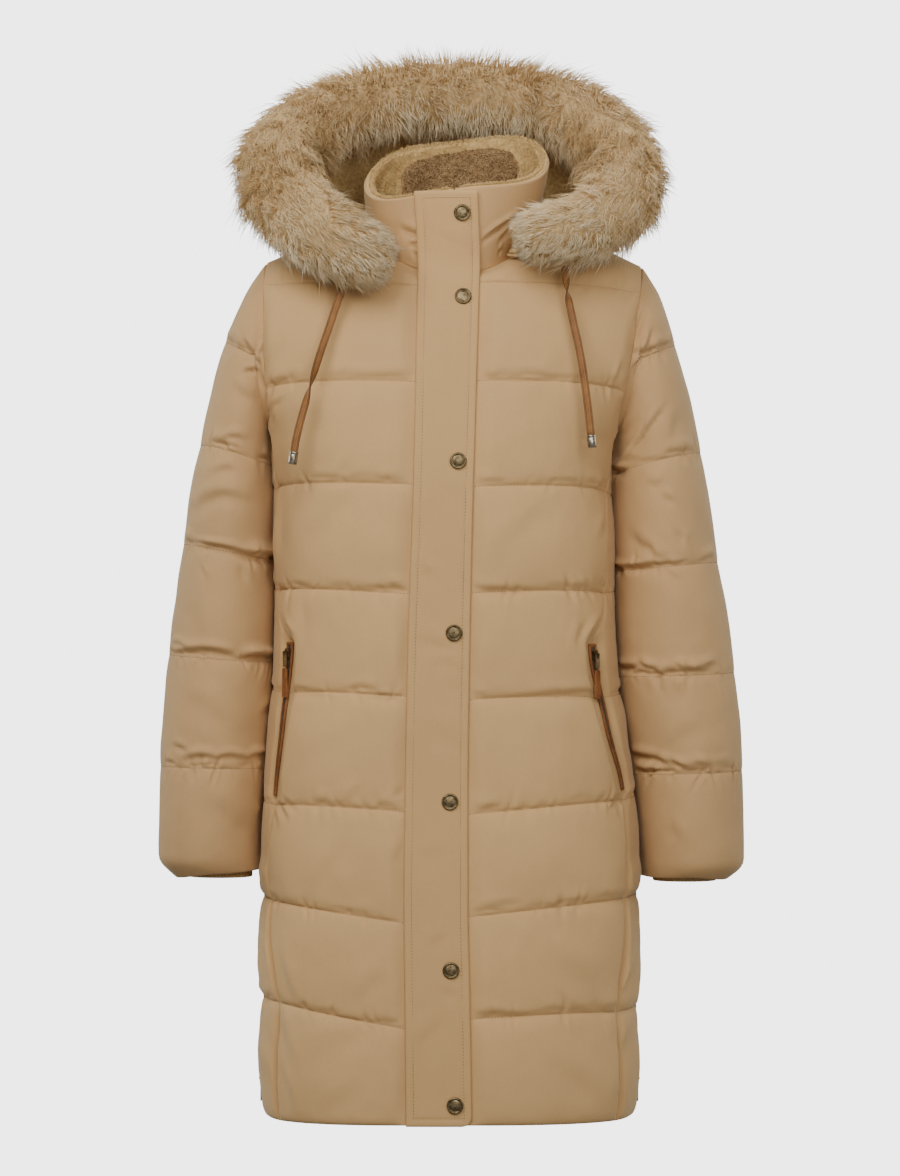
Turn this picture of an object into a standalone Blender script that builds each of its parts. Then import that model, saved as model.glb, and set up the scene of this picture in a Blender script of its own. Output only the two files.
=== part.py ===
"""Fur trimmed parka: a quilted down coat that ends above the knee, hollow and open as when worn.

Metres, +Z up, and the front faces -Y. The wearer's left is at +X. The origin lies between the
shoulders, at the height of the neck's side points.
"""

import math
from collections import namedtuple
from functools import partial

import bmesh
import bpy
import numpy as np
from mathutils import Matrix, Vector

RIGHT, LEFT = -1, 1  # the wearer's sides, as the sign of X
FRONT, BACK = -1, 1  # as the sign of Y
SIDES = {RIGHT: "right", LEFT: "left"}

# Cloth
SEAM_GAP = 0.0005  # each edge's share of the space at a seam
OPENING_GAP = 0.0010  # each front's share of the space at the centre front
CLOTH = 0.0025  # shell, pressed wadding and inner cloth together
BODY_PUFF = 0.0085  # how far the down lifts a body channel
SLEEVE_PUFF = 0.0065
YOKE_PUFF = 0.45  # share of the puff above the first quilt line
LINE_BOW = 0.003  # rise of a quilt line between its ends
ROUNDNESS = 2.5  # exponent of the body's cross-section
CHANNEL_STEPS = (0.0, 0.12, 0.5, 0.88)  # rows across one quilt channel
NORMAL_STEP = 0.004  # step in u and v over which a surface's slopes are taken
SWING_STEP = 0.02  # and the steps round the body and in height for a seam's
HEIGHT_STEP = 0.004
YOKE_STEPS = (0.0, 0.2, 0.45, 0.75)

# Heights and reaches of the body. Widths are the inner face's, from the middle of the coat.
BodyRow = namedtuple("BodyRow", "z right left centre front back")
BODY = (
    BodyRow(-0.927, -0.1880, 0.1860, -0.0115, 0.137, 0.137),
    BodyRow(-0.800, -0.1905, 0.1905, -0.0135, 0.137, 0.136),
    BodyRow(-0.700, -0.1900, 0.1905, -0.0138, 0.134, 0.130),
    BodyRow(-0.640, -0.1900, 0.1905, -0.0133, 0.131, 0.126),
    BodyRow(-0.580, -0.1870, 0.1850, -0.0127, 0.129, 0.123),
    BodyRow(-0.520, -0.1845, 0.1785, -0.0120, 0.128, 0.120),
    BodyRow(-0.480, -0.1795, 0.1705, -0.0112, 0.127, 0.118),
    BodyRow(-0.400, -0.1770, 0.1655, -0.0090, 0.127, 0.117),
    BodyRow(-0.330, -0.1778, 0.1655, -0.0075, 0.129, 0.118),
    BodyRow(-0.267, -0.1790, 0.1620, -0.0060, 0.131, 0.119),
    BodyRow(-0.213, -0.1835, 0.1670, -0.0050, 0.129, 0.121),
    BodyRow(-0.170, -0.1850, 0.1720, -0.0043, 0.124, 0.122),
    BodyRow(-0.120, -0.1880, 0.1850, -0.0036, 0.115, 0.119),
    BodyRow(-0.075, -0.1900, 0.1950, -0.0030, 0.104, 0.113),
    BodyRow(-0.040, -0.1900, 0.1990, -0.0030, 0.096, 0.104),
    BodyRow(0.000, -0.1900, 0.1990, -0.0030, 0.090, 0.094),
)

# Heights of the quilt lines at the placket and at the front side seam. The drop is how much
# lower a line meets the side seam.
QuiltLine = namedtuple("QuiltLine", "number right_inner right_outer left_inner left_outer drop")
QUILT_LINES = (
    QuiltLine(1.00, -0.0670, -0.0660, -0.0640, -0.0745, 0.000),
    QuiltLine(2.00, -0.1670, -0.1695, -0.1660, -0.1730, 0.000),
    QuiltLine(2.35, -0.2038, -0.2057, -0.2038, -0.2095, 0.011),
    QuiltLine(3.00, -0.2720, -0.2730, -0.2740, -0.2774, 0.006),
    QuiltLine(4.00, -0.3840, -0.3800, -0.3830, -0.3830, -0.002),
    QuiltLine(5.00, -0.4890, -0.4870, -0.4920, -0.4920, -0.003),
    QuiltLine(6.00, -0.6065, -0.6030, -0.6095, -0.5980, -0.003),
    QuiltLine(7.00, -0.7200, -0.7015, -0.7140, -0.6995, -0.003),
    QuiltLine(8.00, -0.8280, -0.8060, -0.8180, -0.8160, -0.002),
    QuiltLine(9.00, -0.9270, -0.9290, -0.9270, -0.9290, 0.000),
)
HEM_LINE = 9
ARMPIT_LINE = 2.35  # where the side panel starts, as a place among the quilt lines

# Seam between front and side panel. The pocket zip lies along it.
SeamRow = namedtuple("SeamRow", "z right left")
FRONT_SEAM = (
    SeamRow(-0.927, -0.1736, 0.1694),
    SeamRow(-0.810, -0.1736, 0.1694),
    SeamRow(-0.700, -0.1810, 0.1775),
    SeamRow(-0.600, -0.1780, 0.1765),
    SeamRow(-0.520, -0.1700, 0.1590),
    SeamRow(-0.437, -0.1620, 0.1440),
    SeamRow(-0.411, -0.1700, 0.1520),
    SeamRow(-0.382, -0.1740, 0.1560),
    SeamRow(-0.306, -0.1745, 0.1560),
    SeamRow(-0.277, -0.1755, 0.1580),
    SeamRow(-0.213, -0.1780, 0.1620),
)
SEAM_BLEND = 0.030  # length over which the armhole's edge turns into the seam

# Armholes: shoulder point and lowest point
ARMHOLE_TOP = {RIGHT: (-0.1900, -0.0410), LEFT: (0.1990, -0.0450)}
ARMHOLE_LOW_X = {RIGHT: -0.1835, LEFT: 0.1670}
ARMHOLE_REACH = 0.070
SHOULDER_CURVE = 1.8  # how late the shoulder seam falls away on its way to the armhole
ARMHOLE_BOW = 0.004
ARMHOLE_FLARE = 0.35  # how far the seam's thickness leans outwards

# Neck seam and collar rim, rings whose angle is 0 at the centre front. A ring's height is its
# level at the sides, with a tilt, curl and bend along the front-back line and a sway to the left.
RingHeight = namedtuple("RingHeight", "level tilt curl bend sway")
NECK_RADIUS = (0.080, 0.088)
NECK_CENTRE = (0.002, -0.005)
NECK_HEIGHT = RingHeight(-0.012, -0.034, -0.010, 0.0, 0.0)
NECK_SHARE = 0.456  # the share of a yoke's upper edge that lies on the neck seam
COLLAR_LIFT = 0.0062
RIM_RADIUS = (0.095, 0.092)
RIM_CENTRE = (0.007, -0.006)
RIM_HEIGHT = RingHeight(0.0579, -0.0472, 0.0056, 0.0167, 0.0125)
COLLAR_BULGE = 0.002
LINING = 0.005
FACING_FROM, FACING_TO = math.radians(126), math.radians(222)

# Placket, the flap over the front opening
PlacketRow = namedtuple("PlacketRow", "z right left")
PLACKET = (
    PlacketRow(-0.928, -0.0450, 0.0225),
    PlacketRow(-0.799, -0.0460, 0.0204),
    PlacketRow(-0.697, -0.0470, 0.0184),
    PlacketRow(-0.595, -0.0460, 0.0184),
    PlacketRow(-0.431, -0.0429, 0.0204),
    PlacketRow(-0.288, -0.0380, 0.0235),
    PlacketRow(-0.186, -0.0355, 0.0266),
    PlacketRow(-0.082, -0.0339, 0.0298),
    PlacketRow(-0.043, -0.0329, 0.0308),
    PlacketRow(0.031, -0.0365, 0.0284),
)
PLACKET_GAP = 0.0011
PLACKET_CLOTH = 0.0030
PLACKET_CORNER = 0.010
PLACKET_TOP = 0.031
PLACKET_BEND = 0.16  # down to here the flap bends over collar and chest and has close rows
PLACKET_ROWS = 14

Snap = namedtuple("Snap", "x z")
SNAPS = (
    Snap(0.0123, 0.0081),
    Snap(0.0134, -0.0792),
    Snap(0.0082, -0.2482),
    Snap(0.0041, -0.4240),
    Snap(0.0000, -0.5966),
    Snap(0.0010, -0.7683),
    Snap(0.0051, -0.9060),
)
SNAP_RADIUS = 0.0086
SNAP_HEIGHT = 0.0026

# Sleeves: a row for each quilt line, from the armhole to the hem. Outer and inner are the ring's
# two ends in X and Z, front and back its reach in Y, and lean bends the ring down near the body.
SleeveRow = namedtuple("SleeveRow", "number outer_x outer_z inner_x inner_z front back lean")
SLEEVES = {
    RIGHT: (
        SleeveRow(0, -0.1905, -0.041, -0.1895, -0.2165, 0.070, 0.070, 1.0),
        SleeveRow(1, -0.2280, -0.123, -0.1915, -0.2270, 0.076, 0.076, 2.2),
        SleeveRow(2, -0.2545, -0.230, -0.1905, -0.2520, 0.076, 0.078, 1.5),
        SleeveRow(3, -0.2720, -0.333, -0.1895, -0.3490, 0.074, 0.076, 1.2),
        SleeveRow(4, -0.2880, -0.448, -0.1900, -0.4560, 0.070, 0.070, 1.0),
        SleeveRow(5, -0.2960, -0.564, -0.2000, -0.5660, 0.064, 0.062, 1.0),
        SleeveRow(5.86, -0.2985, -0.658, -0.2050, -0.6570, 0.057, 0.054, 1.0),
        SleeveRow(6, -0.2830, -0.677, -0.2035, -0.6730, 0.046, 0.046, 1.0),
    ),
    LEFT: (
        SleeveRow(0, 0.1995, -0.045, 0.1730, -0.2195, 0.070, 0.070, 1.0),
        SleeveRow(1, 0.2295, -0.126, 0.1755, -0.2305, 0.076, 0.076, 2.2),
        SleeveRow(2, 0.2555, -0.238, 0.1745, -0.2600, 0.076, 0.078, 1.5),
        SleeveRow(3, 0.2735, -0.352, 0.1775, -0.3600, 0.074, 0.076, 1.2),
        SleeveRow(4, 0.2905, -0.467, 0.1825, -0.4700, 0.070, 0.070, 1.0),
        SleeveRow(5, 0.2985, -0.569, 0.1985, -0.5720, 0.064, 0.062, 1.0),
        SleeveRow(5.86, 0.3005, -0.662, 0.2070, -0.6650, 0.057, 0.054, 1.0),
        SleeveRow(6, 0.2860, -0.678, 0.2075, -0.6795, 0.046, 0.046, 1.0),
    ),
}
SLEEVE_LINES = 6
SLEEVE_TURN = 5.86  # where the last channel starts to draw in to the hem
SLEEVE_COLUMNS = 18
SLEEVE_SET_BACK = 0.020  # the sleeve's inner side lies behind the body's widest line
PRESSED_SHARE = 0.12  # share of the puff left where the sleeve is pressed to the body

# Rib-knit cuffs inside the sleeve hems
CUFF_CENTRE = {RIGHT: (-0.2413, 0.013), LEFT: (0.2468, 0.013)}
CUFF_END_Z = {RIGHT: -0.6815, LEFT: -0.6855}
CUFF_RADIUS = 0.0325
CUFF_WALL = 0.0022
CUFF_RIB = 0.0010
CUFF_RIBS = 24
CUFF_START = 0.5  # where it leaves the sleeve, between the last quilt line and the hem's turn

# Faux-fur trim: the middle of the roll, from the wearer's right front round the hood's edge
FurRow = namedtuple("FurRow", "station x y z radius")
FUR = (
    FurRow(-0.45, -0.058, -0.140, -0.047, 0.014),
    FurRow(0, -0.080, -0.140, -0.040, 0.031),
    FurRow(1, -0.123, -0.130, -0.019, 0.042),
    FurRow(2, -0.168, -0.070, 0.020, 0.046),
    FurRow(3, -0.180, -0.020, 0.062, 0.049),
    FurRow(4, -0.150, 0.050, 0.107, 0.046),
    FurRow(5, -0.093, 0.100, 0.138, 0.043),
    FurRow(6, 0.000, 0.130, 0.152, 0.043),
    FurRow(7, 0.094, 0.110, 0.141, 0.043),
    FurRow(8, 0.152, 0.060, 0.109, 0.046),
    FurRow(9, 0.181, 0.000, 0.062, 0.049),
    FurRow(10, 0.175, -0.060, 0.024, 0.045),
    FurRow(11, 0.137, -0.122, -0.008, 0.038),
    FurRow(12, 0.087, -0.145, -0.018, 0.028),
    FurRow(12.45, 0.064, -0.146, -0.022, 0.012),
)
FUR_RINGS = 50
FUR_SIDES = 13
FUR_LUMP = 0.05

# Hood: sections from the neck seam down into the pouch and up to the fur, as distances from the
# neck's axis and heights. Stations are the fur's. The wearer's left side mirrors the right, and
# the last row keeps the middle round.
HoodRow = namedtuple("HoodRow", "station r1 z1 r2 z2 r3 z3 r4 z4")
HOOD = (
    HoodRow(0, 0.095, -0.042, 0.103, -0.043, 0.111, -0.044, 0.118, -0.045),
    HoodRow(1, 0.096, -0.022, 0.106, -0.023, 0.116, -0.025, 0.125, -0.029),
    HoodRow(2, 0.099, -0.004, 0.116, -0.010, 0.130, -0.016, 0.139, -0.021),
    HoodRow(3, 0.101, 0.004, 0.125, -0.004, 0.152, -0.012, 0.190, -0.010),
    HoodRow(4, 0.106, 0.016, 0.150, -0.003, 0.198, 0.008, 0.214, 0.066),
    HoodRow(5, 0.118, 0.016, 0.176, -0.060, 0.203, 0.000, 0.190, 0.108),
    HoodRow(6, 0.120, 0.014, 0.168, -0.100, 0.202, -0.014, 0.181, 0.125),
    HoodRow(7, 0.118, 0.016, 0.176, -0.060, 0.203, 0.000, 0.190, 0.108),
)
HOOD_COLUMNS = 29
HOOD_ROWS = 10
HOOD_ENDS = (0.4, 11.6)  # where the hood starts and ends, among the fur's stations
HOOD_LINING = 0.0035

# Pocket and vent zips, by the heights of their ends
POCKET_ENDS = {RIGHT: (-0.434, -0.594), LEFT: (-0.436, -0.588)}
VENT_ENDS = (-0.676, -0.922)
SLEEVE_SHADOW = 0.2  # share of the back's half width over which a sleeve presses it flat
POCKET_FLAT = 0.09  # share of the front panel beside a pocket that stays unpuffed
SIDE_POCKET_FLAT = 0.16  # the same on the side panel
VENT_FLAT = 0.06  # and beside a vent, on the side panel
BACK_VENT_FLAT = 0.02
VENT_BLEND = 0.02  # height over which the panels flatten above a vent
# Shares of a panel's width over which its puff rises from an edge
PLACKET_FADE = 0.12
ARMHOLE_FADE = 0.22
SEAM_FADE = 0.10
SIDE_FADE = 0.20
VENT_FADE = 0.14
BACK_FADE = 0.05
ARMPIT_FADE = 0.4  # the same down from the armpit, in quilt lines
UNDER_SLEEVE_SHARE = 0.6  # share of the puff left on the side panel under the sleeve
ZipSize = namedtuple("ZipSize", "top_half low_half top_slot low_slot welt")
POCKET_ZIP = ZipSize(0.0062, 0.0026, 0.0034, 0.0011, 0.0022)
VENT_ZIP = ZipSize(0.0052, 0.0052, 0.0028, 0.0028, 0.0016)
ZIP_TAPE = 0.0012
SLOT_END = 0.020  # share of the zip's length at which the slot ends, and then the tape
TAPE_END = 0.025
WELT_LIFT = 0.0009  # how far a welt lies off the cloth
WELT_EDGE = 0.7  # a welt's height at its outer edge, as a share of that at the slot
ZIP_STATIONS = 10
ZIP_CLEAR = 0.0004
SLIDER_SIZE = (0.0078, 0.0110, 0.0024)  # width, length, height
SLIDER_ABOVE = 0.45  # share of its length above the ring
SLIDER_TAPER = 0.72  # its lower width, as a share of the upper
SLIDER_CORNER = 0.0018
BAIL_SIDES = 10
BAIL_SUNK = 0.0004  # how far the ring is let into the slider
BAIL_HOLE = 0.0013
BAIL_RADIUS = 0.0023
BAIL_WIDTH = 0.0018
POCKET_SLIDER = 0.0115  # below a pocket's top, and above a vent's lower end
VENT_SLIDER = 0.030
PULL_TILT = 0.10  # how much of a seam's slant a pull's hinge keeps
PULL_BAR = 0.0006
PULL_EYE = (0.0014, 0.0036)  # half width and length of the hole the bail stands in
PULL_HALF = 0.0031
PULL_LENGTH = 0.0150
PULL_THICK = 0.0012
TAB_HALF = 0.0040
TAB_LENGTH = 0.0300
TAB_THICK = 0.0024
VENT_PULL_LENGTH = 0.0240

# Hood drawcords: flat leather straps with a half turn in them, and a metal end each
CordPoint = namedtuple("CordPoint", "x y z turn")
DRAWCORDS = {
    RIGHT: (
        CordPoint(-0.1085, -0.1230, -0.0665, 0.10),
        CordPoint(-0.1150, -0.1250, -0.0850, 0.12),
        CordPoint(-0.1225, -0.1285, -0.1080, 0.15),
        CordPoint(-0.1300, -0.1315, -0.1300, 0.25),
        CordPoint(-0.1370, -0.1335, -0.1520, 0.50),
        CordPoint(-0.1430, -0.1340, -0.1720, 1.60),
        CordPoint(-0.1480, -0.1340, -0.1900, 2.80),
        CordPoint(-0.1530, -0.1340, -0.2080, 3.05),
        CordPoint(-0.1575, -0.1335, -0.2270, 3.14),
        CordPoint(-0.1592, -0.1330, -0.2380, 3.14),
    ),
    LEFT: (
        CordPoint(0.1175, -0.1240, -0.0480, 0.00),
        CordPoint(0.1185, -0.1240, -0.0600, -0.30),
        CordPoint(0.1200, -0.1245, -0.0740, -1.60),
        CordPoint(0.1225, -0.1265, -0.0880, -2.90),
        CordPoint(0.1265, -0.1295, -0.1080, -3.10),
        CordPoint(0.1310, -0.1325, -0.1280, -3.14),
        CordPoint(0.1350, -0.1340, -0.1500, -3.14),
        CordPoint(0.1385, -0.1345, -0.1740, -3.14),
        CordPoint(0.1415, -0.1345, -0.1980, -3.14),
        CordPoint(0.1440, -0.1340, -0.2210, -3.14),
    ),
}
CORD_WIDTH = 0.0080
CORD_THICK = 0.0020
CORD_CORNER = 0.0007
CORD_STATIONS = 26
CORD_END_RADIUS = 0.0046
CORD_END_LENGTH = 0.0135
CORD_END_EDGE = 0.0006

# Colour, roughness and metallic value of each material
Finish = namedtuple("Finish", "colour roughness metallic")
FINISHES = {
    "shell": Finish((0.47, 0.34, 0.21), 0.72, 0.0),
    "placket": Finish((0.45, 0.33, 0.20), 0.72, 0.0),
    "fur": Finish((0.45, 0.33, 0.20), 0.95, 0.0),
    "plush": Finish((0.42, 0.27, 0.12), 0.95, 0.0),
    "facing": Finish((0.19, 0.12, 0.05), 0.95, 0.0),
    "rib": Finish((0.38, 0.27, 0.15), 0.85, 0.0),
    "leather": Finish((0.28, 0.11, 0.04), 0.55, 0.0),
    "tape": Finish((0.17, 0.11, 0.06), 0.80, 0.0),
    "brass": Finish((0.25, 0.20, 0.12), 0.35, 1.0),
    "nickel": Finish((0.60, 0.58, 0.52), 0.25, 1.0),
}


def column(table, name, at):
    """A named column of a table, read on a smooth curve through its rows without overshoot."""
    rows = sorted(table)
    keys = np.array([row[0] for row in rows])
    values = np.array([getattr(row, name) for row in rows])
    rises = np.diff(values) / np.diff(keys)
    before, after = rises[:-1], rises[1:]
    same_way = before * after > 0
    between = 2 * before * after / np.where(same_way, before + after, 1)
    slopes = np.concatenate([rises[:1], np.where(same_way, between, 0), rises[-1:]])
    at = np.clip(np.asarray(at, float), keys[0], keys[-1])
    i = np.clip(np.searchsorted(keys, at, side="right") - 1, 0, len(keys) - 2)
    width = keys[i + 1] - keys[i]
    t = (at - keys[i]) / width
    start = values[i] * (1 + 2 * t) + slopes[i] * width * t
    end = values[i + 1] * (3 - 2 * t) - slopes[i + 1] * width * (1 - t)
    return start * (1 - t) ** 2 + end * t**2


def mix(a, b, share):
    return a + (b - a) * share


def smooth_step(t):
    t = np.clip(t, 0, 1)
    return t * t * (3 - 2 * t)


def points_of(x, y, z):
    return np.stack(np.broadcast_arrays(x, y, z), axis=-1).astype(float)


def unit(v):
    return v / np.maximum(np.linalg.norm(v, axis=-1, keepdims=True), 1e-12)


def hermite(start, go, end, arrive, t):
    """Points on the curve that leaves start along go and reaches end along arrive."""
    t = np.asarray(t)[..., None]
    from_start = start * (1 + 2 * t) + go * t
    from_end = end * (3 - 2 * t) - arrive * (1 - t)
    return from_start * (1 - t) ** 2 + from_end * t**2


# ---------------------------------------------------------------- the body's surface


def quilt_height(side, number, share):
    """Height of a quilt line, share of the way from the placket to the front side seam."""
    name = SIDES[side]
    numbers = [row.number for row in QUILT_LINES]
    inner = np.interp(number, numbers, [getattr(row, name + "_inner") for row in QUILT_LINES])
    outer = np.interp(number, numbers, [getattr(row, name + "_outer") for row in QUILT_LINES])
    share = np.clip(share, 0, 1)
    bow = LINE_BOW * 4 * share * (1 - share) * np.clip(HEM_LINE - number, 0, 1)
    return mix(inner, outer, share) + bow


def side_drop(number):
    numbers = [row.number for row in QUILT_LINES]
    return np.interp(number, numbers, [row.drop for row in QUILT_LINES])


def armhole_heights(side):
    """Middle height and half height of the armhole."""
    low = quilt_height(side, ARMPIT_LINE, 1.0) - side_drop(ARMPIT_LINE)
    top = ARMHOLE_TOP[side][1]
    return (top + low) / 2, (top - low) / 2


def armhole_point(side, face, angle):
    """A point of the armhole seam, by its angle from the shoulder point."""
    middle, half = armhole_heights(side)
    down = (1 - np.cos(angle)) / 2
    bow = side * ARMHOLE_BOW * 4 * down * (1 - down)
    x = mix(ARMHOLE_TOP[side][0], ARMHOLE_LOW_X[side], down) + bow
    return points_of(x, face * ARMHOLE_REACH * np.sin(angle), middle + half * np.cos(angle))


def armhole_out(side, angle_front):
    """Direction in which both panels at the armhole seam are thick. Angles past pi lie behind."""
    return unit(points_of(side * ARMHOLE_FLARE, -np.sin(angle_front), np.cos(angle_front)))


def armhole_angle(side, z):
    middle, half = armhole_heights(side)
    return np.arccos(np.clip((z - middle) / half, -1, 1))


def body_depth(face, z):
    return column(BODY, "front" if face == FRONT else "back", z)


def armhole_ratio(side, face, z):
    return ARMHOLE_REACH * np.sin(armhole_angle(side, z)) / body_depth(face, z)


def body_half(side, face, z):
    """Half width at height z. Beside the armhole it is wide enough to pass through the armhole."""
    middle, half = armhole_heights(side)
    centre = column(BODY, "centre", z)
    below = np.abs(column(BODY, SIDES[side], z) - centre)
    hole_x = armhole_point(side, face, armhole_angle(side, z))[..., 0]
    ratio = armhole_ratio(side, face, z)
    beside = np.abs(hole_x - centre) / (1 - ratio**ROUNDNESS) ** (1 / ROUNDNESS)
    return np.where(z > middle - half, beside, below)


def body_point(side, face, swing, z):
    """Inner face of the body: swing 0 is the centre line and 1 the side seam."""
    angle = np.clip(swing, 0, 1) * math.pi / 2
    x = column(BODY, "centre", z) + side * body_half(side, face, z) * np.sin(angle) ** (2 / ROUNDNESS)
    y = face * body_depth(face, z) * np.clip(np.cos(angle), 0, 1) ** (2 / ROUNDNESS)
    return points_of(x, y, z)


def swing_at(side, x, z):
    """The swing at which the front of the body passes x."""
    ratio = np.abs(x - column(BODY, "centre", z)) / body_half(side, FRONT, z)
    return np.arcsin(np.clip(ratio, 0, 1) ** (ROUNDNESS / 2)) * 2 / math.pi


def armhole_swing(side, face, z):
    return np.arccos(np.clip(armhole_ratio(side, face, z), 0, 1) ** (ROUNDNESS / 2)) * 2 / math.pi


def front_edge_swing(side, z):
    """Swing of the front panel's outer edge: the armhole, and below it the front side seam."""
    turn_z = quilt_height(side, ARMPIT_LINE, 1.0)
    beside_hole = armhole_swing(side, FRONT, np.maximum(z, turn_z))
    on_seam = swing_at(side, column(FRONT_SEAM, SIDES[side], z), z)
    return mix(beside_hole, on_seam, smooth_step((turn_z - z) / SEAM_BLEND))


def ring_point(radius, centre, height, angle):
    """A ring round the neck: angle 0 is the centre front and positive angles lie at +X."""
    turn = np.cos(angle)
    z = height.level + height.tilt * turn + height.curl * turn**2 + height.bend * turn**3
    z = z + height.sway * np.sin(angle)
    return points_of(centre[0] + radius[0] * np.sin(angle), centre[1] - radius[1] * turn, z)


def neck_point(angle):
    return ring_point(NECK_RADIUS, NECK_CENTRE, NECK_HEIGHT, angle)


def yoke_rise(side, face, share, rise, line_point):
    """A smooth rise from the first quilt line to the neck and shoulder seams."""
    start = line_point(share, 1.0)
    before = line_point(share, 1.06)
    to_side = np.clip(share / NECK_SHARE, 0, 1)
    angle = side * (math.pi / 2 * to_side if face == FRONT else math.pi * (1 - to_side / 2))
    shoulder = np.clip((share - NECK_SHARE) / (1 - NECK_SHARE), 0, None)[..., None]
    neck_side = neck_point(side * math.pi / 2)
    shoulder = np.concatenate([shoulder, shoulder, shoulder**SHOULDER_CURVE], axis=-1)
    end = neck_point(angle) + (armhole_point(side, face, 0.0) - neck_side) * shoulder
    to_neck = points_of(-np.sin(angle), -face * np.abs(np.cos(angle)), 0.9 * np.cos(angle) ** 2)
    over = np.array([0.0, -face * 1.0, 0.2])
    arrive = unit(mix(unit(to_neck), over, (to_side**3)[..., None]))
    reach = np.linalg.norm(end - start, axis=-1, keepdims=True)
    return hermite(start, unit(start - before) * reach, end, arrive * reach, rise)


def yoke_point(side, face, share, rise, line_point):
    """The yoke, with its outer edge brought exactly onto the armhole."""
    share, rise = np.broadcast_arrays(np.asarray(share, float), np.asarray(rise, float))
    free = yoke_rise(side, face, share, rise, line_point)
    edge = yoke_rise(side, face, np.ones_like(share), rise, line_point)
    line_z = line_point(np.ones_like(share), 1.0)[..., 2]
    true_edge = armhole_point(side, face, armhole_angle(side, line_z) * (1 - rise))
    return free + (true_edge - edge) * (share**3)[..., None]


# ---------------------------------------------------------------- panels, as functions of (u, v)
# v counts quilt lines downwards: 0 is the neck and shoulder seam and 9 the hem.

PLACKET_COLUMN = 0.15  # u at which a front panel passes the placket's edge


def front_share(u):
    """Share of the way from the placket's edge to the seam; negative below the placket."""
    return (u - PLACKET_COLUMN) / (1 - PLACKET_COLUMN)


def front_line_point(side, u, v):
    z = quilt_height(side, v, front_share(u))
    edge = front_edge_swing(side, z)
    placket = swing_at(side, column(PLACKET, SIDES[side], z), z)
    below = placket * u / PLACKET_COLUMN
    beyond = mix(placket, edge, front_share(u))
    return body_point(side, FRONT, np.where(u < PLACKET_COLUMN, below, beyond), z)


def front_point(side, u, v):
    u, v = np.broadcast_arrays(np.asarray(u, float), np.asarray(v, float))
    lower = front_line_point(side, u, np.maximum(v, 1))
    upper = yoke_point(side, FRONT, u, 1 - np.minimum(v, 1), partial(front_line_point, side))
    return np.where((v < 1)[..., None], upper, lower)


def side_point(side, u, v):
    """u runs from the front side seam to the side seam, and the upper edge follows the armhole."""
    u, v = np.broadcast_arrays(np.asarray(u, float), np.asarray(v, float))
    start = armhole_angle(side, quilt_height(side, ARMPIT_LINE, 1.0))
    hole_z = armhole_point(side, FRONT, mix(start, math.pi, u))[..., 2]
    plain_z = quilt_height(side, v, 1.0) - side_drop(v) * u
    first_z = quilt_height(side, ARMPIT_LINE, 1.0) - side_drop(ARMPIT_LINE) * u
    near = np.clip((3 - v) / (3 - ARMPIT_LINE), 0, 1)
    z = plain_z + (hole_z - first_z) * near
    plain = mix(front_edge_swing(side, z), 1.0, u)
    return body_point(side, FRONT, mix(plain, armhole_swing(side, FRONT, z), near), z)


def back_line_point(side, u, v):
    heights = [quilt_height(s, v, 1.0) - side_drop(v) for s in (RIGHT, LEFT)]
    z = mix(heights[0], heights[1], (1 + side * u) / 2)
    middle, half = armhole_heights(side)
    edge = np.where(z > middle - half, armhole_swing(side, BACK, z), 1.0)
    return body_point(side, BACK, u * edge, z)


def back_point(u, v):
    """u runs from the wearer's right, -1, to the left, 1."""
    u, v = np.broadcast_arrays(np.asarray(u, float), np.asarray(v, float))
    found = np.zeros(u.shape + (3,))
    for side in (RIGHT, LEFT):
        here = u * side >= 0
        share, line = np.abs(u[here]), v[here]
        lower = back_line_point(side, share, np.maximum(line, 1))
        upper = yoke_point(side, BACK, share, 1 - np.minimum(line, 1), partial(back_line_point, side))
        found[here] = np.where((line < 1)[:, None], upper, lower)
    return found


def sleeve_point(side, u, v):
    """u goes once round from the outer side by the front, and v counts the sleeve's quilt lines."""
    table = SLEEVES[side]
    angle = u * 2 * math.pi
    inward = (1 - np.cos(angle)) / 2
    lean = column(table, "lean", v)
    x = mix(column(table, "outer_x", v), column(table, "inner_x", v), inward)
    z = mix(column(table, "outer_z", v), column(table, "inner_z", v), inward**lean)
    ahead, behind = column(table, "front", v), column(table, "back", v)
    y = -np.sin(angle) * np.where(np.sin(angle) > 0, ahead, behind)
    settled = np.clip(v, 0, 1)
    x = x + side * ARMHOLE_BOW * 4 * inward * (1 - inward) * (1 - settled)
    return points_of(x, y + SLEEVE_SET_BACK * inward * settled, z)


# ---------------------------------------------------------------- grids and closed walls


def normals_of(surface, u, v, outside_of, closed=False):
    """Unit normals of a surface on a grid, turned away from the point outside_of."""
    step = NORMAL_STEP
    u_low, u_high = u - step, u + step
    if not closed:
        u_low, u_high = np.maximum(u_low, u.min()), np.minimum(u_high, u.max())
    v_low, v_high = np.maximum(v - step, v.min()), np.minimum(v + step, v.max())
    along_u = surface(u_high, v) - surface(u_low, v)
    along_v = surface(u, v_high) - surface(u, v_low)
    found = unit(np.cross(along_u, along_v))
    away = surface(u, v) - outside_of(surface(u, v))
    return found if (found * away).sum() > 0 else -found


def trimmed(points, first_gap=SEAM_GAP):
    """The grid with its sewn edges, all but the hem, drawn back by the seam gap."""
    points = points.copy()
    points[:, 0] += unit(points[:, 1] - points[:, 0]) * first_gap
    points[:, -1] += unit(points[:, -2] - points[:, -1]) * SEAM_GAP
    points[0] += unit(points[1] - points[0]) * SEAM_GAP
    return points


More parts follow.
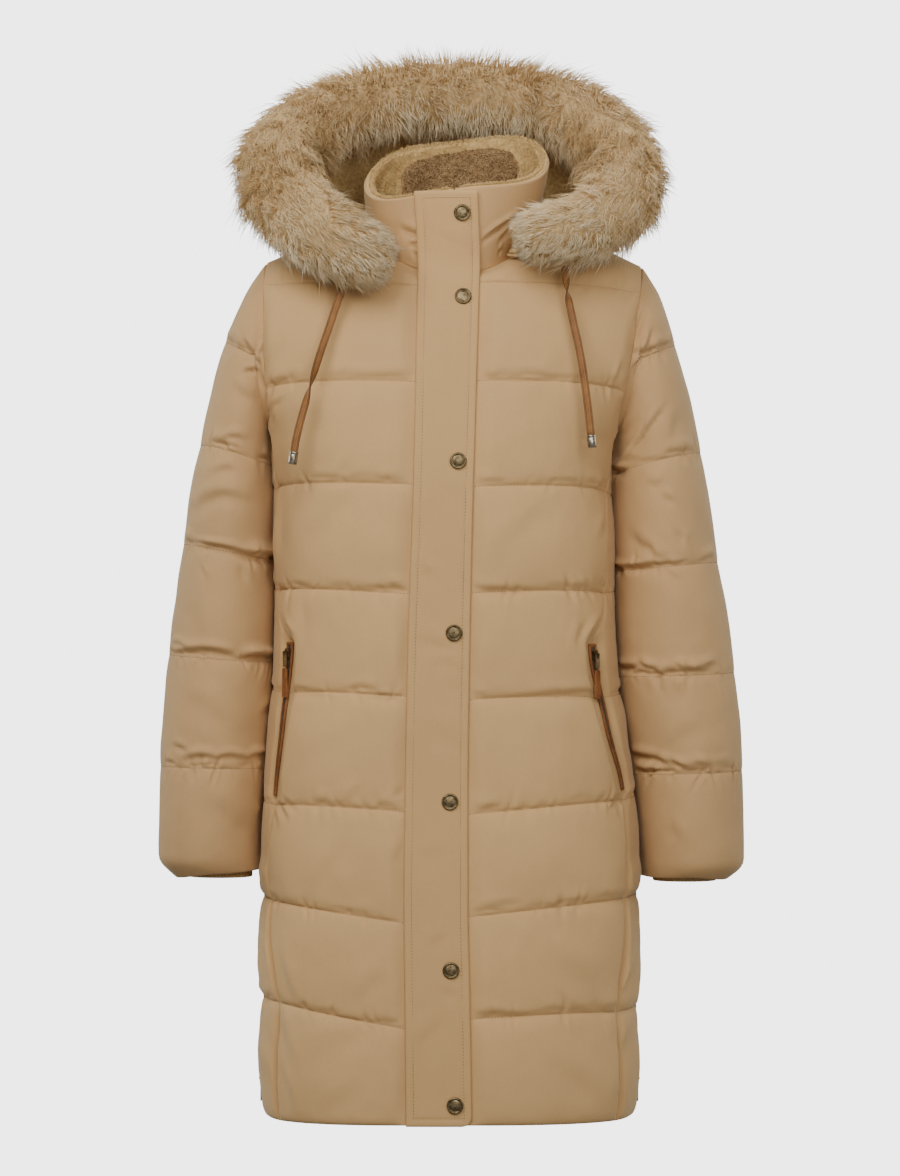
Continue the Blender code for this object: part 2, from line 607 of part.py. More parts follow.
def wall_mesh(inner, outer, kept, closed=False):
    """Corners and faces of the solid between two grids. The inner one keeps only some rows."""
    rows, columns = outer.shape[:2]
    corners = np.concatenate([outer.reshape(-1, 3), inner[list(kept)].reshape(-1, 3)])

    def out(i, j):
        return i * columns + j % columns

    def inn(k, j):
        return (rows + k) * columns + j % columns

    faces = []
    last = len(kept) - 1
    for j in range(columns if closed else columns - 1):
        for i in range(rows - 1):
            faces.append((out(i, j), out(i + 1, j), out(i + 1, j + 1), out(i, j + 1)))
        for k in range(last):
            faces.append((inn(k, j), inn(k, j + 1), inn(k + 1, j + 1), inn(k + 1, j)))
        faces.append((out(0, j), out(0, j + 1), inn(0, j + 1), inn(0, j)))
        faces.append((out(rows - 1, j), inn(last, j), inn(last, j + 1), out(rows - 1, j + 1)))
    for j in () if closed else (0, columns - 1):
        for k in range(last):
            middle = (kept[k] + kept[k + 1] + 1) // 2
            for i in range(kept[k], kept[k + 1]):
                faces.append((inn(k if i < middle else k + 1, j), out(i, j), out(i + 1, j)))
            faces.append((inn(k, j), out(middle, j), inn(k + 1, j)))
    return corners, faces


MATERIALS = {}


def material(finish):
    if finish not in MATERIALS:
        made = bpy.data.materials.new(finish)
        made.use_nodes = True
        shader = made.node_tree.nodes["Principled BSDF"]
        look = FINISHES[finish]
        shader.inputs["Base Color"].default_value = (*look.colour, 1.0)
        shader.inputs["Roughness"].default_value = look.roughness
        shader.inputs["Metallic"].default_value = look.metallic
        MATERIALS[finish] = made
    return MATERIALS[finish]


def add_mesh(name, corners, faces, finish, sharp_degrees=50):
    """A named object from corners and faces, with its faces turned outwards."""
    mesh = bpy.data.meshes.new(name)
    mesh.from_pydata([tuple(map(float, p)) for p in corners], [], faces)
    build = bmesh.new()
    build.from_mesh(mesh)
    bmesh.ops.recalc_face_normals(build, faces=build.faces)
    build.to_mesh(mesh)
    build.free()
    mesh.shade_smooth()
    mesh.set_sharp_from_angle(angle=math.radians(sharp_degrees))
    mesh.materials.append(material(finish))
    made = bpy.data.objects.new(name, mesh)
    bpy.context.scene.collection.objects.link(made)
    return made


def channel_puff(v):
    """How full a channel is, 0 on a quilt line and near 1 between two of them."""
    wave = np.clip(np.sin(np.pi * (v - np.floor(v))), 0, 1)
    return np.where(v < 1, YOKE_PUFF * wave**1.3, wave**0.6)


def quilt_rows(first, last):
    """Places of the grid's rows, and which of them the plain inner face keeps."""
    rows = list(YOKE_STEPS) if first == 0 else []
    for line in range(1, last):
        rows += [line + step for step in CHANNEL_STEPS if line + step >= first]
    rows.append(last)
    kept = [i for i, v in enumerate(rows) if v < 1 or v == int(v) or i == 0]
    return np.array(rows, float), kept


def beside_pocket(side, z):
    """1 at the heights of the pocket, where the panels' edges lie flat, and 0 well away from it."""
    top, low = POCKET_ENDS[side]
    return smooth_step((top + 0.045 - z) / 0.03) * smooth_step((z - low + 0.02) / 0.02)


def beside_vent(z):
    return smooth_step((VENT_ENDS[0] + VENT_BLEND - z) / VENT_BLEND)


def body_axis(points):
    """A point inside the coat for each point of its wall."""
    return points * np.array([0.0, 0.0, 1.0]) - np.array([0.0, 0.0, 0.05])


def build_front(side):
    rows, kept = quilt_rows(0, HEM_LINE)
    shares = np.array([0.0, 0.12, 0.24, 0.36, 0.64, 0.90, 1.0])
    columns = np.concatenate([[0.0], mix(PLACKET_COLUMN, 1.0, shares)])
    u, v = np.meshgrid(columns, rows)
    surface = partial(front_point, side)
    inner = surface(u, v)
    normals = normals_of(surface, u, v, body_axis)
    at_pocket = beside_pocket(side, inner[..., 2])
    share = front_share(u)
    puff = BODY_PUFF * channel_puff(v) * smooth_step(share / PLACKET_FADE)
    fade = mix(ARMHOLE_FADE, SEAM_FADE, smooth_step(v - 1.6))
    puff = puff * smooth_step((1 - share - POCKET_FLAT * at_pocket) / fade)
    turn_z = quilt_height(side, ARMPIT_LINE, 1.0)
    hole = inner[:, -1, 2] >= turn_z
    normals[hole, -1] = armhole_out(side, armhole_angle(side, inner[hole, -1, 2]))
    outer = inner + normals * (CLOTH + puff)[..., None]
    corners, faces = wall_mesh(trimmed(inner, OPENING_GAP), trimmed(outer, OPENING_GAP), kept)
    return add_mesh("front_" + SIDES[side], corners, faces, "shell")


def build_side(side):
    rows, kept = quilt_rows(ARMPIT_LINE, HEM_LINE)
    u, v = np.meshgrid(np.array([0.0, 0.17, 0.5, 0.8, 0.94, 1.0]), rows)
    surface = partial(side_point, side)
    inner = surface(u, v)
    normals = normals_of(surface, u, v, body_axis)
    z = inner[..., 2]
    at_pocket = beside_pocket(side, z)
    at_vent = beside_vent(z)
    fullness = mix(UNDER_SLEEVE_SHARE, 1.0, at_vent)
    puff = BODY_PUFF * fullness * channel_puff(v)
    puff = puff * smooth_step((u - SIDE_POCKET_FLAT * at_pocket) / SIDE_FADE)
    puff = puff * smooth_step((1 - u - VENT_FLAT * at_vent) / VENT_FADE)
    puff = puff * smooth_step((v - ARMPIT_LINE) / ARMPIT_FADE)
    outer = inner + normals * (CLOTH + puff)[..., None]
    corners, faces = wall_mesh(trimmed(inner), trimmed(outer), kept)
    return add_mesh("side_" + SIDES[side], corners, faces, "shell")


def build_back():
    rows, kept = quilt_rows(0, HEM_LINE)
    half = [0.15, 0.30, NECK_SHARE, 0.70, 0.84, 0.93, 0.98, 1.0]
    u, v = np.meshgrid(np.array([-c for c in reversed(half)] + [0.0] + half), rows)
    inner = back_point(u, v)
    normals = normals_of(back_point, u, v, body_axis)
    z = inner[..., 2]
    at_vent = beside_vent(z)
    fade = mix(SLEEVE_SHADOW, BACK_FADE, at_vent)
    puff = BODY_PUFF * channel_puff(v) * smooth_step((1 - np.abs(u) - BACK_VENT_FLAT * at_vent) / fade)
    for side, edge in ((RIGHT, 0), (LEFT, -1)):
        middle, reach = armhole_heights(side)
        hole = z[:, edge] > middle - reach + 0.002
        normals[hole, edge] = armhole_out(side, -armhole_angle(side, z[hole, edge]))
    outer = inner + normals * (CLOTH + puff)[..., None]
    corners, faces = wall_mesh(trimmed(inner), trimmed(outer), kept)
    return add_mesh("back", corners, faces, "shell")


def build_sleeve(side):
    rows = [0.0, 0.18, 0.45, 0.75, 0.93]
    for line in range(1, SLEEVE_LINES):
        rows += [line + step for step in CHANNEL_STEPS]
    rows = np.array(rows[:-1] + [SLEEVE_TURN, SLEEVE_LINES - 0.05, SLEEVE_LINES], float)
    kept = [i for i, v in enumerate(rows) if v < 1 or v == int(v) or v == SLEEVE_TURN]
    u, v = np.meshgrid(np.arange(SLEEVE_COLUMNS) / SLEEVE_COLUMNS, rows)
    surface = partial(sleeve_point, side)
    inner = surface(u, v)
    centres = inner.mean(axis=1, keepdims=True)
    normals = normals_of(surface, u, v, lambda points: centres, closed=True)
    pressed = (1 - np.cos(u * 2 * math.pi)) / 2
    puff = SLEEVE_PUFF * channel_puff(v + 1) * mix(1.0, PRESSED_SHARE, smooth_step(pressed * 2 - 0.9))
    puff = puff * mix(smooth_step(v * 1.2), 1.0, v > 1)
    normals[0] = armhole_out(side, u[0] * 2 * math.pi)
    outer = inner + normals * (CLOTH + puff)[..., None]
    inner[0] += unit(inner[1] - inner[0]) * SEAM_GAP
    outer[0] += unit(outer[1] - outer[0]) * SEAM_GAP
    corners, faces = wall_mesh(inner, outer, kept, closed=True)
    return add_mesh("sleeve_" + SIDES[side], corners, faces, "shell")


def build_cuff(side):
    """A funnel from the sleeve's inner face that narrows to a ribbed tube."""
    count = 2 * CUFF_RIBS
    u = np.arange(count) / count
    angle = u * 2 * math.pi
    above, below = (sleeve_point(side, u, np.full(count, v)) for v in (SLEEVE_LINES - 1.0, SLEEVE_TURN))
    start = mix(above, below, CUFF_START)
    middle = start.mean(axis=0)
    start = middle + (start - middle) * np.array([0.945, 0.955, 1.0])
    centre = CUFF_CENTRE[side]
    rib = np.where(np.arange(count) % 2 == 0, CUFF_RIB, 0.0)
    outer_rows = [start]
    inner_rows = [middle + (start - middle) * np.array([0.94, 0.95, 1.0]) + np.array([0.0, 0.0, 0.001])]
    for depth in (0.038, 0.0):
        z = CUFF_END_Z[side] + depth
        away = points_of(-side * -np.cos(angle), -np.sin(angle), 0.0)
        base = np.array([centre[0], centre[1], z])
        outer_rows.append(base + away * (CUFF_RADIUS + rib)[:, None])
        inner_rows.append(base + away * (CUFF_RADIUS - CUFF_WALL))
    corners, faces = wall_mesh(np.array(inner_rows), np.array(outer_rows), (0, 1, 2), closed=True)
    return add_mesh("cuff_" + SIDES[side], corners, faces, "rib", 80)


# ---------------------------------------------------------------- collar, hood and fur


def collar_point(angle, height):
    """The collar's inner face: height 0 at the neck seam and 1 at the rim."""
    base = neck_point(angle) + np.array([0.0, 0.0, COLLAR_LIFT])
    rim = ring_point(RIM_RADIUS, RIM_CENTRE, RIM_HEIGHT, angle)
    height = np.asarray(height, float)
    away = points_of(np.sin(angle), -np.cos(angle), 0.0)
    bulge = COLLAR_BULGE * np.sin(np.pi * np.clip(height, 0, 1))
    return mix(base, rim, height[..., None]) + away * bulge[..., None]


def collar_band(name, finish, angles, heights, outer_offsets, inner_offsets):
    """A band round the neck between two offsets from the collar's inner face, a row per height."""
    angle, height = np.meshgrid(angles, heights)
    away = points_of(np.sin(angle), -np.cos(angle), 0.0)
    face = collar_point(angle, height)
    outer = face + away * np.array(outer_offsets)[:, None, None]
    inner = face + away * np.array(inner_offsets)[:, None, None]
    corners, faces = wall_mesh(inner, outer, range(len(heights)))
    return add_mesh(name, corners, faces, finish)


def build_collar():
    open_half = 0.008
    angles = np.linspace(open_half, 2 * math.pi - open_half, 27) - 0.03
    collar_band("collar_shell", "shell", angles, (0.0, 0.35, 0.7, 1.0), (CLOTH,) * 4, (0.0,) * 4)
    heights = (0.03, 0.45, 0.85, 1.013, 1.045, 1.10)
    outside = (-SEAM_GAP, -SEAM_GAP, -SEAM_GAP, -SEAM_GAP, 0.0020, -0.0010)
    inside = (-LINING, -LINING, -0.0060, -0.0065, -0.0065, -0.0040)
    collar_band("collar_lining", "plush", angles, heights, outside, inside)
    angles = angles[(angles > FACING_FROM) & (angles < FACING_TO)]
    outside = (-LINING - 0.0004, -LINING - 0.0008, -LINING - 0.0019)
    inside = (-LINING - 0.0036, -LINING - 0.0044, -LINING - 0.0050)
    collar_band("neck_facing", "facing", angles, (0.08, 0.50, 0.93), outside, inside)


def fur_middle(station):
    return points_of(*(column(FUR, name, station) for name in "xyz"))


def hood_point(u, t):
    """u counts the fur's stations, and t goes from the neck seam (0) to the fur (1)."""
    mirrored = np.minimum(u, 12 - u)
    roll = fur_middle(u)
    azimuth = np.arctan2(roll[..., 0] - NECK_CENTRE[0], NECK_CENTRE[1] - roll[..., 1])
    seam = neck_point(azimuth)
    seam_r = np.hypot(seam[..., 0] - NECK_CENTRE[0], seam[..., 1] - NECK_CENTRE[1]) + 0.0075
    radii = [seam_r] + [column(HOOD, f"r{k}", mirrored) for k in (1, 2, 3, 4)]
    heights = [seam[..., 2] + 0.0125] + [column(HOOD, f"z{k}", mirrored) for k in (1, 2, 3, 4)]
    radius, height = (smooth_run(values, t) for values in (radii, heights))
    x = NECK_CENTRE[0] + radius * np.sin(azimuth)
    return points_of(x, NECK_CENTRE[1] - radius * np.cos(azimuth), height)


def smooth_run(values, t):
    """A smooth curve through evenly spaced values, read at t from 0 to 1."""
    values = np.stack(np.broadcast_arrays(*values))
    slopes = np.gradient(values, axis=0)
    place = np.clip(t, 0, 1) * (len(values) - 1)
    i = np.clip(np.floor(place).astype(int), 0, len(values) - 2)
    t = place - i
    value, slope = (np.take_along_axis(array, i[None], axis=0)[0] for array in (values, slopes))
    next_value, next_slope = (np.take_along_axis(array, i[None] + 1, axis=0)[0] for array in (values, slopes))
    start = value * (1 + 2 * t) + slope * t
    end = next_value * (3 - 2 * t) - next_slope * (1 - t)
    return start * (1 - t) ** 2 + end * t**2


def build_hood():
    u, t = np.meshgrid(np.linspace(*HOOD_ENDS, HOOD_COLUMNS), np.linspace(0.0, 1.0, HOOD_ROWS))
    face = hood_point(u, t)
    normals = normals_of(hood_point, u, t, lambda points: points * 0 + np.array([0.0, 0.0, 3.0]))
    outer = face + normals * CLOTH
    corners, faces = wall_mesh(face, outer, range(HOOD_ROWS))
    add_mesh("hood_shell", corners, faces, "shell")
    near, far = face - normals * SEAM_GAP, face - normals * (SEAM_GAP + HOOD_LINING)
    corners, faces = wall_mesh(far[1:], near[1:], range(HOOD_ROWS - 1))
    add_mesh("hood_lining", corners, faces, "plush")


def build_fur():
    """The trim as a closed roll that reaches as far as its hair, a little lumpy as locks make it."""
    stations = np.linspace(FUR[0].station, FUR[-1].station, FUR_RINGS)
    middle = fur_middle(stations)
    radius = column(FUR, "radius", stations)
    ahead = unit(np.gradient(middle, axis=0))
    side = unit(np.cross(ahead, np.array([0.0, 0.0, 1.0]) + 0 * ahead))
    lift = np.cross(side, ahead)
    angle = np.arange(FUR_SIDES) / FUR_SIDES * 2 * math.pi
    lump = np.sin(stations[:, None] * 9.0 + 2 * angle) * np.sin(stations[:, None] * 4.3 - 3 * angle)
    reach = radius[:, None] * (1 + FUR_LUMP * (lump - 0.5))
    rings = middle[:, None] + reach[..., None] * (
        np.cos(angle)[:, None] * side[:, None] + np.sin(angle)[:, None] * lift[:, None]
    )
    corners = rings.reshape(-1, 3)
    faces = [tuple(range(FUR_SIDES)), tuple(range((FUR_RINGS - 1) * FUR_SIDES, FUR_RINGS * FUR_SIDES))]
    for i in range(FUR_RINGS - 1):
        for j in range(FUR_SIDES):
            k = (j + 1) % FUR_SIDES
            here, there = i * FUR_SIDES, (i + 1) * FUR_SIDES
            faces.append((here + j, here + k, there + k, there + j))
    return add_mesh("fur_trim", corners, faces, "fur", 80)


# ---------------------------------------------------------------- placket and snaps


def front_cloth(x, z):
    """The outermost cloth near the centre front, bridging from the body to the collar."""
    side = np.where(x < column(BODY, "centre", z), RIGHT, LEFT)
    halves = {s: body_half(s, FRONT, z) for s in (RIGHT, LEFT)}
    half = np.where(side == RIGHT, halves[RIGHT], halves[LEFT])
    ratio = np.clip(np.abs(x - column(BODY, "centre", z)) / half, 0, 1)
    body_y = -body_depth(FRONT, z) * (1 - ratio**ROUNDNESS) ** (1 / ROUNDNESS)
    low, high = neck_point(0.0)[2], ring_point(RIM_RADIUS, RIM_CENTRE, RIM_HEIGHT, 0.0)[2]
    height = np.clip((z - low) / (high - low), 0, 1.2)
    width = mix(NECK_RADIUS[0], RIM_RADIUS[0], height)
    centre_x = mix(NECK_CENTRE[0], RIM_CENTRE[0], height)
    turn = np.sqrt(np.clip(1 - ((x - centre_x) / width) ** 2, 0, 1))
    depth = mix(NECK_RADIUS[1], RIM_RADIUS[1], height)
    collar_y = mix(NECK_CENTRE[1], RIM_CENTRE[1], height) - depth * turn - COLLAR_BULGE
    return mix(body_y, collar_y, smooth_step((z + 0.063) / 0.036)) - CLOTH


def placket_point(u, v):
    """u runs from the wearer's right edge to the left one, and v from the top to the hem."""
    hem = PLACKET[0].z
    z = mix(PLACKET_TOP, hem, v)
    corner = np.clip(hem + PLACKET_CORNER - z, 0, PLACKET_CORNER)
    cut = PLACKET_CORNER - np.sqrt(PLACKET_CORNER**2 - corner**2)
    x = mix(column(PLACKET, "right", z), column(PLACKET, "left", z) - cut, u)
    return points_of(x, front_cloth(x, z) - PLACKET_GAP, z)


def placket_frame(x, z):
    """A point on the placket's outer face and the outward direction there."""
    v = (PLACKET_TOP - z) / (PLACKET_TOP - PLACKET[0].z)
    u = (x - column(PLACKET, "right", z)) / (column(PLACKET, "left", z) - column(PLACKET, "right", z))
    across = placket_point(u + 0.02, v) - placket_point(u - 0.02, v)
    down = placket_point(u, v + 0.002) - placket_point(u, v - 0.002)
    out = unit(np.cross(across, -down))
    out = out if out[1] < 0 else -out
    return placket_point(u, v) + out * PLACKET_CLOTH, out


def build_placket():
    upper = np.linspace(0, PLACKET_BEND, 10)
    lower = np.linspace(PLACKET_BEND, 0.985, PLACKET_ROWS)
    rows = np.concatenate([upper, lower[1:], [0.9925, 0.997, 1.0]])
    u, v = np.meshgrid(np.linspace(0, 1, 5), rows)
    inner = placket_point(u, v)
    normals = normals_of(placket_point, u, v, lambda points: points + np.array([0.0, 1.0, 0.0]))
    outer = inner + normals * PLACKET_CLOTH
    corners, faces = wall_mesh(inner, outer, range(len(rows)))
    return add_mesh("placket", corners, faces, "placket")


def turned_mesh(name, profile, segments, finish):
    """A mesh turned round Z from (radius, height) pairs that start and end on the axis."""
    build = bmesh.new()
    rings = []
    angles = [2 * math.pi * k / segments for k in range(segments)]
    for radius, height in profile:
        spots = [(radius * math.cos(a), radius * math.sin(a), height) for a in angles]
        rings.append([build.verts.new(spot) for spot in (spots if radius else spots[:1])])
    for low, high in zip(rings, rings[1:]):
        for k in range(segments):
            here = [low[k % len(low)], low[(k + 1) % len(low)]]
            there = [high[(k + 1) % len(high)], high[k % len(high)]]
            build.faces.new(list(dict.fromkeys(here + there)))
    bmesh.ops.recalc_face_normals(build, faces=build.faces)
    mesh = bpy.data.meshes.new(name)
    build.to_mesh(mesh)
    build.free()
    mesh.shade_smooth()
    mesh.set_sharp_from_angle(angle=math.radians(35))
    mesh.materials.append(material(finish))
    return mesh


def place(name, mesh, matrix):
    made = bpy.data.objects.new(name, mesh)
    made.matrix_world = matrix
    bpy.context.scene.collection.objects.link(made)
    return made


def frame_matrix(origin, x_axis, y_axis, z_axis):
    turn = Matrix([Vector(map(float, axis)) for axis in (x_axis, y_axis, z_axis)]).transposed()
    return Matrix.Translation(Vector(map(float, origin))) @ turn.to_4x4()


def build_snaps():
    """Seven shallow domed caps with a raised rim and a plain middle."""
    shares = ((0, 0), (1, 0), (1, 0.6), (0.86, 1), (0.74, 0.7), (0, 0.9))
    profile = [(SNAP_RADIUS * across, SNAP_HEIGHT * up) for across, up in shares]
    mesh = turned_mesh("snap_cap", profile, 14, "brass")
    for number, snap in enumerate(SNAPS, 1):
        point, out = placket_frame(snap.x, snap.z)
        x_axis = unit(np.cross(np.array([0.0, 0.0, 1.0]), out))
        matrix = frame_matrix(point + out * SEAM_GAP, x_axis, np.cross(out, x_axis), out)
        place(f"snap_{number}", mesh, matrix)


# ---------------------------------------------------------------- zips


def seam_point(side, vent, z, aside=0.0):
    """A point of the body's inner face on the vent's or the pocket's seam, or aside of it in swing."""
    swing = 1.0 if vent else front_edge_swing(side, z)
    return body_point(side, FRONT, swing + aside, z)


def seam_spot(side, vent, z):
    """Point, across (towards the back), down and outward directions on a seam of the inner face."""
    point = seam_point(side, vent, z)
    across = np.array([0.0, 1.0, 0.0])
    if not vent:
        behind, ahead = (seam_point(side, vent, z, aside) for aside in (SWING_STEP, -SWING_STEP))
        across = unit(behind - ahead)
    below, above = (seam_point(side, vent, z + step) for step in (-HEIGHT_STEP, HEIGHT_STEP))
    down = unit(below - above)
    out = unit(np.cross(across, down))
    out = out if out[0] * side + (0 if vent else -out[1]) > 0 else -out
    return point, across, down, out


def zip_rows(side, vent, ends, clear, tops, lows):
    """Points beside a seam: for each height, one point per half width in tops and lows."""
    top, low = ends
    found = []
    for share in np.linspace(clear, 1 - clear, ZIP_STATIONS):
        point, across, down, out = seam_spot(side, vent, mix(top, low, share))
        row = [point + across * mix(a, b, share) for a, b in zip(tops, lows)]
        found.append((row, out))
    return found


def build_zip(name, side, vent, ends, size):
    """A leather welt with a slot, and the zip's tape in the slot."""
    base = CLOTH + WELT_LIFT
    tops = (-size.top_half, -size.top_slot, size.top_slot, size.top_half)
    lows = (-size.low_half, -size.low_slot, size.low_slot, size.low_half)
    outline = zip_rows(side, vent, ends, 0.0, tops, lows)
    slot = zip_rows(side, vent, ends, SLOT_END, tops, lows)
    outer_edge = [(row[0], out) for row, out in outline] + [(row[3], out) for row, out in reversed(outline)]
    inner_edge = [(row[1], out) for row, out in slot] + [(row[2], out) for row, out in reversed(slot)]
    count = len(outer_edge)
    corners = []
    for (far, far_out), (near, near_out) in zip(outer_edge, inner_edge):
        corners += [far + far_out * base, far + far_out * (base + size.welt * WELT_EDGE)]
        corners += [near + near_out * (base + size.welt), near + near_out * base]
    faces = []
    for i in range(count):
        for k in range(4):
            here, there = 4 * i, 4 * ((i + 1) % count)
            faces.append((here + k, here + (k + 1) % 4, there + (k + 1) % 4, there + k))
    add_mesh(name + "_welt", corners, faces, "leather", 30)
    tops, lows = ((ZIP_CLEAR - half, half - ZIP_CLEAR) for half in (size.top_slot, size.low_slot))
    tape = zip_rows(side, vent, ends, TAPE_END, tops, lows)
    inner = np.array([[p + out * base for p in row] for row, out in tape])
    outer = np.array([[p + out * (base + ZIP_TAPE) for p in row] for row, out in tape])
    corners, faces = wall_mesh(inner, outer, range(ZIP_STATIONS))
    add_mesh(name + "_zip", corners, faces, "tape", 30)


def prism(name, outline, thickness, finish, hole=None):
    """A flat piece from an outline in XY, centred on Z = 0, with an optional hole."""
    build = bmesh.new()
    loops = [outline] + ([hole] if hole else [])
    low = [[build.verts.new((x, y, -thickness / 2)) for x, y in loop] for loop in loops]
    high = [[build.verts.new((x, y, thickness / 2)) for x, y in loop] for loop in loops]
    for below, above in zip(low, high):
        for k in range(len(below)):
            n = (k + 1) % len(below)
            build.faces.new((below[k], below[n], above[n], above[k]))
    for level in (low, high):
        ends = [pair for loop in level for pair in zip(loop, loop[1:] + loop[:1])]
        edges = [build.edges.get(pair) for pair in ends]
        bmesh.ops.triangle_fill(build, edges=edges, use_beauty=True)
    bmesh.ops.recalc_face_normals(build, faces=build.faces)
    mesh = bpy.data.meshes.new(name)
    build.to_mesh(mesh)
    build.free()
    mesh.shade_smooth()
    mesh.set_sharp_from_angle(angle=math.radians(35))
    mesh.materials.append(material(finish))
    return mesh


def rounded_outline(half_top, half_low, top, low, corner, steps=3):
    """A tapering strip with rounded corners, as (x, y) pairs."""
    found = []
    places = ((half_top, top, 0), (-half_top, top, 1), (-half_low, low, 2), (half_low, low, 3))
    for x, y, quarter in places:
        cx = x - math.copysign(corner, x)
        cy = y - corner if quarter < 2 else y + corner
        for k in range(steps + 1):
            angle = math.pi / 2 * (quarter + k / steps)
            found.append((cx + corner * math.cos(angle), cy + corner * math.sin(angle)))
    return found


def slider_mesh(name):
    """A slider with a ring on top for the pull: the ring's axis is the origin, along X."""
    width, length, height = SLIDER_SIZE
    top, low = length * SLIDER_ABOVE, -length * (1 - SLIDER_ABOVE)
    outline = rounded_outline(width / 2, width / 2 * SLIDER_TAPER, top, low, SLIDER_CORNER)
    body = prism(name, outline, height, "brass")
    build = bmesh.new()
    build.from_mesh(body)
    drop = BAIL_RADIUS - BAIL_SUNK + height / 2
    bmesh.ops.translate(build, verts=build.verts, vec=(0, 0, -drop))
    build.to_mesh(body)
    build.free()
    ring = bmesh.new()
    angles = [2 * math.pi * (k + 0.5) / BAIL_SIDES for k in range(BAIL_SIDES)]
    half = BAIL_WIDTH / 2
    loops = []
    for x, radius in ((-half, BAIL_HOLE), (-half, BAIL_RADIUS), (half, BAIL_RADIUS), (half, BAIL_HOLE)):
        loops.append([ring.verts.new((x, radius * math.cos(a), radius * math.sin(a))) for a in angles])
    for here, there in zip(loops, loops[1:] + loops[:1]):
        for k in range(BAIL_SIDES):
            n = (k + 1) % BAIL_SIDES
            ring.faces.new((here[k], here[n], there[n], there[k]))
    bmesh.ops.recalc_face_normals(ring, faces=ring.faces)
    ring_mesh = bpy.data.meshes.new(name + "_ring")
    ring.to_mesh(ring_mesh)
    ring.free()
    return body, ring_mesh


def add_slider(name, matrix):
    body, ring = slider_mesh(name)
    made = place(name, body, matrix)
    helper = place(name + "_ring", ring, matrix)
    helper.hide_render = True
    helper.display_type = "WIRE"
    union = made.modifiers.new("ring", "BOOLEAN")
    union.operation = "UNION"
    union.object = helper
    return made


def hanging_frame(side, vent, z):
    """Pivot of a pull on the slider at height z, and its axes: along the pivot, up and out."""
    point, across, down, out = seam_spot(side, vent, z)
    slider_floor = CLOTH + WELT_LIFT + (VENT_ZIP if vent else POCKET_ZIP).welt + ZIP_CLEAR
    pivot = point + out * (slider_floor + SLIDER_SIZE[2] + BAIL_RADIUS - BAIL_SUNK)
    slider = frame_matrix(pivot, *square_axes(across, -down, out))
    hinge = unit(across * np.array([1.0, 1.0, PULL_TILT]))
    gravity = np.array([0.0, 0.0, -1.0])
    hang = unit(gravity - hinge * (gravity @ hinge))
    outward = np.cross(hinge, -hang)
    if outward @ out < 0:
        hinge, outward = -hinge, -outward
    return pivot, slider, frame_matrix(pivot, hinge, -hang, outward), hinge


def square_axes(across, up, out):
    across = unit(np.cross(up, out))
    return across, np.cross(out, across), out


def add_pocket_pull(name, side):
    """Slider, metal pull and leather tab of a pocket. Pull and tab turn about the slider's ring."""
    slider, pull_frame = hanging_frame(side, False, POCKET_ENDS[side][0] - POCKET_SLIDER)[1:3]
    add_slider(name + "_slider", slider)
    half, reach = PULL_EYE
    plate = rounded_outline(PULL_HALF * 0.9, PULL_HALF, PULL_BAR, -PULL_LENGTH, 0.0006, 2)
    eye = rounded_outline(half, half, -PULL_BAR, -PULL_BAR - reach, 0.0004, 1)
    place(name + "_pull", prism(name + "_pull", plate, PULL_THICK, "nickel", eye), pull_frame)
    top = -PULL_LENGTH - 2 * ZIP_CLEAR
    strap = rounded_outline(TAB_HALF * 0.8, TAB_HALF, top, top - TAB_LENGTH, 0.0014, 2)
    place(name + "_tab", prism(name + "_tab", strap, TAB_THICK, "leather"), pull_frame)


def add_vent_pull(name, side):
    """Slider and pull of a side vent, closed at the hem."""
    slider, pull_frame = hanging_frame(side, True, VENT_ENDS[1] + VENT_SLIDER)[1:3]
    add_slider(name + "_slider", slider)
    half, reach = PULL_EYE
    plate = rounded_outline(PULL_HALF * 0.85, PULL_HALF * 0.85, PULL_BAR, -VENT_PULL_LENGTH, 0.0006, 2)
    eye = rounded_outline(half, half, -PULL_BAR, -PULL_BAR - reach, 0.0004, 1)
    place(name + "_pull", prism(name + "_pull", plate, PULL_THICK, "brass", eye), pull_frame)


# ---------------------------------------------------------------- drawcords


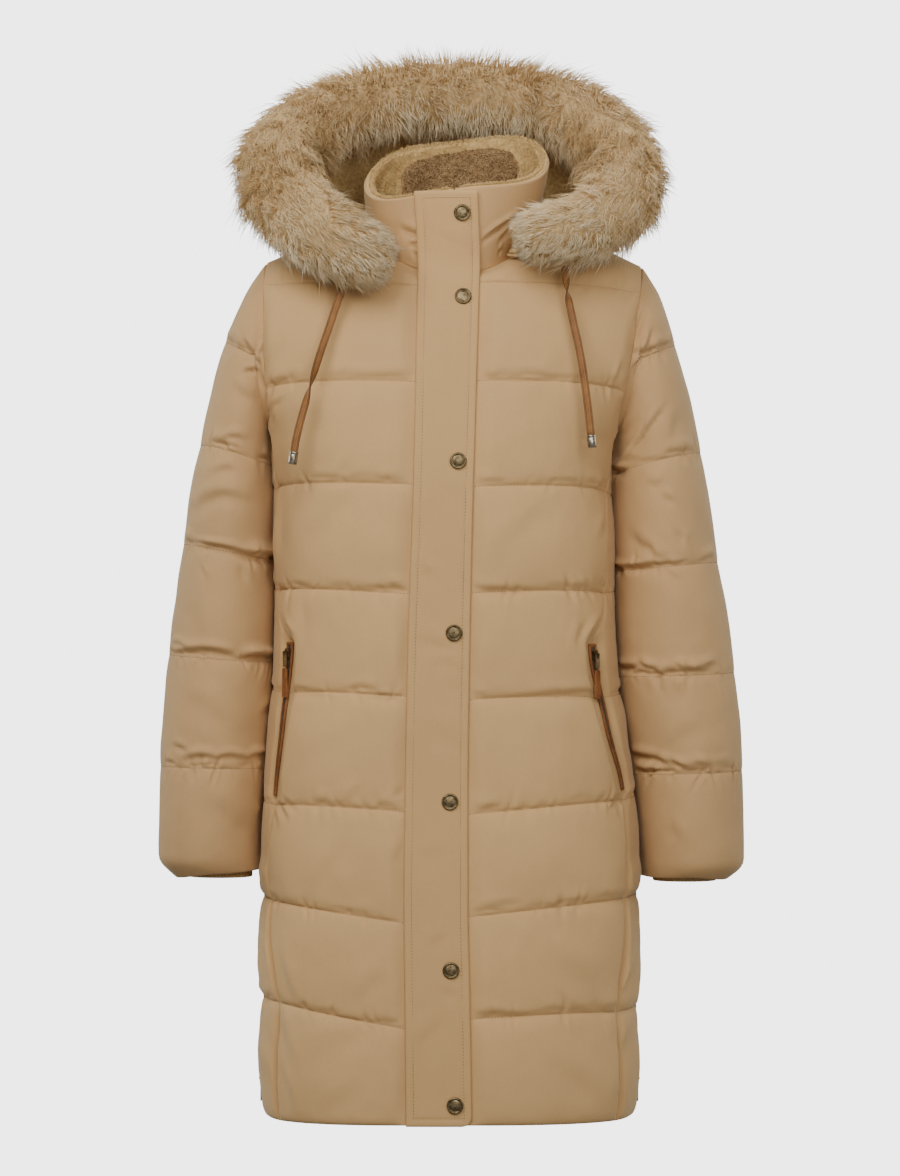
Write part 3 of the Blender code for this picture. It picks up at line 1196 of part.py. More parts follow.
def build_drawcord(side):
    """A flat strap swept along its route, turned about itself by the table's turn column."""
    rows = DRAWCORDS[side]
    place_on = np.linspace(0, len(rows) - 1, CORD_STATIONS)
    indexed = [(i, *row) for i, row in enumerate(rows)]
    named = [namedtuple("Row", "index x y z turn")(*row) for row in indexed]
    path = points_of(*(column(named, name, place_on) for name in "xyz"))
    turn = column(named, "turn", place_on)
    ahead = unit(np.gradient(path, axis=0))
    out = np.array([0.0, -1.0, 0.0]) + 0 * ahead
    wide = unit(np.cross(ahead, out))
    deep = np.cross(wide, ahead)
    half = CORD_WIDTH / 2
    rings = []
    for i in range(CORD_STATIONS):
        x_axis = wide[i] * math.cos(turn[i]) + deep[i] * math.sin(turn[i])
        y_axis = deep[i] * math.cos(turn[i]) - wide[i] * math.sin(turn[i])
        section = rounded_outline(half, half, CORD_THICK / 2, -CORD_THICK / 2, CORD_CORNER, 1)
        rings.append([path[i] + x_axis * a + y_axis * b for a, b in section])
    count = len(rings[0])
    corners = np.array(rings).reshape(-1, 3)
    faces = [tuple(range(count)), tuple(range((CORD_STATIONS - 1) * count, CORD_STATIONS * count))]
    for i in range(CORD_STATIONS - 1):
        for j in range(count):
            k = (j + 1) % count
            faces.append((i * count + j, i * count + k, (i + 1) * count + k, (i + 1) * count + j))
    add_mesh("drawcord_" + SIDES[side], corners, faces, "leather", 40)
    full, less = CORD_END_RADIUS, CORD_END_RADIUS * 0.9
    low, high = CORD_END_EDGE, CORD_END_LENGTH - CORD_END_EDGE
    profile = ((0, 0), (less, 0), (full, low), (full, high), (less, CORD_END_LENGTH), (0, CORD_END_LENGTH))
    mesh = turned_mesh("cord_end", profile, 14, "nickel")
    along = ahead[-1]
    matrix = frame_matrix(path[-1] + along * SEAM_GAP, wide[-1], np.cross(along, wide[-1]), along)
    place("cord_end_" + SIDES[side], mesh, matrix)


def main():
    for existing in list(bpy.data.objects):
        bpy.data.objects.remove(existing, do_unlink=True)
    for side in (RIGHT, LEFT):
        build_front(side)
        build_side(side)
        build_sleeve(side)
        build_cuff(side)
    build_back()
    build_collar()
    build_hood()
    build_fur()
    build_placket()
    build_snaps()
    for side in (RIGHT, LEFT):
        pocket, vent = "pocket_" + SIDES[side], "vent_" + SIDES[side]
        build_zip(pocket, side, False, POCKET_ENDS[side], POCKET_ZIP)
        add_pocket_pull(pocket, side)
        build_zip(vent, side, True, VENT_ENDS, VENT_ZIP)
        add_vent_pull(vent, side)
        build_drawcord(side)


main()
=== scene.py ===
"""Fur trimmed parka: the finished look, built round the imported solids.

Metres, +Z up, and the front faces -Y. The wearer's left is at +X.
"""

import math
from collections import namedtuple
from functools import partial

import bmesh
import bpy
import numpy as np
from mathutils import Matrix, Vector


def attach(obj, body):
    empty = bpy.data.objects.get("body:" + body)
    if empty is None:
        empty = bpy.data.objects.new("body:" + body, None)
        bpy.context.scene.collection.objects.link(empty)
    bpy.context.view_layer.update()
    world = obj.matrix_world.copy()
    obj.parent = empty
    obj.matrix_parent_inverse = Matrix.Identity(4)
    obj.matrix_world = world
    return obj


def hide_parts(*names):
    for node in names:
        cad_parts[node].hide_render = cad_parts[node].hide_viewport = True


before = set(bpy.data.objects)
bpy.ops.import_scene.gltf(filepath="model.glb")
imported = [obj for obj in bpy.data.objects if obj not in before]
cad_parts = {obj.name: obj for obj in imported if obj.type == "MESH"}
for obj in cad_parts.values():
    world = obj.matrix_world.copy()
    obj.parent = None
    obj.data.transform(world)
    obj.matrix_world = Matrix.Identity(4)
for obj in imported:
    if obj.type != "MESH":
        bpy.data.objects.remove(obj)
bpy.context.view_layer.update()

RIGHT, LEFT = -1, 1  # the wearer's sides, as the sign of X
FRONT, BACK = -1, 1  # as the sign of Y
SIDES = {RIGHT: "right", LEFT: "left"}
UP, FORWARD, BACKWARD = np.array([[0.0, 0.0, 1.0], [0.0, -1.0, 0.0], [0.0, 1.0, 0.0]])


def rows_of(columns, *rows):
    """A table's rows, with named columns."""
    row_type = namedtuple("Row", columns)
    return [row_type(*row) for row in rows]


# Cloth
CLOTH = 0.0025  # shell, pressed wadding and inner cloth together
BODY_PUFF = 0.0085  # how far the down lifts a body channel
SLEEVE_PUFF = 0.0065
YOKE_PUFF = 0.45  # share of the puff above the first quilt line
LINE_BOW = 0.003  # rise of a quilt line between its ends
ROUNDNESS = 2.5  # exponent of the body's cross-section
NORMAL_STEP = 0.004  # step in u and v over which a surface's slopes are taken
SWING_STEP = 0.02  # and the steps round the body and in height for a seam's
HEIGHT_STEP = 0.004

# Heights and reaches of the body. Widths are the inner face's, from the middle of the coat.
BODY = rows_of(
    "z right left centre front back",
    (-0.927, -0.1880, 0.1860, -0.0115, 0.137, 0.137),
    (-0.800, -0.1905, 0.1905, -0.0135, 0.137, 0.136),
    (-0.700, -0.1900, 0.1905, -0.0138, 0.134, 0.130),
    (-0.640, -0.1900, 0.1905, -0.0133, 0.131, 0.126),
    (-0.580, -0.1870, 0.1850, -0.0127, 0.129, 0.123),
    (-0.520, -0.1845, 0.1785, -0.0120, 0.128, 0.120),
    (-0.480, -0.1795, 0.1705, -0.0112, 0.127, 0.118),
    (-0.400, -0.1770, 0.1655, -0.0090, 0.127, 0.117),
    (-0.330, -0.1778, 0.1655, -0.0075, 0.129, 0.118),
    (-0.267, -0.1790, 0.1620, -0.0060, 0.131, 0.119),
    (-0.213, -0.1835, 0.1670, -0.0050, 0.129, 0.121),
    (-0.170, -0.1850, 0.1720, -0.0043, 0.124, 0.122),
    (-0.120, -0.1880, 0.1850, -0.0036, 0.115, 0.119),
    (-0.075, -0.1900, 0.1950, -0.0030, 0.104, 0.113),
    (-0.040, -0.1900, 0.1990, -0.0030, 0.096, 0.104),
    (0.000, -0.1900, 0.1990, -0.0030, 0.090, 0.094),
)

# Heights of the quilt lines at the placket and at the front side seam. The drop is how much
# lower a line meets the side seam.
QUILT_LINES = rows_of(
    "number right_inner right_outer left_inner left_outer drop",
    (1.00, -0.0670, -0.0660, -0.0640, -0.0745, 0.000),
    (2.00, -0.1670, -0.1695, -0.1660, -0.1730, 0.000),
    (2.35, -0.2038, -0.2057, -0.2038, -0.2095, 0.011),
    (3.00, -0.2720, -0.2730, -0.2740, -0.2774, 0.006),
    (4.00, -0.3840, -0.3800, -0.3830, -0.3830, -0.002),
    (5.00, -0.4890, -0.4870, -0.4920, -0.4920, -0.003),
    (6.00, -0.6065, -0.6030, -0.6095, -0.5980, -0.003),
    (7.00, -0.7200, -0.7015, -0.7140, -0.6995, -0.003),
    (8.00, -0.8280, -0.8060, -0.8180, -0.8160, -0.002),
    (9.00, -0.9270, -0.9290, -0.9270, -0.9290, 0.000),
)
HEM_LINE = 9
ARMPIT_LINE = 2.35  # where the side panel starts, as a place among the quilt lines

# Seam between front and side panel. The pocket zip lies along it.
FRONT_SEAM = rows_of(
    "z right left",
    (-0.927, -0.1736, 0.1694),
    (-0.810, -0.1736, 0.1694),
    (-0.700, -0.1810, 0.1775),
    (-0.600, -0.1780, 0.1765),
    (-0.520, -0.1700, 0.1590),
    (-0.437, -0.1620, 0.1440),
    (-0.411, -0.1700, 0.1520),
    (-0.382, -0.1740, 0.1560),
    (-0.306, -0.1745, 0.1560),
    (-0.277, -0.1755, 0.1580),
    (-0.213, -0.1780, 0.1620),
)
SEAM_BLEND = 0.030  # length over which the armhole's edge turns into the seam

# Armholes: shoulder point and lowest point
ARMHOLE_TOP = {RIGHT: (-0.1900, -0.0410), LEFT: (0.1990, -0.0450)}
ARMHOLE_LOW_X = {RIGHT: -0.1835, LEFT: 0.1670}
ARMHOLE_REACH = 0.070
SHOULDER_CURVE = 1.8  # how late the shoulder seam falls away on its way to the armhole
ARMHOLE_BOW = 0.004
ARMHOLE_FLARE = 0.35  # how far the seam's thickness leans outwards

# Neck seam and collar rim, rings whose angle is 0 at the centre front. A ring's height is its
# level at the sides, with a tilt, curl and bend along the front-back line and a sway to the left.
RingHeight = namedtuple("RingHeight", "level tilt curl bend sway")
NECK_RADIUS = (0.080, 0.088)
NECK_CENTRE = (0.002, -0.005)
NECK_HEIGHT = RingHeight(-0.012, -0.034, -0.010, 0.0, 0.0)
NECK_SHARE = 0.456  # the share of a yoke's upper edge that lies on the neck seam
COLLAR_LIFT = 0.0062
RIM_RADIUS = (0.095, 0.092)
RIM_CENTRE = (0.007, -0.006)
RIM_HEIGHT = RingHeight(0.0579, -0.0472, 0.0056, 0.0167, 0.0125)
COLLAR_BULGE = 0.002
COLLAR_FOOT = -0.055  # how far the shell reaches down into the neck seam, as a share of its height
LINING = 0.005
FACING_FROM, FACING_TO = math.radians(126), math.radians(222)

# Placket, the flap over the front opening
PLACKET = rows_of(
    "z right left",
    (-0.928, -0.0450, 0.0225),
    (-0.799, -0.0460, 0.0204),
    (-0.697, -0.0470, 0.0184),
    (-0.595, -0.0460, 0.0184),
    (-0.431, -0.0429, 0.0204),
    (-0.288, -0.0380, 0.0235),
    (-0.186, -0.0355, 0.0266),
    (-0.082, -0.0339, 0.0298),
    (-0.043, -0.0329, 0.0308),
    (0.031, -0.0365, 0.0284),
)
PLACKET_GAP = 0.0011
PLACKET_CLOTH = 0.0030
PLACKET_CORNER = 0.010
PLACKET_TOP = 0.031
BRIDGE_FROM, BRIDGE_OVER = -0.063, 0.036  # where it leaves the chest for the collar, and over what
PLACKET_EDGE, PLACKET_GROOVE = 0.0016, 0.0075  # its rounded edge, and the groove of its stitching
PLACKET_SEWN = 0.0078  # how far in from its edges it is stitched
PLACKET_STITCHES = (0.0034, 0.0015, 0.00044)  # pitch, length and radius

SNAPS = rows_of(
    "x z",
    (0.0123, 0.0081),
    (0.0134, -0.0792),
    (0.0082, -0.2482),
    (0.0041, -0.4240),
    (0.0000, -0.5966),
    (0.0010, -0.7683),
    (0.0051, -0.9060),
)
SNAP_RADIUS = 0.0086
SNAP_HEIGHT = 0.0026

# Sleeves: a row for each quilt line, from the armhole to the hem. Outer and inner are the ring's
# two ends in X and Z, front and back its reach in Y, and lean bends the ring down near the body.
SLEEVE_ROW = "number outer_x outer_z inner_x inner_z front back lean"
SLEEVES = {
    RIGHT: rows_of(
        SLEEVE_ROW,
        (0, -0.1905, -0.041, -0.1895, -0.2165, 0.070, 0.070, 1.0),
        (1, -0.2280, -0.123, -0.1915, -0.2270, 0.076, 0.076, 2.2),
        (2, -0.2545, -0.230, -0.1905, -0.2520, 0.076, 0.078, 1.5),
        (3, -0.2720, -0.333, -0.1895, -0.3490, 0.074, 0.076, 1.2),
        (4, -0.2880, -0.448, -0.1900, -0.4560, 0.070, 0.070, 1.0),
        (5, -0.2960, -0.564, -0.2000, -0.5660, 0.064, 0.062, 1.0),
        (5.86, -0.2985, -0.658, -0.2050, -0.6570, 0.057, 0.054, 1.0),
        (6, -0.2830, -0.677, -0.2035, -0.6730, 0.046, 0.046, 1.0),
    ),
    LEFT: rows_of(
        SLEEVE_ROW,
        (0, 0.1995, -0.045, 0.1730, -0.2195, 0.070, 0.070, 1.0),
        (1, 0.2295, -0.126, 0.1755, -0.2305, 0.076, 0.076, 2.2),
        (2, 0.2555, -0.238, 0.1745, -0.2600, 0.076, 0.078, 1.5),
        (3, 0.2735, -0.352, 0.1775, -0.3600, 0.074, 0.076, 1.2),
        (4, 0.2905, -0.467, 0.1825, -0.4700, 0.070, 0.070, 1.0),
        (5, 0.2985, -0.569, 0.1985, -0.5720, 0.064, 0.062, 1.0),
        (5.86, 0.3005, -0.662, 0.2070, -0.6650, 0.057, 0.054, 1.0),
        (6, 0.2860, -0.678, 0.2075, -0.6795, 0.046, 0.046, 1.0),
    ),
}
SLEEVE_LINES = 6
SLEEVE_TURN = 5.86  # where the last channel starts to draw in to the hem
SLEEVE_SET_BACK = 0.020  # the sleeve's inner side lies behind the body's widest line

# Rib-knit cuffs inside the sleeve hems
CUFF_CENTRE = {RIGHT: (-0.2413, 0.013), LEFT: (0.2468, 0.013)}
CUFF_END_Z = {RIGHT: -0.6815, LEFT: -0.6855}
CUFF_RADIUS = 0.0325
CUFF_WALL = 0.0022
CUFF_RIB = 0.0010
CUFF_START = 0.5  # where it leaves the sleeve, between the last quilt line and the hem's turn

# Faux-fur trim: the middle of the roll, from the wearer's right front round the hood's edge
FUR = rows_of(
    "station x y z radius",
    (-0.45, -0.058, -0.140, -0.047, 0.014),
    (0, -0.080, -0.140, -0.040, 0.031),
    (1, -0.123, -0.130, -0.019, 0.042),
    (2, -0.168, -0.070, 0.020, 0.046),
    (3, -0.180, -0.020, 0.062, 0.049),
    (4, -0.150, 0.050, 0.107, 0.046),
    (5, -0.093, 0.100, 0.138, 0.043),
    (6, 0.000, 0.130, 0.152, 0.043),
    (7, 0.094, 0.110, 0.141, 0.043),
    (8, 0.152, 0.060, 0.109, 0.046),
    (9, 0.181, 0.000, 0.062, 0.049),
    (10, 0.175, -0.060, 0.024, 0.045),
    (11, 0.137, -0.122, -0.008, 0.038),
    (12, 0.087, -0.145, -0.018, 0.028),
    (12.45, 0.064, -0.146, -0.022, 0.012),
)

# Hood: sections from the neck seam down into the pouch and up to the fur, as distances from the
# neck's axis and heights. Stations are the fur's. The wearer's left side mirrors the right, and
# the last row keeps the middle round.
HOOD = rows_of(
    "station r1 z1 r2 z2 r3 z3 r4 z4",
    (0, 0.095, -0.042, 0.103, -0.043, 0.111, -0.044, 0.118, -0.045),
    (1, 0.096, -0.022, 0.106, -0.023, 0.116, -0.025, 0.125, -0.029),
    (2, 0.099, -0.004, 0.116, -0.010, 0.130, -0.016, 0.139, -0.021),
    (3, 0.101, 0.004, 0.125, -0.004, 0.152, -0.012, 0.190, -0.010),
    (4, 0.106, 0.016, 0.150, -0.003, 0.198, 0.008, 0.214, 0.066),
    (5, 0.118, 0.016, 0.176, -0.060, 0.203, 0.000, 0.190, 0.108),
    (6, 0.120, 0.014, 0.168, -0.100, 0.202, -0.014, 0.181, 0.125),
    (7, 0.118, 0.016, 0.176, -0.060, 0.203, 0.000, 0.190, 0.108),
)
HOOD_ENDS = (0.4, 11.6)  # where the hood starts and ends, among the fur's stations
HOOD_LINING = 0.0035
HOOD_CLEAR, HOOD_FOOT = 0.0075, 0.0125  # how far out of and above the neck seam it starts
FUR_STATIONS = 12  # of the whole roll, from one front end to the other

# Pocket and vent zips, by the heights of their ends
POCKET_ENDS = {RIGHT: (-0.434, -0.594), LEFT: (-0.436, -0.588)}
VENT_ENDS = (-0.676, -0.922)
SLEEVE_SHADOW = 0.2  # share of the back's half width over which a sleeve presses it flat
POCKET_FLAT = 0.09  # share of the front panel beside a pocket that stays unpuffed
SIDE_POCKET_FLAT = 0.16  # the same on the side panel
VENT_FLAT = 0.06  # and beside a vent, on the side panel
BACK_VENT_FLAT = 0.02
POCKET_ABOVE, POCKET_BELOW = 0.012, 0.008  # how far beyond its ends the panels start to flatten
POCKET_BLEND = 0.010  # height over which they do
VENT_BLEND = 0.02  # height over which the panels flatten above a vent
# Shares of a panel's width over which its puff rises from an edge
VENT_FADE = 0.14
BACK_FADE = 0.05
ARMPIT_FADE = 0.4  # the same down from the armpit, in quilt lines
UNDER_SLEEVE_SHARE = 0.6  # share of the puff left on the side panel under the sleeve
ZipSize = namedtuple("ZipSize", "top_half low_half top_slot low_slot welt")
POCKET_ZIP = ZipSize(0.0062, 0.0026, 0.0034, 0.0011, 0.0022)
VENT_ZIP = ZipSize(0.0052, 0.0052, 0.0028, 0.0028, 0.0016)
ZIP_TAPE = 0.0012
WELT_LIFT = 0.0009  # how far a welt lies off the cloth
ZIP_CLEAR = 0.0004

# Hood drawcords: flat leather straps with a half turn in them, and a metal end each. X, Y, Z and
# turn of points along them.
DRAWCORDS = {
    RIGHT: (
        (-0.1085, -0.1230, -0.0665, 0.10),
        (-0.1150, -0.1250, -0.0850, 0.12),
        (-0.1225, -0.1285, -0.1080, 0.15),
        (-0.1300, -0.1315, -0.1300, 0.25),
        (-0.1370, -0.1335, -0.1520, 0.50),
        (-0.1430, -0.1340, -0.1720, 1.60),
        (-0.1480, -0.1340, -0.1900, 2.80),
        (-0.1530, -0.1340, -0.2080, 3.05),
        (-0.1575, -0.1335, -0.2270, 3.14),
        (-0.1592, -0.1330, -0.2380, 3.14),
    ),
    LEFT: (
        (0.1175, -0.1240, -0.0480, 0.00),
        (0.1185, -0.1240, -0.0600, -0.30),
        (0.1200, -0.1245, -0.0740, -1.60),
        (0.1225, -0.1265, -0.0880, -2.90),
        (0.1265, -0.1295, -0.1080, -3.10),
        (0.1310, -0.1325, -0.1280, -3.14),
        (0.1350, -0.1340, -0.1500, -3.14),
        (0.1385, -0.1345, -0.1740, -3.14),
        (0.1415, -0.1345, -0.1980, -3.14),
        (0.1440, -0.1340, -0.2210, -3.14),
    ),
}
CORD_WIDTH = 0.0080
CORD_THICK = 0.0020
CORD_END_RADIUS = 0.0046
CORD_END_LENGTH = 0.0135
PLACKET_COLUMN = 0.15  # u at which a front panel passes the placket's edge


# Finer form
FINE_GAP = 0.0002  # each edge's share of the space at a seam
ARMHOLE_PUFF = 0.0040  # puff left at the armhole seam
SEWN_IN = 0.3  # quilt channels over which a sleeve's own line runs onto the armhole
SIDE_SEAM_PUFF = 0.25  # share of the puff left at the side seam under the sleeve
INNER_PUFF = 0.85  # the same on the sleeve's inner side, which rests on the body
SLEEVE_ROWS = 40
SHOULDER_RISE = 0.33  # turn round the armhole, from the shoulder point, over which its puff rises
SEAM_DIP = 0.2  # share of the puff left on the very edge at the armhole
# The first quilt line of each sleeve starts here on the outer side and falls to the armhole.
CAP_LINE = {RIGHT: (-0.2280, -0.123), LEFT: (0.2295, -0.126)}
CAP_FALL = {RIGHT: 0.62, LEFT: 0.46}
CAP_START = 0.05  # least place v of that line, where it has run into the armhole
CAP_SMOOTHING = 10
CHANNEL_ROWS = 26
ROW_CROWDING = 0.66  # how much closer the rows lie beside a quilt line
SLEEVE_CROWDING = 0.5  # the same on the sleeves
STITCH_PITCH = 0.0034
STITCH_LENGTH = 0.0018
STITCH_RADIUS = 0.00040


# ---------------------------------------------------------------- the coat's surfaces


def column(table, name, at):
    """A named column of a table, read on a smooth curve through its rows without overshoot."""
    rows = sorted(table)
    keys = np.array([row[0] for row in rows])
    values = np.array([getattr(row, name) for row in rows])
    rises = np.diff(values) / np.diff(keys)
    before, after = rises[:-1], rises[1:]
    same_way = before * after > 0
    between = 2 * before * after / np.where(same_way, before + after, 1)
    slopes = np.concatenate([rises[:1], np.where(same_way, between, 0), rises[-1:]])
    at = np.clip(np.asarray(at, float), keys[0], keys[-1])
    i = np.clip(np.searchsorted(keys, at, side="right") - 1, 0, len(keys) - 2)
    width = keys[i + 1] - keys[i]
    t = (at - keys[i]) / width
    start = values[i] * (1 + 2 * t) + slopes[i] * width * t
    end = values[i + 1] * (3 - 2 * t) - slopes[i + 1] * width * (1 - t)
    return start * (1 - t) ** 2 + end * t**2


def mix(a, b, share):
    return a + (b - a) * share


def smooth_step(t):
    t = np.clip(t, 0, 1)
    return t * t * (3 - 2 * t)


def points_of(x, y, z):
    return np.stack(np.broadcast_arrays(x, y, z), axis=-1).astype(float)


def unit(v):
    return v / np.maximum(np.linalg.norm(v, axis=-1, keepdims=True), 1e-12)


def hermite(start, go, end, arrive, t):
    """Points on the curve that leaves start along go and reaches end along arrive."""
    t = np.asarray(t)[..., None]
    from_start = start * (1 + 2 * t) + go * t
    from_end = end * (3 - 2 * t) - arrive * (1 - t)
    return from_start * (1 - t) ** 2 + from_end * t**2


def quilt_height(side, number, share):
    """Height of a quilt line, share of the way from the placket to the front side seam."""
    name = SIDES[side]
    numbers = [row.number for row in QUILT_LINES]
    inner = np.interp(number, numbers, [getattr(row, name + "_inner") for row in QUILT_LINES])
    outer = np.interp(number, numbers, [getattr(row, name + "_outer") for row in QUILT_LINES])
    share = np.clip(share, 0, 1)
    bow = LINE_BOW * 4 * share * (1 - share) * np.clip(HEM_LINE - number, 0, 1)
    return mix(inner, outer, share) + bow


def side_drop(number):
    numbers = [row.number for row in QUILT_LINES]
    return np.interp(number, numbers, [row.drop for row in QUILT_LINES])


def armhole_heights(side):
    """Middle height and half height of the armhole."""
    low = quilt_height(side, ARMPIT_LINE, 1.0) - side_drop(ARMPIT_LINE)
    top = ARMHOLE_TOP[side][1]
    return (top + low) / 2, (top - low) / 2


def armhole_point(side, face, angle):
    """A point of the armhole seam, by its angle from the shoulder point."""
    middle, half = armhole_heights(side)
    down = (1 - np.cos(angle)) / 2
    bow = side * ARMHOLE_BOW * 4 * down * (1 - down)
    x = mix(ARMHOLE_TOP[side][0], ARMHOLE_LOW_X[side], down) + bow
    return points_of(x, face * ARMHOLE_REACH * np.sin(angle), middle + half * np.cos(angle))


def armhole_out(side, angle_front):
    """Direction in which both panels at the armhole seam are thick. Angles past pi lie behind."""
    return unit(points_of(side * ARMHOLE_FLARE, -np.sin(angle_front), np.cos(angle_front)))


def armhole_angle(side, z):
    middle, half = armhole_heights(side)
    return np.arccos(np.clip((z - middle) / half, -1, 1))


def body_depth(face, z):
    return column(BODY, "front" if face == FRONT else "back", z)


def armhole_ratio(side, face, z):
    return ARMHOLE_REACH * np.sin(armhole_angle(side, z)) / body_depth(face, z)


def body_half(side, face, z):
    """Half width at height z. Beside the armhole it is wide enough to pass through the armhole."""
    middle, half = armhole_heights(side)
    centre = column(BODY, "centre", z)
    below = np.abs(column(BODY, SIDES[side], z) - centre)
    hole_x = armhole_point(side, face, armhole_angle(side, z))[..., 0]
    ratio = armhole_ratio(side, face, z)
    beside = np.abs(hole_x - centre) / (1 - ratio**ROUNDNESS) ** (1 / ROUNDNESS)
    return np.where(z > middle - half, beside, below)


def body_point(side, face, swing, z):
    """Inner face of the body: swing 0 is the centre line and 1 the side seam."""
    angle = np.clip(swing, 0, 1) * math.pi / 2
    out = side * body_half(side, face, z) * np.sin(angle) ** (2 / ROUNDNESS)
    y = face * body_depth(face, z) * np.clip(np.cos(angle), 0, 1) ** (2 / ROUNDNESS)
    return points_of(column(BODY, "centre", z) + out, y, z)


def swing_at(side, x, z):
    """The swing at which the front of the body passes x."""
    ratio = np.abs(x - column(BODY, "centre", z)) / body_half(side, FRONT, z)
    return np.arcsin(np.clip(ratio, 0, 1) ** (ROUNDNESS / 2)) * 2 / math.pi


def armhole_swing(side, face, z):
    return np.arccos(np.clip(armhole_ratio(side, face, z), 0, 1) ** (ROUNDNESS / 2)) * 2 / math.pi


def front_edge_swing(side, z):
    """Swing of the front panel's outer edge: the armhole, and below it the front side seam."""
    turn_z = quilt_height(side, ARMPIT_LINE, 1.0)
    beside_hole = armhole_swing(side, FRONT, np.maximum(z, turn_z))
    on_seam = swing_at(side, column(FRONT_SEAM, SIDES[side], z), z)
    return mix(beside_hole, on_seam, smooth_step((turn_z - z) / SEAM_BLEND))


def ring_point(radius, centre, height, angle):
    """A ring round the neck: angle 0 is the centre front and positive angles lie at +X."""
    turn = np.cos(angle)
    z = height.level + height.tilt * turn + height.curl * turn**2 + height.bend * turn**3
    z = z + height.sway * np.sin(angle)
    return points_of(centre[0] + radius[0] * np.sin(angle), centre[1] - radius[1] * turn, z)


def neck_point(angle):
    return ring_point(NECK_RADIUS, NECK_CENTRE, NECK_HEIGHT, angle)


def yoke_rise(side, face, share, rise, line_point):
    """A smooth rise from the first quilt line to the neck and shoulder seams."""
    start = line_point(share, 1.0)
    before = line_point(share, 1.06)
    to_side = np.clip(share / NECK_SHARE, 0, 1)
    angle = side * (math.pi / 2 * to_side if face == FRONT else math.pi * (1 - to_side / 2))
    shoulder = np.clip((share - NECK_SHARE) / (1 - NECK_SHARE), 0, None)[..., None]
    neck_side = neck_point(side * math.pi / 2)
    shoulder = np.concatenate([shoulder, shoulder, shoulder**SHOULDER_CURVE], axis=-1)
    end = neck_point(angle) + (armhole_point(side, face, 0.0) - neck_side) * shoulder
    to_neck = points_of(-np.sin(angle), -face * np.abs(np.cos(angle)), 0.9 * np.cos(angle) ** 2)
    over = np.array([0.0, -face * 1.0, 0.2])
    arrive = unit(mix(unit(to_neck), over, (to_side**3)[..., None]))
    reach = np.linalg.norm(end - start, axis=-1, keepdims=True)
    return hermite(start, unit(start - before) * reach, end, arrive * reach, rise)


def yoke_point(side, face, share, rise, line_point):
    """The yoke, with its outer edge brought exactly onto the armhole."""
    share, rise = np.broadcast_arrays(np.asarray(share, float), np.asarray(rise, float))
    free = yoke_rise(side, face, share, rise, line_point)
    edge = yoke_rise(side, face, np.ones_like(share), rise, line_point)
    line_z = line_point(np.ones_like(share), 1.0)[..., 2]
    true_edge = armhole_point(side, face, armhole_angle(side, line_z) * (1 - rise))
    return free + (true_edge - edge) * (share**3)[..., None]


def front_share(u):
    """Share of the way from the placket's edge to the seam; negative below the placket."""
    return (u - PLACKET_COLUMN) / (1 - PLACKET_COLUMN)


def front_line_point(side, u, v):
    z = quilt_height(side, v, front_share(u))
    edge = front_edge_swing(side, z)
    placket = swing_at(side, column(PLACKET, SIDES[side], z), z)
    below = placket * u / PLACKET_COLUMN
    beyond = mix(placket, edge, front_share(u))
    return body_point(side, FRONT, np.where(u < PLACKET_COLUMN, below, beyond), z)


def front_point(side, u, v):
    u, v = np.broadcast_arrays(np.asarray(u, float), np.asarray(v, float))
    lower = front_line_point(side, u, np.maximum(v, 1))
    upper = yoke_point(side, FRONT, u, 1 - np.minimum(v, 1), partial(front_line_point, side))
    return np.where((v < 1)[..., None], upper, lower)


def side_point(side, u, v):
    """u runs from the front side seam to the side seam, and the upper edge follows the armhole."""
    u, v = np.broadcast_arrays(np.asarray(u, float), np.asarray(v, float))
    start = armhole_angle(side, quilt_height(side, ARMPIT_LINE, 1.0))
    hole_z = armhole_point(side, FRONT, mix(start, math.pi, u))[..., 2]
    plain_z = quilt_height(side, v, 1.0) - side_drop(v) * u
    first_z = quilt_height(side, ARMPIT_LINE, 1.0) - side_drop(ARMPIT_LINE) * u
    near = np.clip((3 - v) / (3 - ARMPIT_LINE), 0, 1)
    z = plain_z + (hole_z - first_z) * near
    plain = mix(front_edge_swing(side, z), 1.0, u)
    return body_point(side, FRONT, mix(plain, armhole_swing(side, FRONT, z), near), z)


def back_line_point(side, u, v):
    heights = [quilt_height(s, v, 1.0) - side_drop(v) for s in (RIGHT, LEFT)]
    z = mix(heights[0], heights[1], (1 + side * u) / 2)
    middle, half = armhole_heights(side)
    edge = np.where(z > middle - half, armhole_swing(side, BACK, z), 1.0)
    return body_point(side, BACK, u * edge, z)


def back_point(u, v):
    """u runs from the wearer's right, -1, to the left, 1."""
    u, v = np.broadcast_arrays(np.asarray(u, float), np.asarray(v, float))
    found = np.zeros(u.shape + (3,))
    for side in (RIGHT, LEFT):
        here = u * side >= 0
        share, line = np.abs(u[here]), v[here]
        lower = back_line_point(side, share, np.maximum(line, 1))
        upper = yoke_point(side, BACK, share, 1 - np.minimum(line, 1), partial(back_line_point, side))
        found[here] = np.where((line < 1)[:, None], upper, lower)
    return found


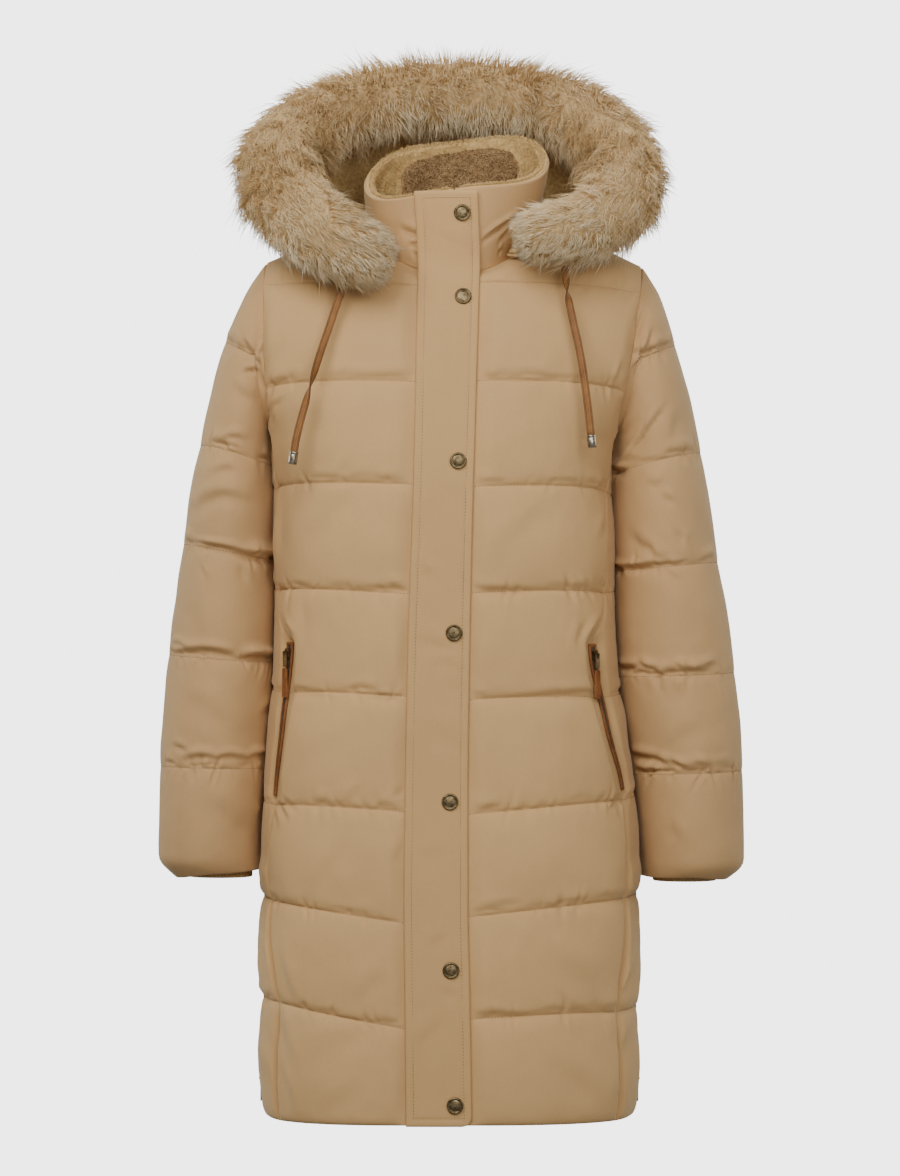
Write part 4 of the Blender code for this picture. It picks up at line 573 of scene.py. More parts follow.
def sleeve_point(side, u, v):
    """u goes once round from the outer side by the front, and v counts the sleeve's quilt lines."""
    table = SLEEVES[side]
    angle = u * 2 * math.pi
    inward = (1 - np.cos(angle)) / 2
    lean = column(table, "lean", v)
    x = mix(column(table, "outer_x", v), column(table, "inner_x", v), inward)
    z = mix(column(table, "outer_z", v), column(table, "inner_z", v), inward**lean)
    ahead, behind = column(table, "front", v), column(table, "back", v)
    y = -np.sin(angle) * np.where(np.sin(angle) > 0, ahead, behind)
    settled = np.clip(v, 0, 1)
    x = x + side * ARMHOLE_BOW * 4 * inward * (1 - inward) * (1 - settled)
    return points_of(x, y + SLEEVE_SET_BACK * inward * settled, z)


def sewn_sleeve_point(side, u, v):
    """The sleeve with its first rows brought exactly onto the armhole."""
    shift = armhole_point(side, FRONT, u * 2 * math.pi) - sleeve_point(side, u, 0 * v)
    return sleeve_point(side, u, v) + shift * (1 - smooth_step(v / SEWN_IN))[..., None]


def cap_place(side, u):
    """The place v at which each column of a sleeve passes its first quilt line."""
    places = np.linspace(0, 1.6, 65)
    found = sewn_sleeve_point(side, *np.meshgrid(u, places))
    outer_x, outer_z = CAP_LINE[side]
    above = found[..., 2] - outer_z + CAP_FALL[side] * np.abs(found[..., 0] - outer_x)
    first = np.maximum([np.interp(0, -above[:, j], places) for j in range(len(u))], CAP_START)
    for _ in range(CAP_SMOOTHING):
        first = (np.roll(first, 1) + 2 * first + np.roll(first, -1)) / 4
    return first


def normals_of(surface, u, v, outside_of, closed=False):
    """Unit normals of a surface on a grid, turned away from the point outside_of."""
    step = NORMAL_STEP
    u_low, u_high = u - step, u + step
    if not closed:
        u_low, u_high = np.maximum(u_low, u.min()), np.minimum(u_high, u.max())
    v_low, v_high = np.maximum(v - step, v.min()), np.minimum(v + step, v.max())
    along_u = surface(u_high, v) - surface(u_low, v)
    along_v = surface(u, v_high) - surface(u, v_low)
    found = unit(np.cross(along_u, along_v))
    away = surface(u, v) - outside_of(surface(u, v))
    return found if (found * away).sum() > 0 else -found


def close_to_pocket(side, z):
    """1 along the pocket zip, where the panels' edges lie flat, and 0 well away from it."""
    top, low = POCKET_ENDS[side]
    below_top = smooth_step((top + POCKET_ABOVE - z) / POCKET_BLEND)
    return below_top * smooth_step((z - low + POCKET_BELOW) / POCKET_BLEND)


def beside_vent(z):
    return smooth_step((VENT_ENDS[0] + VENT_BLEND - z) / VENT_BLEND)


INSIDE_DROP = 0.05  # how far the point inside lies below the wall's


def body_axis(points):
    """A point inside the coat for each point of its wall."""
    return points * UP - UP * INSIDE_DROP


def from_neck(angle):
    """Level direction out of the neck."""
    return points_of(np.sin(angle), -np.cos(angle), 0.0)


def collar_point(angle, height):
    """The collar's inner face: height 0 at the neck seam and 1 at the rim."""
    base = neck_point(angle) + UP * COLLAR_LIFT
    rim = ring_point(RIM_RADIUS, RIM_CENTRE, RIM_HEIGHT, angle)
    height = np.asarray(height, float)
    away = from_neck(angle)
    bulge = COLLAR_BULGE * np.sin(np.pi * np.clip(height, 0, 1))
    return mix(base, rim, height[..., None]) + away * bulge[..., None]


def fur_middle(station):
    return points_of(*(column(FUR, name, station) for name in "xyz"))


def hood_point(u, t):
    """u counts the fur's stations, and t goes from the neck seam (0) to the fur (1)."""
    mirrored = np.minimum(u, FUR_STATIONS - u)
    roll = fur_middle(u)
    azimuth = np.arctan2(roll[..., 0] - NECK_CENTRE[0], NECK_CENTRE[1] - roll[..., 1])
    seam = neck_point(azimuth)
    seam_r = np.hypot(seam[..., 0] - NECK_CENTRE[0], seam[..., 1] - NECK_CENTRE[1])
    radii = [seam_r + HOOD_CLEAR] + [column(HOOD, f"r{k}", mirrored) for k in (1, 2, 3, 4)]
    heights = [seam[..., 2] + HOOD_FOOT] + [column(HOOD, f"z{k}", mirrored) for k in (1, 2, 3, 4)]
    radius, height = (smooth_run(values, t) for values in (radii, heights))
    x = NECK_CENTRE[0] + radius * np.sin(azimuth)
    return points_of(x, NECK_CENTRE[1] - radius * np.cos(azimuth), height)


def smooth_run(values, t):
    """A smooth curve through evenly spaced values, read at t from 0 to 1."""
    values = np.stack(np.broadcast_arrays(*values))
    slopes = np.gradient(values, axis=0)
    place = np.clip(t, 0, 1) * (len(values) - 1)
    i = np.clip(np.floor(place).astype(int), 0, len(values) - 2)
    t = place - i
    value, slope, next_value, next_slope = (
        np.take_along_axis(array, i[None] + k, axis=0)[0] for k in (0, 1) for array in (values, slopes)
    )
    start = value * (1 + 2 * t) + slope * t
    end = next_value * (3 - 2 * t) - next_slope * (1 - t)
    return start * (1 - t) ** 2 + end * t**2


def front_cloth(x, z):
    """The outermost cloth near the centre front, bridging from the body to the collar."""
    side = np.where(x < column(BODY, "centre", z), RIGHT, LEFT)
    halves = {s: body_half(s, FRONT, z) for s in (RIGHT, LEFT)}
    half = np.where(side == RIGHT, halves[RIGHT], halves[LEFT])
    ratio = np.clip(np.abs(x - column(BODY, "centre", z)) / half, 0, 1)
    body_y = -body_depth(FRONT, z) * (1 - ratio**ROUNDNESS) ** (1 / ROUNDNESS)
    low, high = neck_point(0.0)[2], ring_point(RIM_RADIUS, RIM_CENTRE, RIM_HEIGHT, 0.0)[2]
    height = np.clip((z - low) / (high - low), 0, 1.2)
    width = mix(NECK_RADIUS[0], RIM_RADIUS[0], height)
    centre_x = mix(NECK_CENTRE[0], RIM_CENTRE[0], height)
    turn = np.sqrt(np.clip(1 - ((x - centre_x) / width) ** 2, 0, 1))
    depth = mix(NECK_RADIUS[1], RIM_RADIUS[1], height)
    collar_y = mix(NECK_CENTRE[1], RIM_CENTRE[1], height) - depth * turn - COLLAR_BULGE
    return mix(body_y, collar_y, smooth_step((z - BRIDGE_FROM) / BRIDGE_OVER)) - CLOTH


def placket_point(u, v):
    """u runs from the wearer's right edge to the left one, and v from the top to the hem."""
    hem = PLACKET[0].z
    z = mix(PLACKET_TOP, hem, v)
    corner = np.clip(hem + PLACKET_CORNER - z, 0, PLACKET_CORNER)
    cut = PLACKET_CORNER - np.sqrt(PLACKET_CORNER**2 - corner**2)
    x = mix(column(PLACKET, "right", z), column(PLACKET, "left", z) - cut, u)
    return points_of(x, front_cloth(x, z) - PLACKET_GAP, z)


def placket_frame(x, z):
    """A point on the placket's outer face and the outward direction there."""
    v = (PLACKET_TOP - z) / (PLACKET_TOP - PLACKET[0].z)
    right, left = (column(PLACKET, name, z) for name in ("right", "left"))
    u = (x - right) / (left - right)
    across = placket_point(u + 0.02, v) - placket_point(u - 0.02, v)
    down = placket_point(u, v + 0.002) - placket_point(u, v - 0.002)
    out = unit(np.cross(across, -down))
    out = out if out[1] < 0 else -out
    return placket_point(u, v) + out * PLACKET_CLOTH, out


def seam_point(side, vent, z, aside=0.0):
    """A point of the inner face on the vent's or the pocket's seam, or aside of it in swing."""
    swing = 1.0 if vent else front_edge_swing(side, z)
    return body_point(side, FRONT, swing + aside, z)


def seam_spot(side, vent, z):
    """Point, across (towards the back), down and outward directions on a seam of the inner face."""
    point = seam_point(side, vent, z)
    across = BACKWARD
    if not vent:
        behind, ahead = (seam_point(side, vent, z, aside) for aside in (SWING_STEP, -SWING_STEP))
        across = unit(behind - ahead)
    below, above = (seam_point(side, vent, z + step) for step in (-HEIGHT_STEP, HEIGHT_STEP))
    down = unit(below - above)
    out = unit(np.cross(across, down))
    out = out if out[0] * side + (0 if vent else -out[1]) > 0 else -out
    return point, across, down, out


# ---------------------------------------------------------------- camera, floor and light


def aim(obj, place, target):
    obj.location = place
    obj.rotation_euler = (Vector(target) - Vector(place)).to_track_quat("-Z", "Y").to_euler()


def link(obj):
    bpy.context.scene.collection.objects.link(obj)
    return obj


def set_stage():
    """The camera at the photograph's place, soft studio light and a plain pale floor."""
    camera = bpy.data.cameras.new("camera")
    camera.sensor_width = 36
    camera.lens = 36 * CAMERA_SCALE / 1176
    camera.clip_end = 60
    holder = link(bpy.data.objects.new("camera", camera))
    aim(holder, (0, -CAMERA_DISTANCE, CAMERA_HEIGHT), (0, 0, CAMERA_HEIGHT))
    bpy.context.scene.camera = holder
    for light in LIGHTS:
        data = bpy.data.lights.new(light.name, "AREA")
        data.shape = "DISK"
        data.size = light.size
        data.energy = light.power
        data.color = light.colour
        aim(link(bpy.data.objects.new(light.name, data)), light.place, light.target)
    world = bpy.data.worlds.new("studio")
    bpy.context.scene.world = world
    world.use_nodes = True
    tree = world.node_tree
    lit = tree.nodes["Background"]
    lit.inputs["Color"].default_value = (1.0, 1.0, 1.0, 1)
    lit.inputs["Strength"].default_value = WORLD_STRENGTH
    seen = tree.nodes.new("ShaderNodeBackground")
    seen.inputs["Strength"].default_value = BACKDROP_STRENGTH
    either = tree.nodes.new("ShaderNodeMixShader")
    path = tree.nodes.new("ShaderNodeLightPath")
    tree.links.new(path.outputs["Is Camera Ray"], either.inputs[0])
    tree.links.new(lit.outputs[0], either.inputs[1])
    tree.links.new(seen.outputs[0], either.inputs[2])
    tree.links.new(either.outputs[0], tree.nodes["World Output"].inputs["Surface"])
    floor = bmesh.new()
    bmesh.ops.create_circle(floor, cap_ends=True, radius=FLOOR_RADIUS, segments=96)
    mesh = bpy.data.meshes.new("floor")
    floor.to_mesh(mesh)
    floor.free()
    placed = link(bpy.data.objects.new("floor", mesh))
    placed.location = (0, 0, FLOOR_Z)
    mesh.materials.append(paper_material())


Light = namedtuple("Light", "name place target size power colour")
CAMERA_SCALE = 4761.9  # pixels a metre at one metre, on a picture 1176 pixels high
CAMERA_DISTANCE = 5.0
CAMERA_HEIGHT = -0.378
FLOOR_Z = -1.45  # where the wearer's soles are
FLOOR_RADIUS = 3.2
FLOOR_GLOW = 2.6  # how bright the paper on the floor looks, as the backdrop's
WORLD_STRENGTH = 0.28  # of the light that falls on the coat
BACKDROP_STRENGTH = 5.0  # of the paper behind it
LIGHTS = (
    Light("key", (-0.75, -1.90, 1.10), (0.0, 0.0, -0.05), 1.5, 40, (1.0, 0.99, 0.97)),
    Light("fill", (0.6, -2.5, 0.40), (0.0, 0.0, 0.10), 1.3, 29, (0.98, 0.99, 1.0)),
    Light("top", (0.1, 0.9, 2.3), (0.0, 0.0, -0.2), 1.6, 46, (1.0, 1.0, 1.0)),
    Light("right_rim", (-2.2, 0.9, 0.2), (0.0, 0.0, -0.35), 1.4, 24, (0.94, 0.98, 1.0)),
    Light("left_rim", (2.2, 0.9, 0.2), (0.0, 0.0, -0.35), 1.4, 18, (0.94, 0.98, 1.0)),
)


# ---------------------------------------------------------------- materials


class Graph:
    """A material's node tree, with short ways to add and join nodes."""

    def __init__(self, name):
        self.material = bpy.data.materials.new(name)
        self.material.use_nodes = True
        self.tree = self.material.node_tree
        self.shader = self.tree.nodes["Principled BSDF"]

    def add(self, kind, **settings):
        made = self.tree.nodes.new(kind)
        for name, value in settings.items():
            if name in made.inputs.keys():
                made.inputs[name].default_value = value
            else:
                setattr(made, name, value)
        return made

    def join(self, start, end):
        self.tree.links.new(start, end)

    def place(self):
        return self.add("ShaderNodeTexCoord").outputs["Object"]

    def noise(self, scale, detail=3.0, roughness=0.55, stretch=None):
        made = self.add("ShaderNodeTexNoise", Scale=scale, Detail=detail, Roughness=roughness)
        spot = self.place()
        if stretch:
            mapping = self.add("ShaderNodeMapping")
            mapping.inputs["Scale"].default_value = stretch
            self.join(spot, mapping.inputs["Vector"])
            spot = mapping.outputs["Vector"]
        self.join(spot, made.inputs["Vector"])
        return made.outputs["Fac"]

    def ramp(self, value, stops):
        """Colours or greys at places from 0 to 1 along a value."""
        made = self.add("ShaderNodeValToRGB")
        marks = made.color_ramp.elements
        while len(marks) < len(stops):
            marks.new(0.5)
        for mark, (at, colour) in zip(marks, stops):
            mark.position = at
            mark.color = (*colour, 1) if isinstance(colour, tuple) else (colour, colour, colour, 1)
        self.join(value, made.inputs["Fac"])
        return made.outputs["Color"]

    def math(self, operation, a, b):
        made = self.add("ShaderNodeMath", operation=operation)
        for value, entry in ((a, made.inputs[0]), (b, made.inputs[1])):
            if isinstance(value, (int, float)):
                entry.default_value = value
            else:
                self.join(value, entry)
        return made.outputs[0]

    def blend(self, mode, share, a, b):
        made = self.add("ShaderNodeMix", data_type="RGBA", blend_type=mode)
        factor, first, second = (made.inputs[i] for i in (0, 6, 7))
        for value, entry in ((share, factor), (a, first), (b, second)):
            if isinstance(value, (int, float)):
                entry.default_value = value
            elif isinstance(value, tuple):
                entry.default_value = (*value, 1)
            else:
                self.join(value, entry)
        return made.outputs[2]

    def bump(self, heights):
        """Relief from (height, strength, distance) triples, one over another."""
        below = None
        for height, strength, distance in heights:
            made = self.add("ShaderNodeBump", Strength=strength, Distance=distance)
            self.join(height, made.inputs["Height"])
            if below is not None:
                self.join(below, made.inputs["Normal"])
            below = made.outputs["Normal"]
        self.join(below, self.shader.inputs["Normal"])

    def finish(self, colour, roughness, metallic=0.0, sheen=0.0, specular=0.5,
               sheen_tint=(1.0, 1.0, 1.0)):
        shader = self.shader
        if isinstance(colour, tuple):
            shader.inputs["Base Color"].default_value = (*colour, 1)
        else:
            self.join(colour, shader.inputs["Base Color"])
        if isinstance(roughness, (int, float)):
            shader.inputs["Roughness"].default_value = roughness
        else:
            self.join(roughness, shader.inputs["Roughness"])
        shader.inputs["Metallic"].default_value = metallic
        shader.inputs["Specular IOR Level"].default_value = specular
        shader.inputs["Sheen Weight"].default_value = sheen
        shader.inputs["Sheen Roughness"].default_value = 0.4
        shader.inputs["Sheen Tint"].default_value = (*sheen_tint, 1)
        return self.material


def plain_material(name, colour, roughness):
    return Graph(name).finish(colour, roughness, specular=0.2)


def paper_material():
    """Pale studio paper on the floor, which looks as light as the backdrop."""
    graph = Graph("floor")
    material = graph.finish((0.25, 0.25, 0.245), 0.9, specular=0.1)
    path = graph.add("ShaderNodeLightPath")
    glow = graph.math("MULTIPLY", path.outputs["Is Camera Ray"], FLOOR_GLOW)
    graph.shader.inputs["Emission Color"].default_value = (1.0, 1.0, 1.0, 1)
    graph.join(glow, graph.shader.inputs["Emission Strength"])
    return material


WEAVE_SCALE = 620


def shell_material(name, light, dark):
    """Peached woven shell: a fine weave, faint slubs and slow shifts of tone."""
    graph = Graph(name)
    slow = graph.noise(7, 3)
    colour = graph.ramp(slow, ((0.32, dark), (0.68, light)))
    fine = graph.noise(900, 2, stretch=(1.0, 1.0, 0.35))
    colour = graph.blend("MULTIPLY", 0.55, colour, graph.ramp(fine, ((0.3, 0.90), (0.7, 1.0))))
    settings = {"wave_type": "BANDS", "Scale": WEAVE_SCALE, "Distortion": 1.2}
    across, along = (graph.add("ShaderNodeTexWave", bands_direction=axis, **settings) for axis in "ZX")
    for wave in (across, along):
        graph.join(graph.place(), wave.inputs["Vector"])
    weave = graph.math("MULTIPLY", across.outputs["Fac"], along.outputs["Fac"])
    graph.bump(((graph.noise(70, 5, 0.6), 0.25, 0.0012), (weave, 0.25, 0.00025)))
    return graph.finish(colour, 0.80, sheen=0.25, specular=0.20, sheen_tint=(0.80, 0.84, 0.66))


def hair_material(name, root, middle, tip, patch):
    """Hair coloured along its length by the tone attribute, with patches of deeper colour."""
    graph = Graph(name)
    tone = graph.add("ShaderNodeAttribute", attribute_name="tone").outputs["Fac"]
    colour = graph.ramp(tone, ((0.0, root), (0.45, middle), (1.0, tip)))
    spots = graph.ramp(graph.noise(16, 3, 0.6), ((0.36, patch), (0.62, (1.0, 1.0, 1.0))))
    colour = graph.blend("MULTIPLY", 0.8, colour, spots)
    strands = graph.ramp(graph.noise(420, 2), ((0.3, 0.76), (0.7, 1.0)))
    colour = graph.blend("MULTIPLY", 0.5, colour, strands)
    return graph.finish(colour, 0.7, specular=0.15)


def plush_material(name, low, high, scale):
    """Short pile, with painted shade between its tufts: its colour is darkest where its relief is
    lowest.
    """
    graph = Graph(name)
    tufts = graph.noise(scale, 4, 0.6)
    colour = graph.ramp(tufts, ((0.3, low), (0.66, high)))
    slow = graph.ramp(graph.noise(30, 3), ((0.35, 0.78), (0.7, 1.0)))
    colour = graph.blend("MULTIPLY", 0.8, colour, slow)
    graph.bump(((graph.noise(70, 3), 0.4, 0.004), (tufts, 0.5, 0.0012)))
    return graph.finish(colour, 0.92, sheen=0.15, specular=0.1, sheen_tint=(0.95, 0.80, 0.50))


def leather_material(name, low, high, edges=False):
    """Grained leather, darkened by the tone attribute if it has one: at its cut edges, and with painted
    shade in its grooves.
    """
    graph = Graph(name)
    grain = graph.add("ShaderNodeTexVoronoi", feature="DISTANCE_TO_EDGE", Scale=900)
    graph.join(graph.place(), grain.inputs["Vector"])
    cells = graph.ramp(grain.outputs["Distance"], ((0.0, 0.0), (0.18, 1.0)))
    colour = graph.ramp(graph.noise(60, 4), ((0.3, low), (0.7, high)))
    if edges:
        tone = graph.add("ShaderNodeAttribute", attribute_name="tone").outputs["Fac"]
        colour = graph.blend("MULTIPLY", 1.0, colour, graph.ramp(tone, ((0.0, 0.32), (1.0, 1.0))))
    colour = graph.blend("MULTIPLY", 0.3, colour, cells)
    graph.bump(((graph.noise(200, 4), 0.2, 0.0004), (cells, 0.3, 0.00018)))
    return graph.finish(colour, 0.55, specular=0.22)


def metal_material(name, bright, dull, low, high):
    """Worn metal: bright where rubbed and darker in the hollows."""
    graph = Graph(name)
    wear = graph.noise(260, 5, 0.65)
    colour = graph.ramp(wear, ((0.35, dull), (0.62, bright)))
    roughness = graph.ramp(graph.noise(500, 3), ((0.3, low), (0.7, high)))
    graph.bump(((graph.noise(900, 3), 0.12, 0.0002),))
    return graph.finish(colour, roughness, metallic=1.0)


def knit_material(name, low, high):
    graph = Graph(name)
    loops = graph.noise(800, 3, stretch=(1.0, 1.0, 0.5))
    colour = graph.ramp(loops, ((0.3, low), (0.7, high)))
    graph.bump(((loops, 0.5, 0.0005),))
    return graph.finish(colour, 0.88, sheen=0.2, specular=0.2)


def tape_material(name, low, high):
    graph = Graph(name)
    weave = graph.noise(1200, 2)
    colour = graph.ramp(weave, ((0.3, low), (0.7, high)))
    graph.bump(((weave, 0.4, 0.0003),))
    return graph.finish(colour, 0.8, sheen=0.1, specular=0.25)


def make_looks():
    return {
        "shell": shell_material("shell_cloth", (0.640, 0.390, 0.165), (0.585, 0.357, 0.154)),
        # The sleeve look is the shell cloth painted darker: painted shade, worn by the sleeves and the
        # collar.
        "sleeve": shell_material("sleeve_cloth", (0.570, 0.346, 0.152), (0.526, 0.320, 0.144)),
        "placket": shell_material("placket_cloth", (0.600, 0.362, 0.151), (0.560, 0.338, 0.143)),
        "fur": hair_material("fur_hair", (0.36, 0.235, 0.105), (0.80, 0.56, 0.28), (1.0, 0.87, 0.60),
                             (0.78, 0.68, 0.54)),
        "fur_root": plush_material("fur_ground", (0.34, 0.22, 0.10), (0.62, 0.43, 0.21), 260),
        "plush": plush_material("plush_pile", (0.46, 0.295, 0.115), (0.74, 0.50, 0.21), 300),
        "plush_hair": hair_material("plush_hair", (0.40, 0.255, 0.10), (0.68, 0.46, 0.19),
                                    (0.86, 0.62, 0.31), (0.82, 0.76, 0.66)),
        # The curly pile's deep low colour is painted shade between its curls.
        "curly": plush_material("curly_pile", (0.14, 0.080, 0.034), (0.42, 0.262, 0.120), 330),
        "curly_hair": hair_material("curly_hair", (0.13, 0.074, 0.030), (0.42, 0.265, 0.120),
                                    (0.68, 0.48, 0.26), (0.70, 0.64, 0.56)),
        "rib": knit_material("rib_knit", (0.36, 0.22, 0.09), (0.62, 0.40, 0.17)),
        "leather": leather_material("cognac_leather", (0.20, 0.070, 0.022), (0.34, 0.130, 0.042)),
        "strap": leather_material("strap_leather", (0.25, 0.103, 0.029), (0.38, 0.162, 0.043), True),
        "tape": tape_material("zip_tape_weave", (0.06, 0.04, 0.025), (0.14, 0.095, 0.06)),
        "brass": metal_material("antique_brass", (0.25, 0.185, 0.095), (0.075, 0.052, 0.027), 0.36,
                                0.55),
        "nickel": metal_material("worn_nickel", (0.47, 0.42, 0.32), (0.18, 0.15, 0.10), 0.25, 0.42),
        "dark_thread": plain_material("tan_thread", (0.115, 0.070, 0.036), 0.7),
        "leather_thread": plain_material("leather_thread", (0.50, 0.30, 0.14), 0.6),
    }


# ---------------------------------------------------------------- meshes


def add_piece(name, corners, faces, look, slot, replaces=(), smooth=True, tone=None):
    """A piece of the look that rides on the coat and stands for the nodes it replaces."""
    mesh = bpy.data.meshes.new(name)
    corners = np.asarray(corners, np.float32)
    mesh.vertices.add(len(corners))
    mesh.vertices.foreach_set("co", corners.ravel())
    if isinstance(faces, np.ndarray):
        size = faces.shape[1]
        starts = np.arange(len(faces), dtype=np.int32) * size
        flat = faces.astype(np.int32).ravel()
    else:
        sizes = np.array([len(face) for face in faces])
        starts = np.concatenate([[0], np.cumsum(sizes)[:-1]]).astype(np.int32)
        flat = np.array([corner for face in faces for corner in face], np.int32)
    mesh.loops.add(len(flat))
    mesh.loops.foreach_set("vertex_index", flat)
    mesh.polygons.add(len(starts))
    mesh.polygons.foreach_set("loop_start", starts)
    mesh.update(calc_edges=True)
    mesh.validate()
    if smooth:
        mesh.shade_smooth()
    if tone is not None:
        mesh.attributes.new("tone", "FLOAT", "POINT").data.foreach_set("value", tone.astype(np.float32))
    mesh.materials.append(LOOKS[look])
    made = link(bpy.data.objects.new(name, mesh))
    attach(made, "coat")
    if replaces:
        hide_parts(*replaces)
    return made


def turned_out(corners, faces):
    """The faces, all turned over if the closed form they bound is inside out."""
    volume = 0.0
    for face in faces:
        a, b, c = (corners[i] for i in face[:3])
        volume += np.dot(a, np.cross(b, c))
        if len(face) > 3:
            volume += np.dot(a, np.cross(c, corners[face[3]]))
    return [tuple(reversed(face)) for face in faces] if volume < 0 else faces


def fine_wall(outer, inner, stride, closed=False):
    """A closed wall: every point of the outer grid, and each stride-th row and column inside."""
    rows, columns = outer.shape[:2]
    keep_rows = sorted({*range(0, rows, stride), rows - 1})
    keep_columns = sorted({*range(0, columns, stride), *([] if closed else [columns - 1])})
    coarse = inner[np.ix_(keep_rows, keep_columns)]
    corners = np.concatenate([outer.reshape(-1, 3), coarse.reshape(-1, 3)])
    base, wide = rows * columns, len(keep_columns)
    i = np.arange(rows - 1)[:, None]
    j = np.arange(columns if closed else columns - 1)[None]
    k = (j + 1) % columns
    here, there = i * columns, (i + 1) * columns
    quads = np.stack([here + j, there + j, there + k, here + k], axis=-1).reshape(-1, 4)
    faces = [tuple(map(int, quad)) for quad in quads]
    spans = range(wide if closed else wide - 1)
    strips = [(base + a * wide, base + (a + 1) * wide) for a in range(len(keep_rows) - 1)]
    for first, second in strips:
        for b in spans:
            c = (b + 1) % wide
            faces.append((first + b, first + c, second + c, second + b))
    low, last = (rows - 1) * columns, base + (len(keep_rows) - 1) * wide
    for b in spans:
        c = (b + 1) % wide
        run = [*range(keep_columns[b], keep_columns[c] if c else columns)]
        run = [step % columns for step in (*run, run[-1] + 1)]
        faces.append((*run, base + c, base + b))
        faces.append((*(low + step for step in reversed(run)), last + b, last + c))
    if not closed:
        for a, (first, second) in enumerate(strips):
            run = [step * columns for step in range(keep_rows[a], keep_rows[a + 1] + 1)]
            faces.append((*reversed(run), first, second))
            far = (step + columns - 1 for step in run)
            faces.append((*far, second + wide - 1, first + wide - 1))
    return corners, faces


def noise_at(points, size, seed):
    """Smooth noise from -1 to 1 with cells of the given size."""
    values = np.random.RandomState(seed).uniform(-1, 1, 4096)
    place = np.asarray(points, float) / size
    cell = np.floor(place).astype(int)
    part = place - cell
    part = part * part * (3 - 2 * part)
    found = 0.0
    for corner in np.ndindex(*(2,) * place.shape[-1]):
        key, weight = 0, 1.0
        for axis, step in enumerate(corner):
            key = key * 73 + (cell[..., axis] + step) * (19 + 31 * axis)
            weight = weight * (part[..., axis] if step else 1 - part[..., axis])
        key = (key ^ (key >> 7)) * 40503
        found = found + values[(key >> 3) & 4095] * weight
    return found


def read_along(values, along, at):
    """Rows of values, known at the distances along, read at others."""
    return np.stack([np.interp(at, along, values[:, k]) for k in range(3)], axis=-1)


STITCH_STEP = 0.0006  # over which a stitch's direction is taken
SPINDLE = np.array([(0, 1, 2), (0, 2, 3), (0, 3, 4), (0, 4, 1), (5, 2, 1), (5, 3, 2), (5, 4, 3),
                    (5, 1, 4)])


def stitches(name, paths, look, slot, pitch=STITCH_PITCH, length=STITCH_LENGTH, radius=STITCH_RADIUS):
    """A row of small spindle-shaped stitches along each path of (points, outward directions)."""
    corners, faces = [], []
    for points, out in paths:
        steps = np.linalg.norm(np.diff(points, axis=0), axis=1)
        along = np.concatenate([[0.0], np.cumsum(steps)])
        places = np.arange(pitch / 2, along[-1], pitch)
        centre = read_along(points, along, places)
        after = read_along(points, along, places + STITCH_STEP)
        ahead = unit(after - read_along(points, along, places - STITCH_STEP))
        up = unit(read_along(out, along, places))
        wide = unit(np.cross(ahead, up))
        half = length / 2
        ring = [centre - ahead * half, centre + wide * radius, centre + up * radius,
                centre - wide * radius]
        ring += [centre - up * radius, centre + ahead * half]
        start = sum(map(len, corners))
        corners.append(np.stack(ring, axis=1).reshape(-1, 3))
        firsts = np.arange(len(places)) * len(ring)
        faces.append((firsts[:, None, None] + SPINDLE[None] + start).reshape(-1, 3))
    add_piece(name, np.concatenate(corners), np.concatenate(faces), look, slot)


# ---------------------------------------------------------------- quilted panels


def fine_rows(first, last, count=CHANNEL_ROWS, crowding=ROW_CROWDING):
    """Places of the rows, close together beside each quilt line."""
    share = np.arange(count) / count
    share = share - crowding * np.sin(2 * math.pi * share) / (2 * math.pi)
    rows = [line + s for line in range(int(first), last) for s in share if line + s > first + 0.002]
    return np.array([first] + rows + [last], float)


PUFF_SAG, SLEEVE_SAG = 1.12, 1.25  # how much fuller a channel is low down
BRINK_WIDTH, BRINK_STEEPNESS = 11, 0.55  # how near to its lines it drops, and how steeply


def fullness(v, sag=PUFF_SAG):
    """The puff across a channel: an arch, fuller low down, that drops steeply at its lines."""
    t = np.clip(v - np.floor(v), 0, 1) ** sag
    arch = 1 - (2 * t - 1) ** 2
    brink = np.clip(1 - np.abs(2 * t - 1) ** BRINK_WIDTH, 0, 1) ** BRINK_STEEPNESS
    return 0.5 * arch + 0.5 * brink


Puckers = namedtuple("Puckers", "per_metre depth reach")
BODY_PUCKERS = Puckers(48, 0.0022, 0.012)
SLEEVE_PUCKERS = Puckers(60, 0.0030, 0.014)
PUCKER_WIDTH = (0.0018, 0.0042)
PUCKER_SLANT = 0.5
PUCKER_LONG = (0.35, 1.1)  # share of the reach
PUCKER_DEPTH = (0.25, 1.0)  # share of the depth
PUCKER_RIDGE, RIDGE_AT = 0.45, 1.9  # height and place of the ridges beside it, in its own size
PUCKER_START = 0.0012  # how far from the line it has grown


def pucker_relief(along, off, lines, seed, puckers):
    """Small gathers that run from each quilt line, drawn at random places along it."""
    draw = np.random.RandomState(seed)
    found = np.zeros_like(along)
    low, high = along.min(), along.max()
    for line in lines:
        near = np.abs(off[line]) < puckers.reach * 3.2
        for _ in range(int((high - low) * puckers.per_metre)):
            spot = draw.uniform(low, high)
            width = draw.uniform(*PUCKER_WIDTH)
            slant = draw.uniform(-PUCKER_SLANT, PUCKER_SLANT)
            long_up, long_down = draw.uniform(*PUCKER_LONG, 2) * puckers.reach
            strength = puckers.depth * draw.uniform(*PUCKER_DEPTH) ** 1.5
            d, s = off[line][near], along[near]
            fade = np.where(d > 0, np.exp(-((d / long_up) ** 2)), np.exp(-((d / long_down) ** 2)))
            away = (s - spot - slant * d) / width
            ridge = PUCKER_RIDGE * np.exp(-((np.abs(away) - RIDGE_AT) ** 2))
            grown = 1 - np.exp(-((d / PUCKER_START) ** 2))
            found[near] += strength * fade * (-np.exp(-(away**2)) + ridge) * grown
    return found


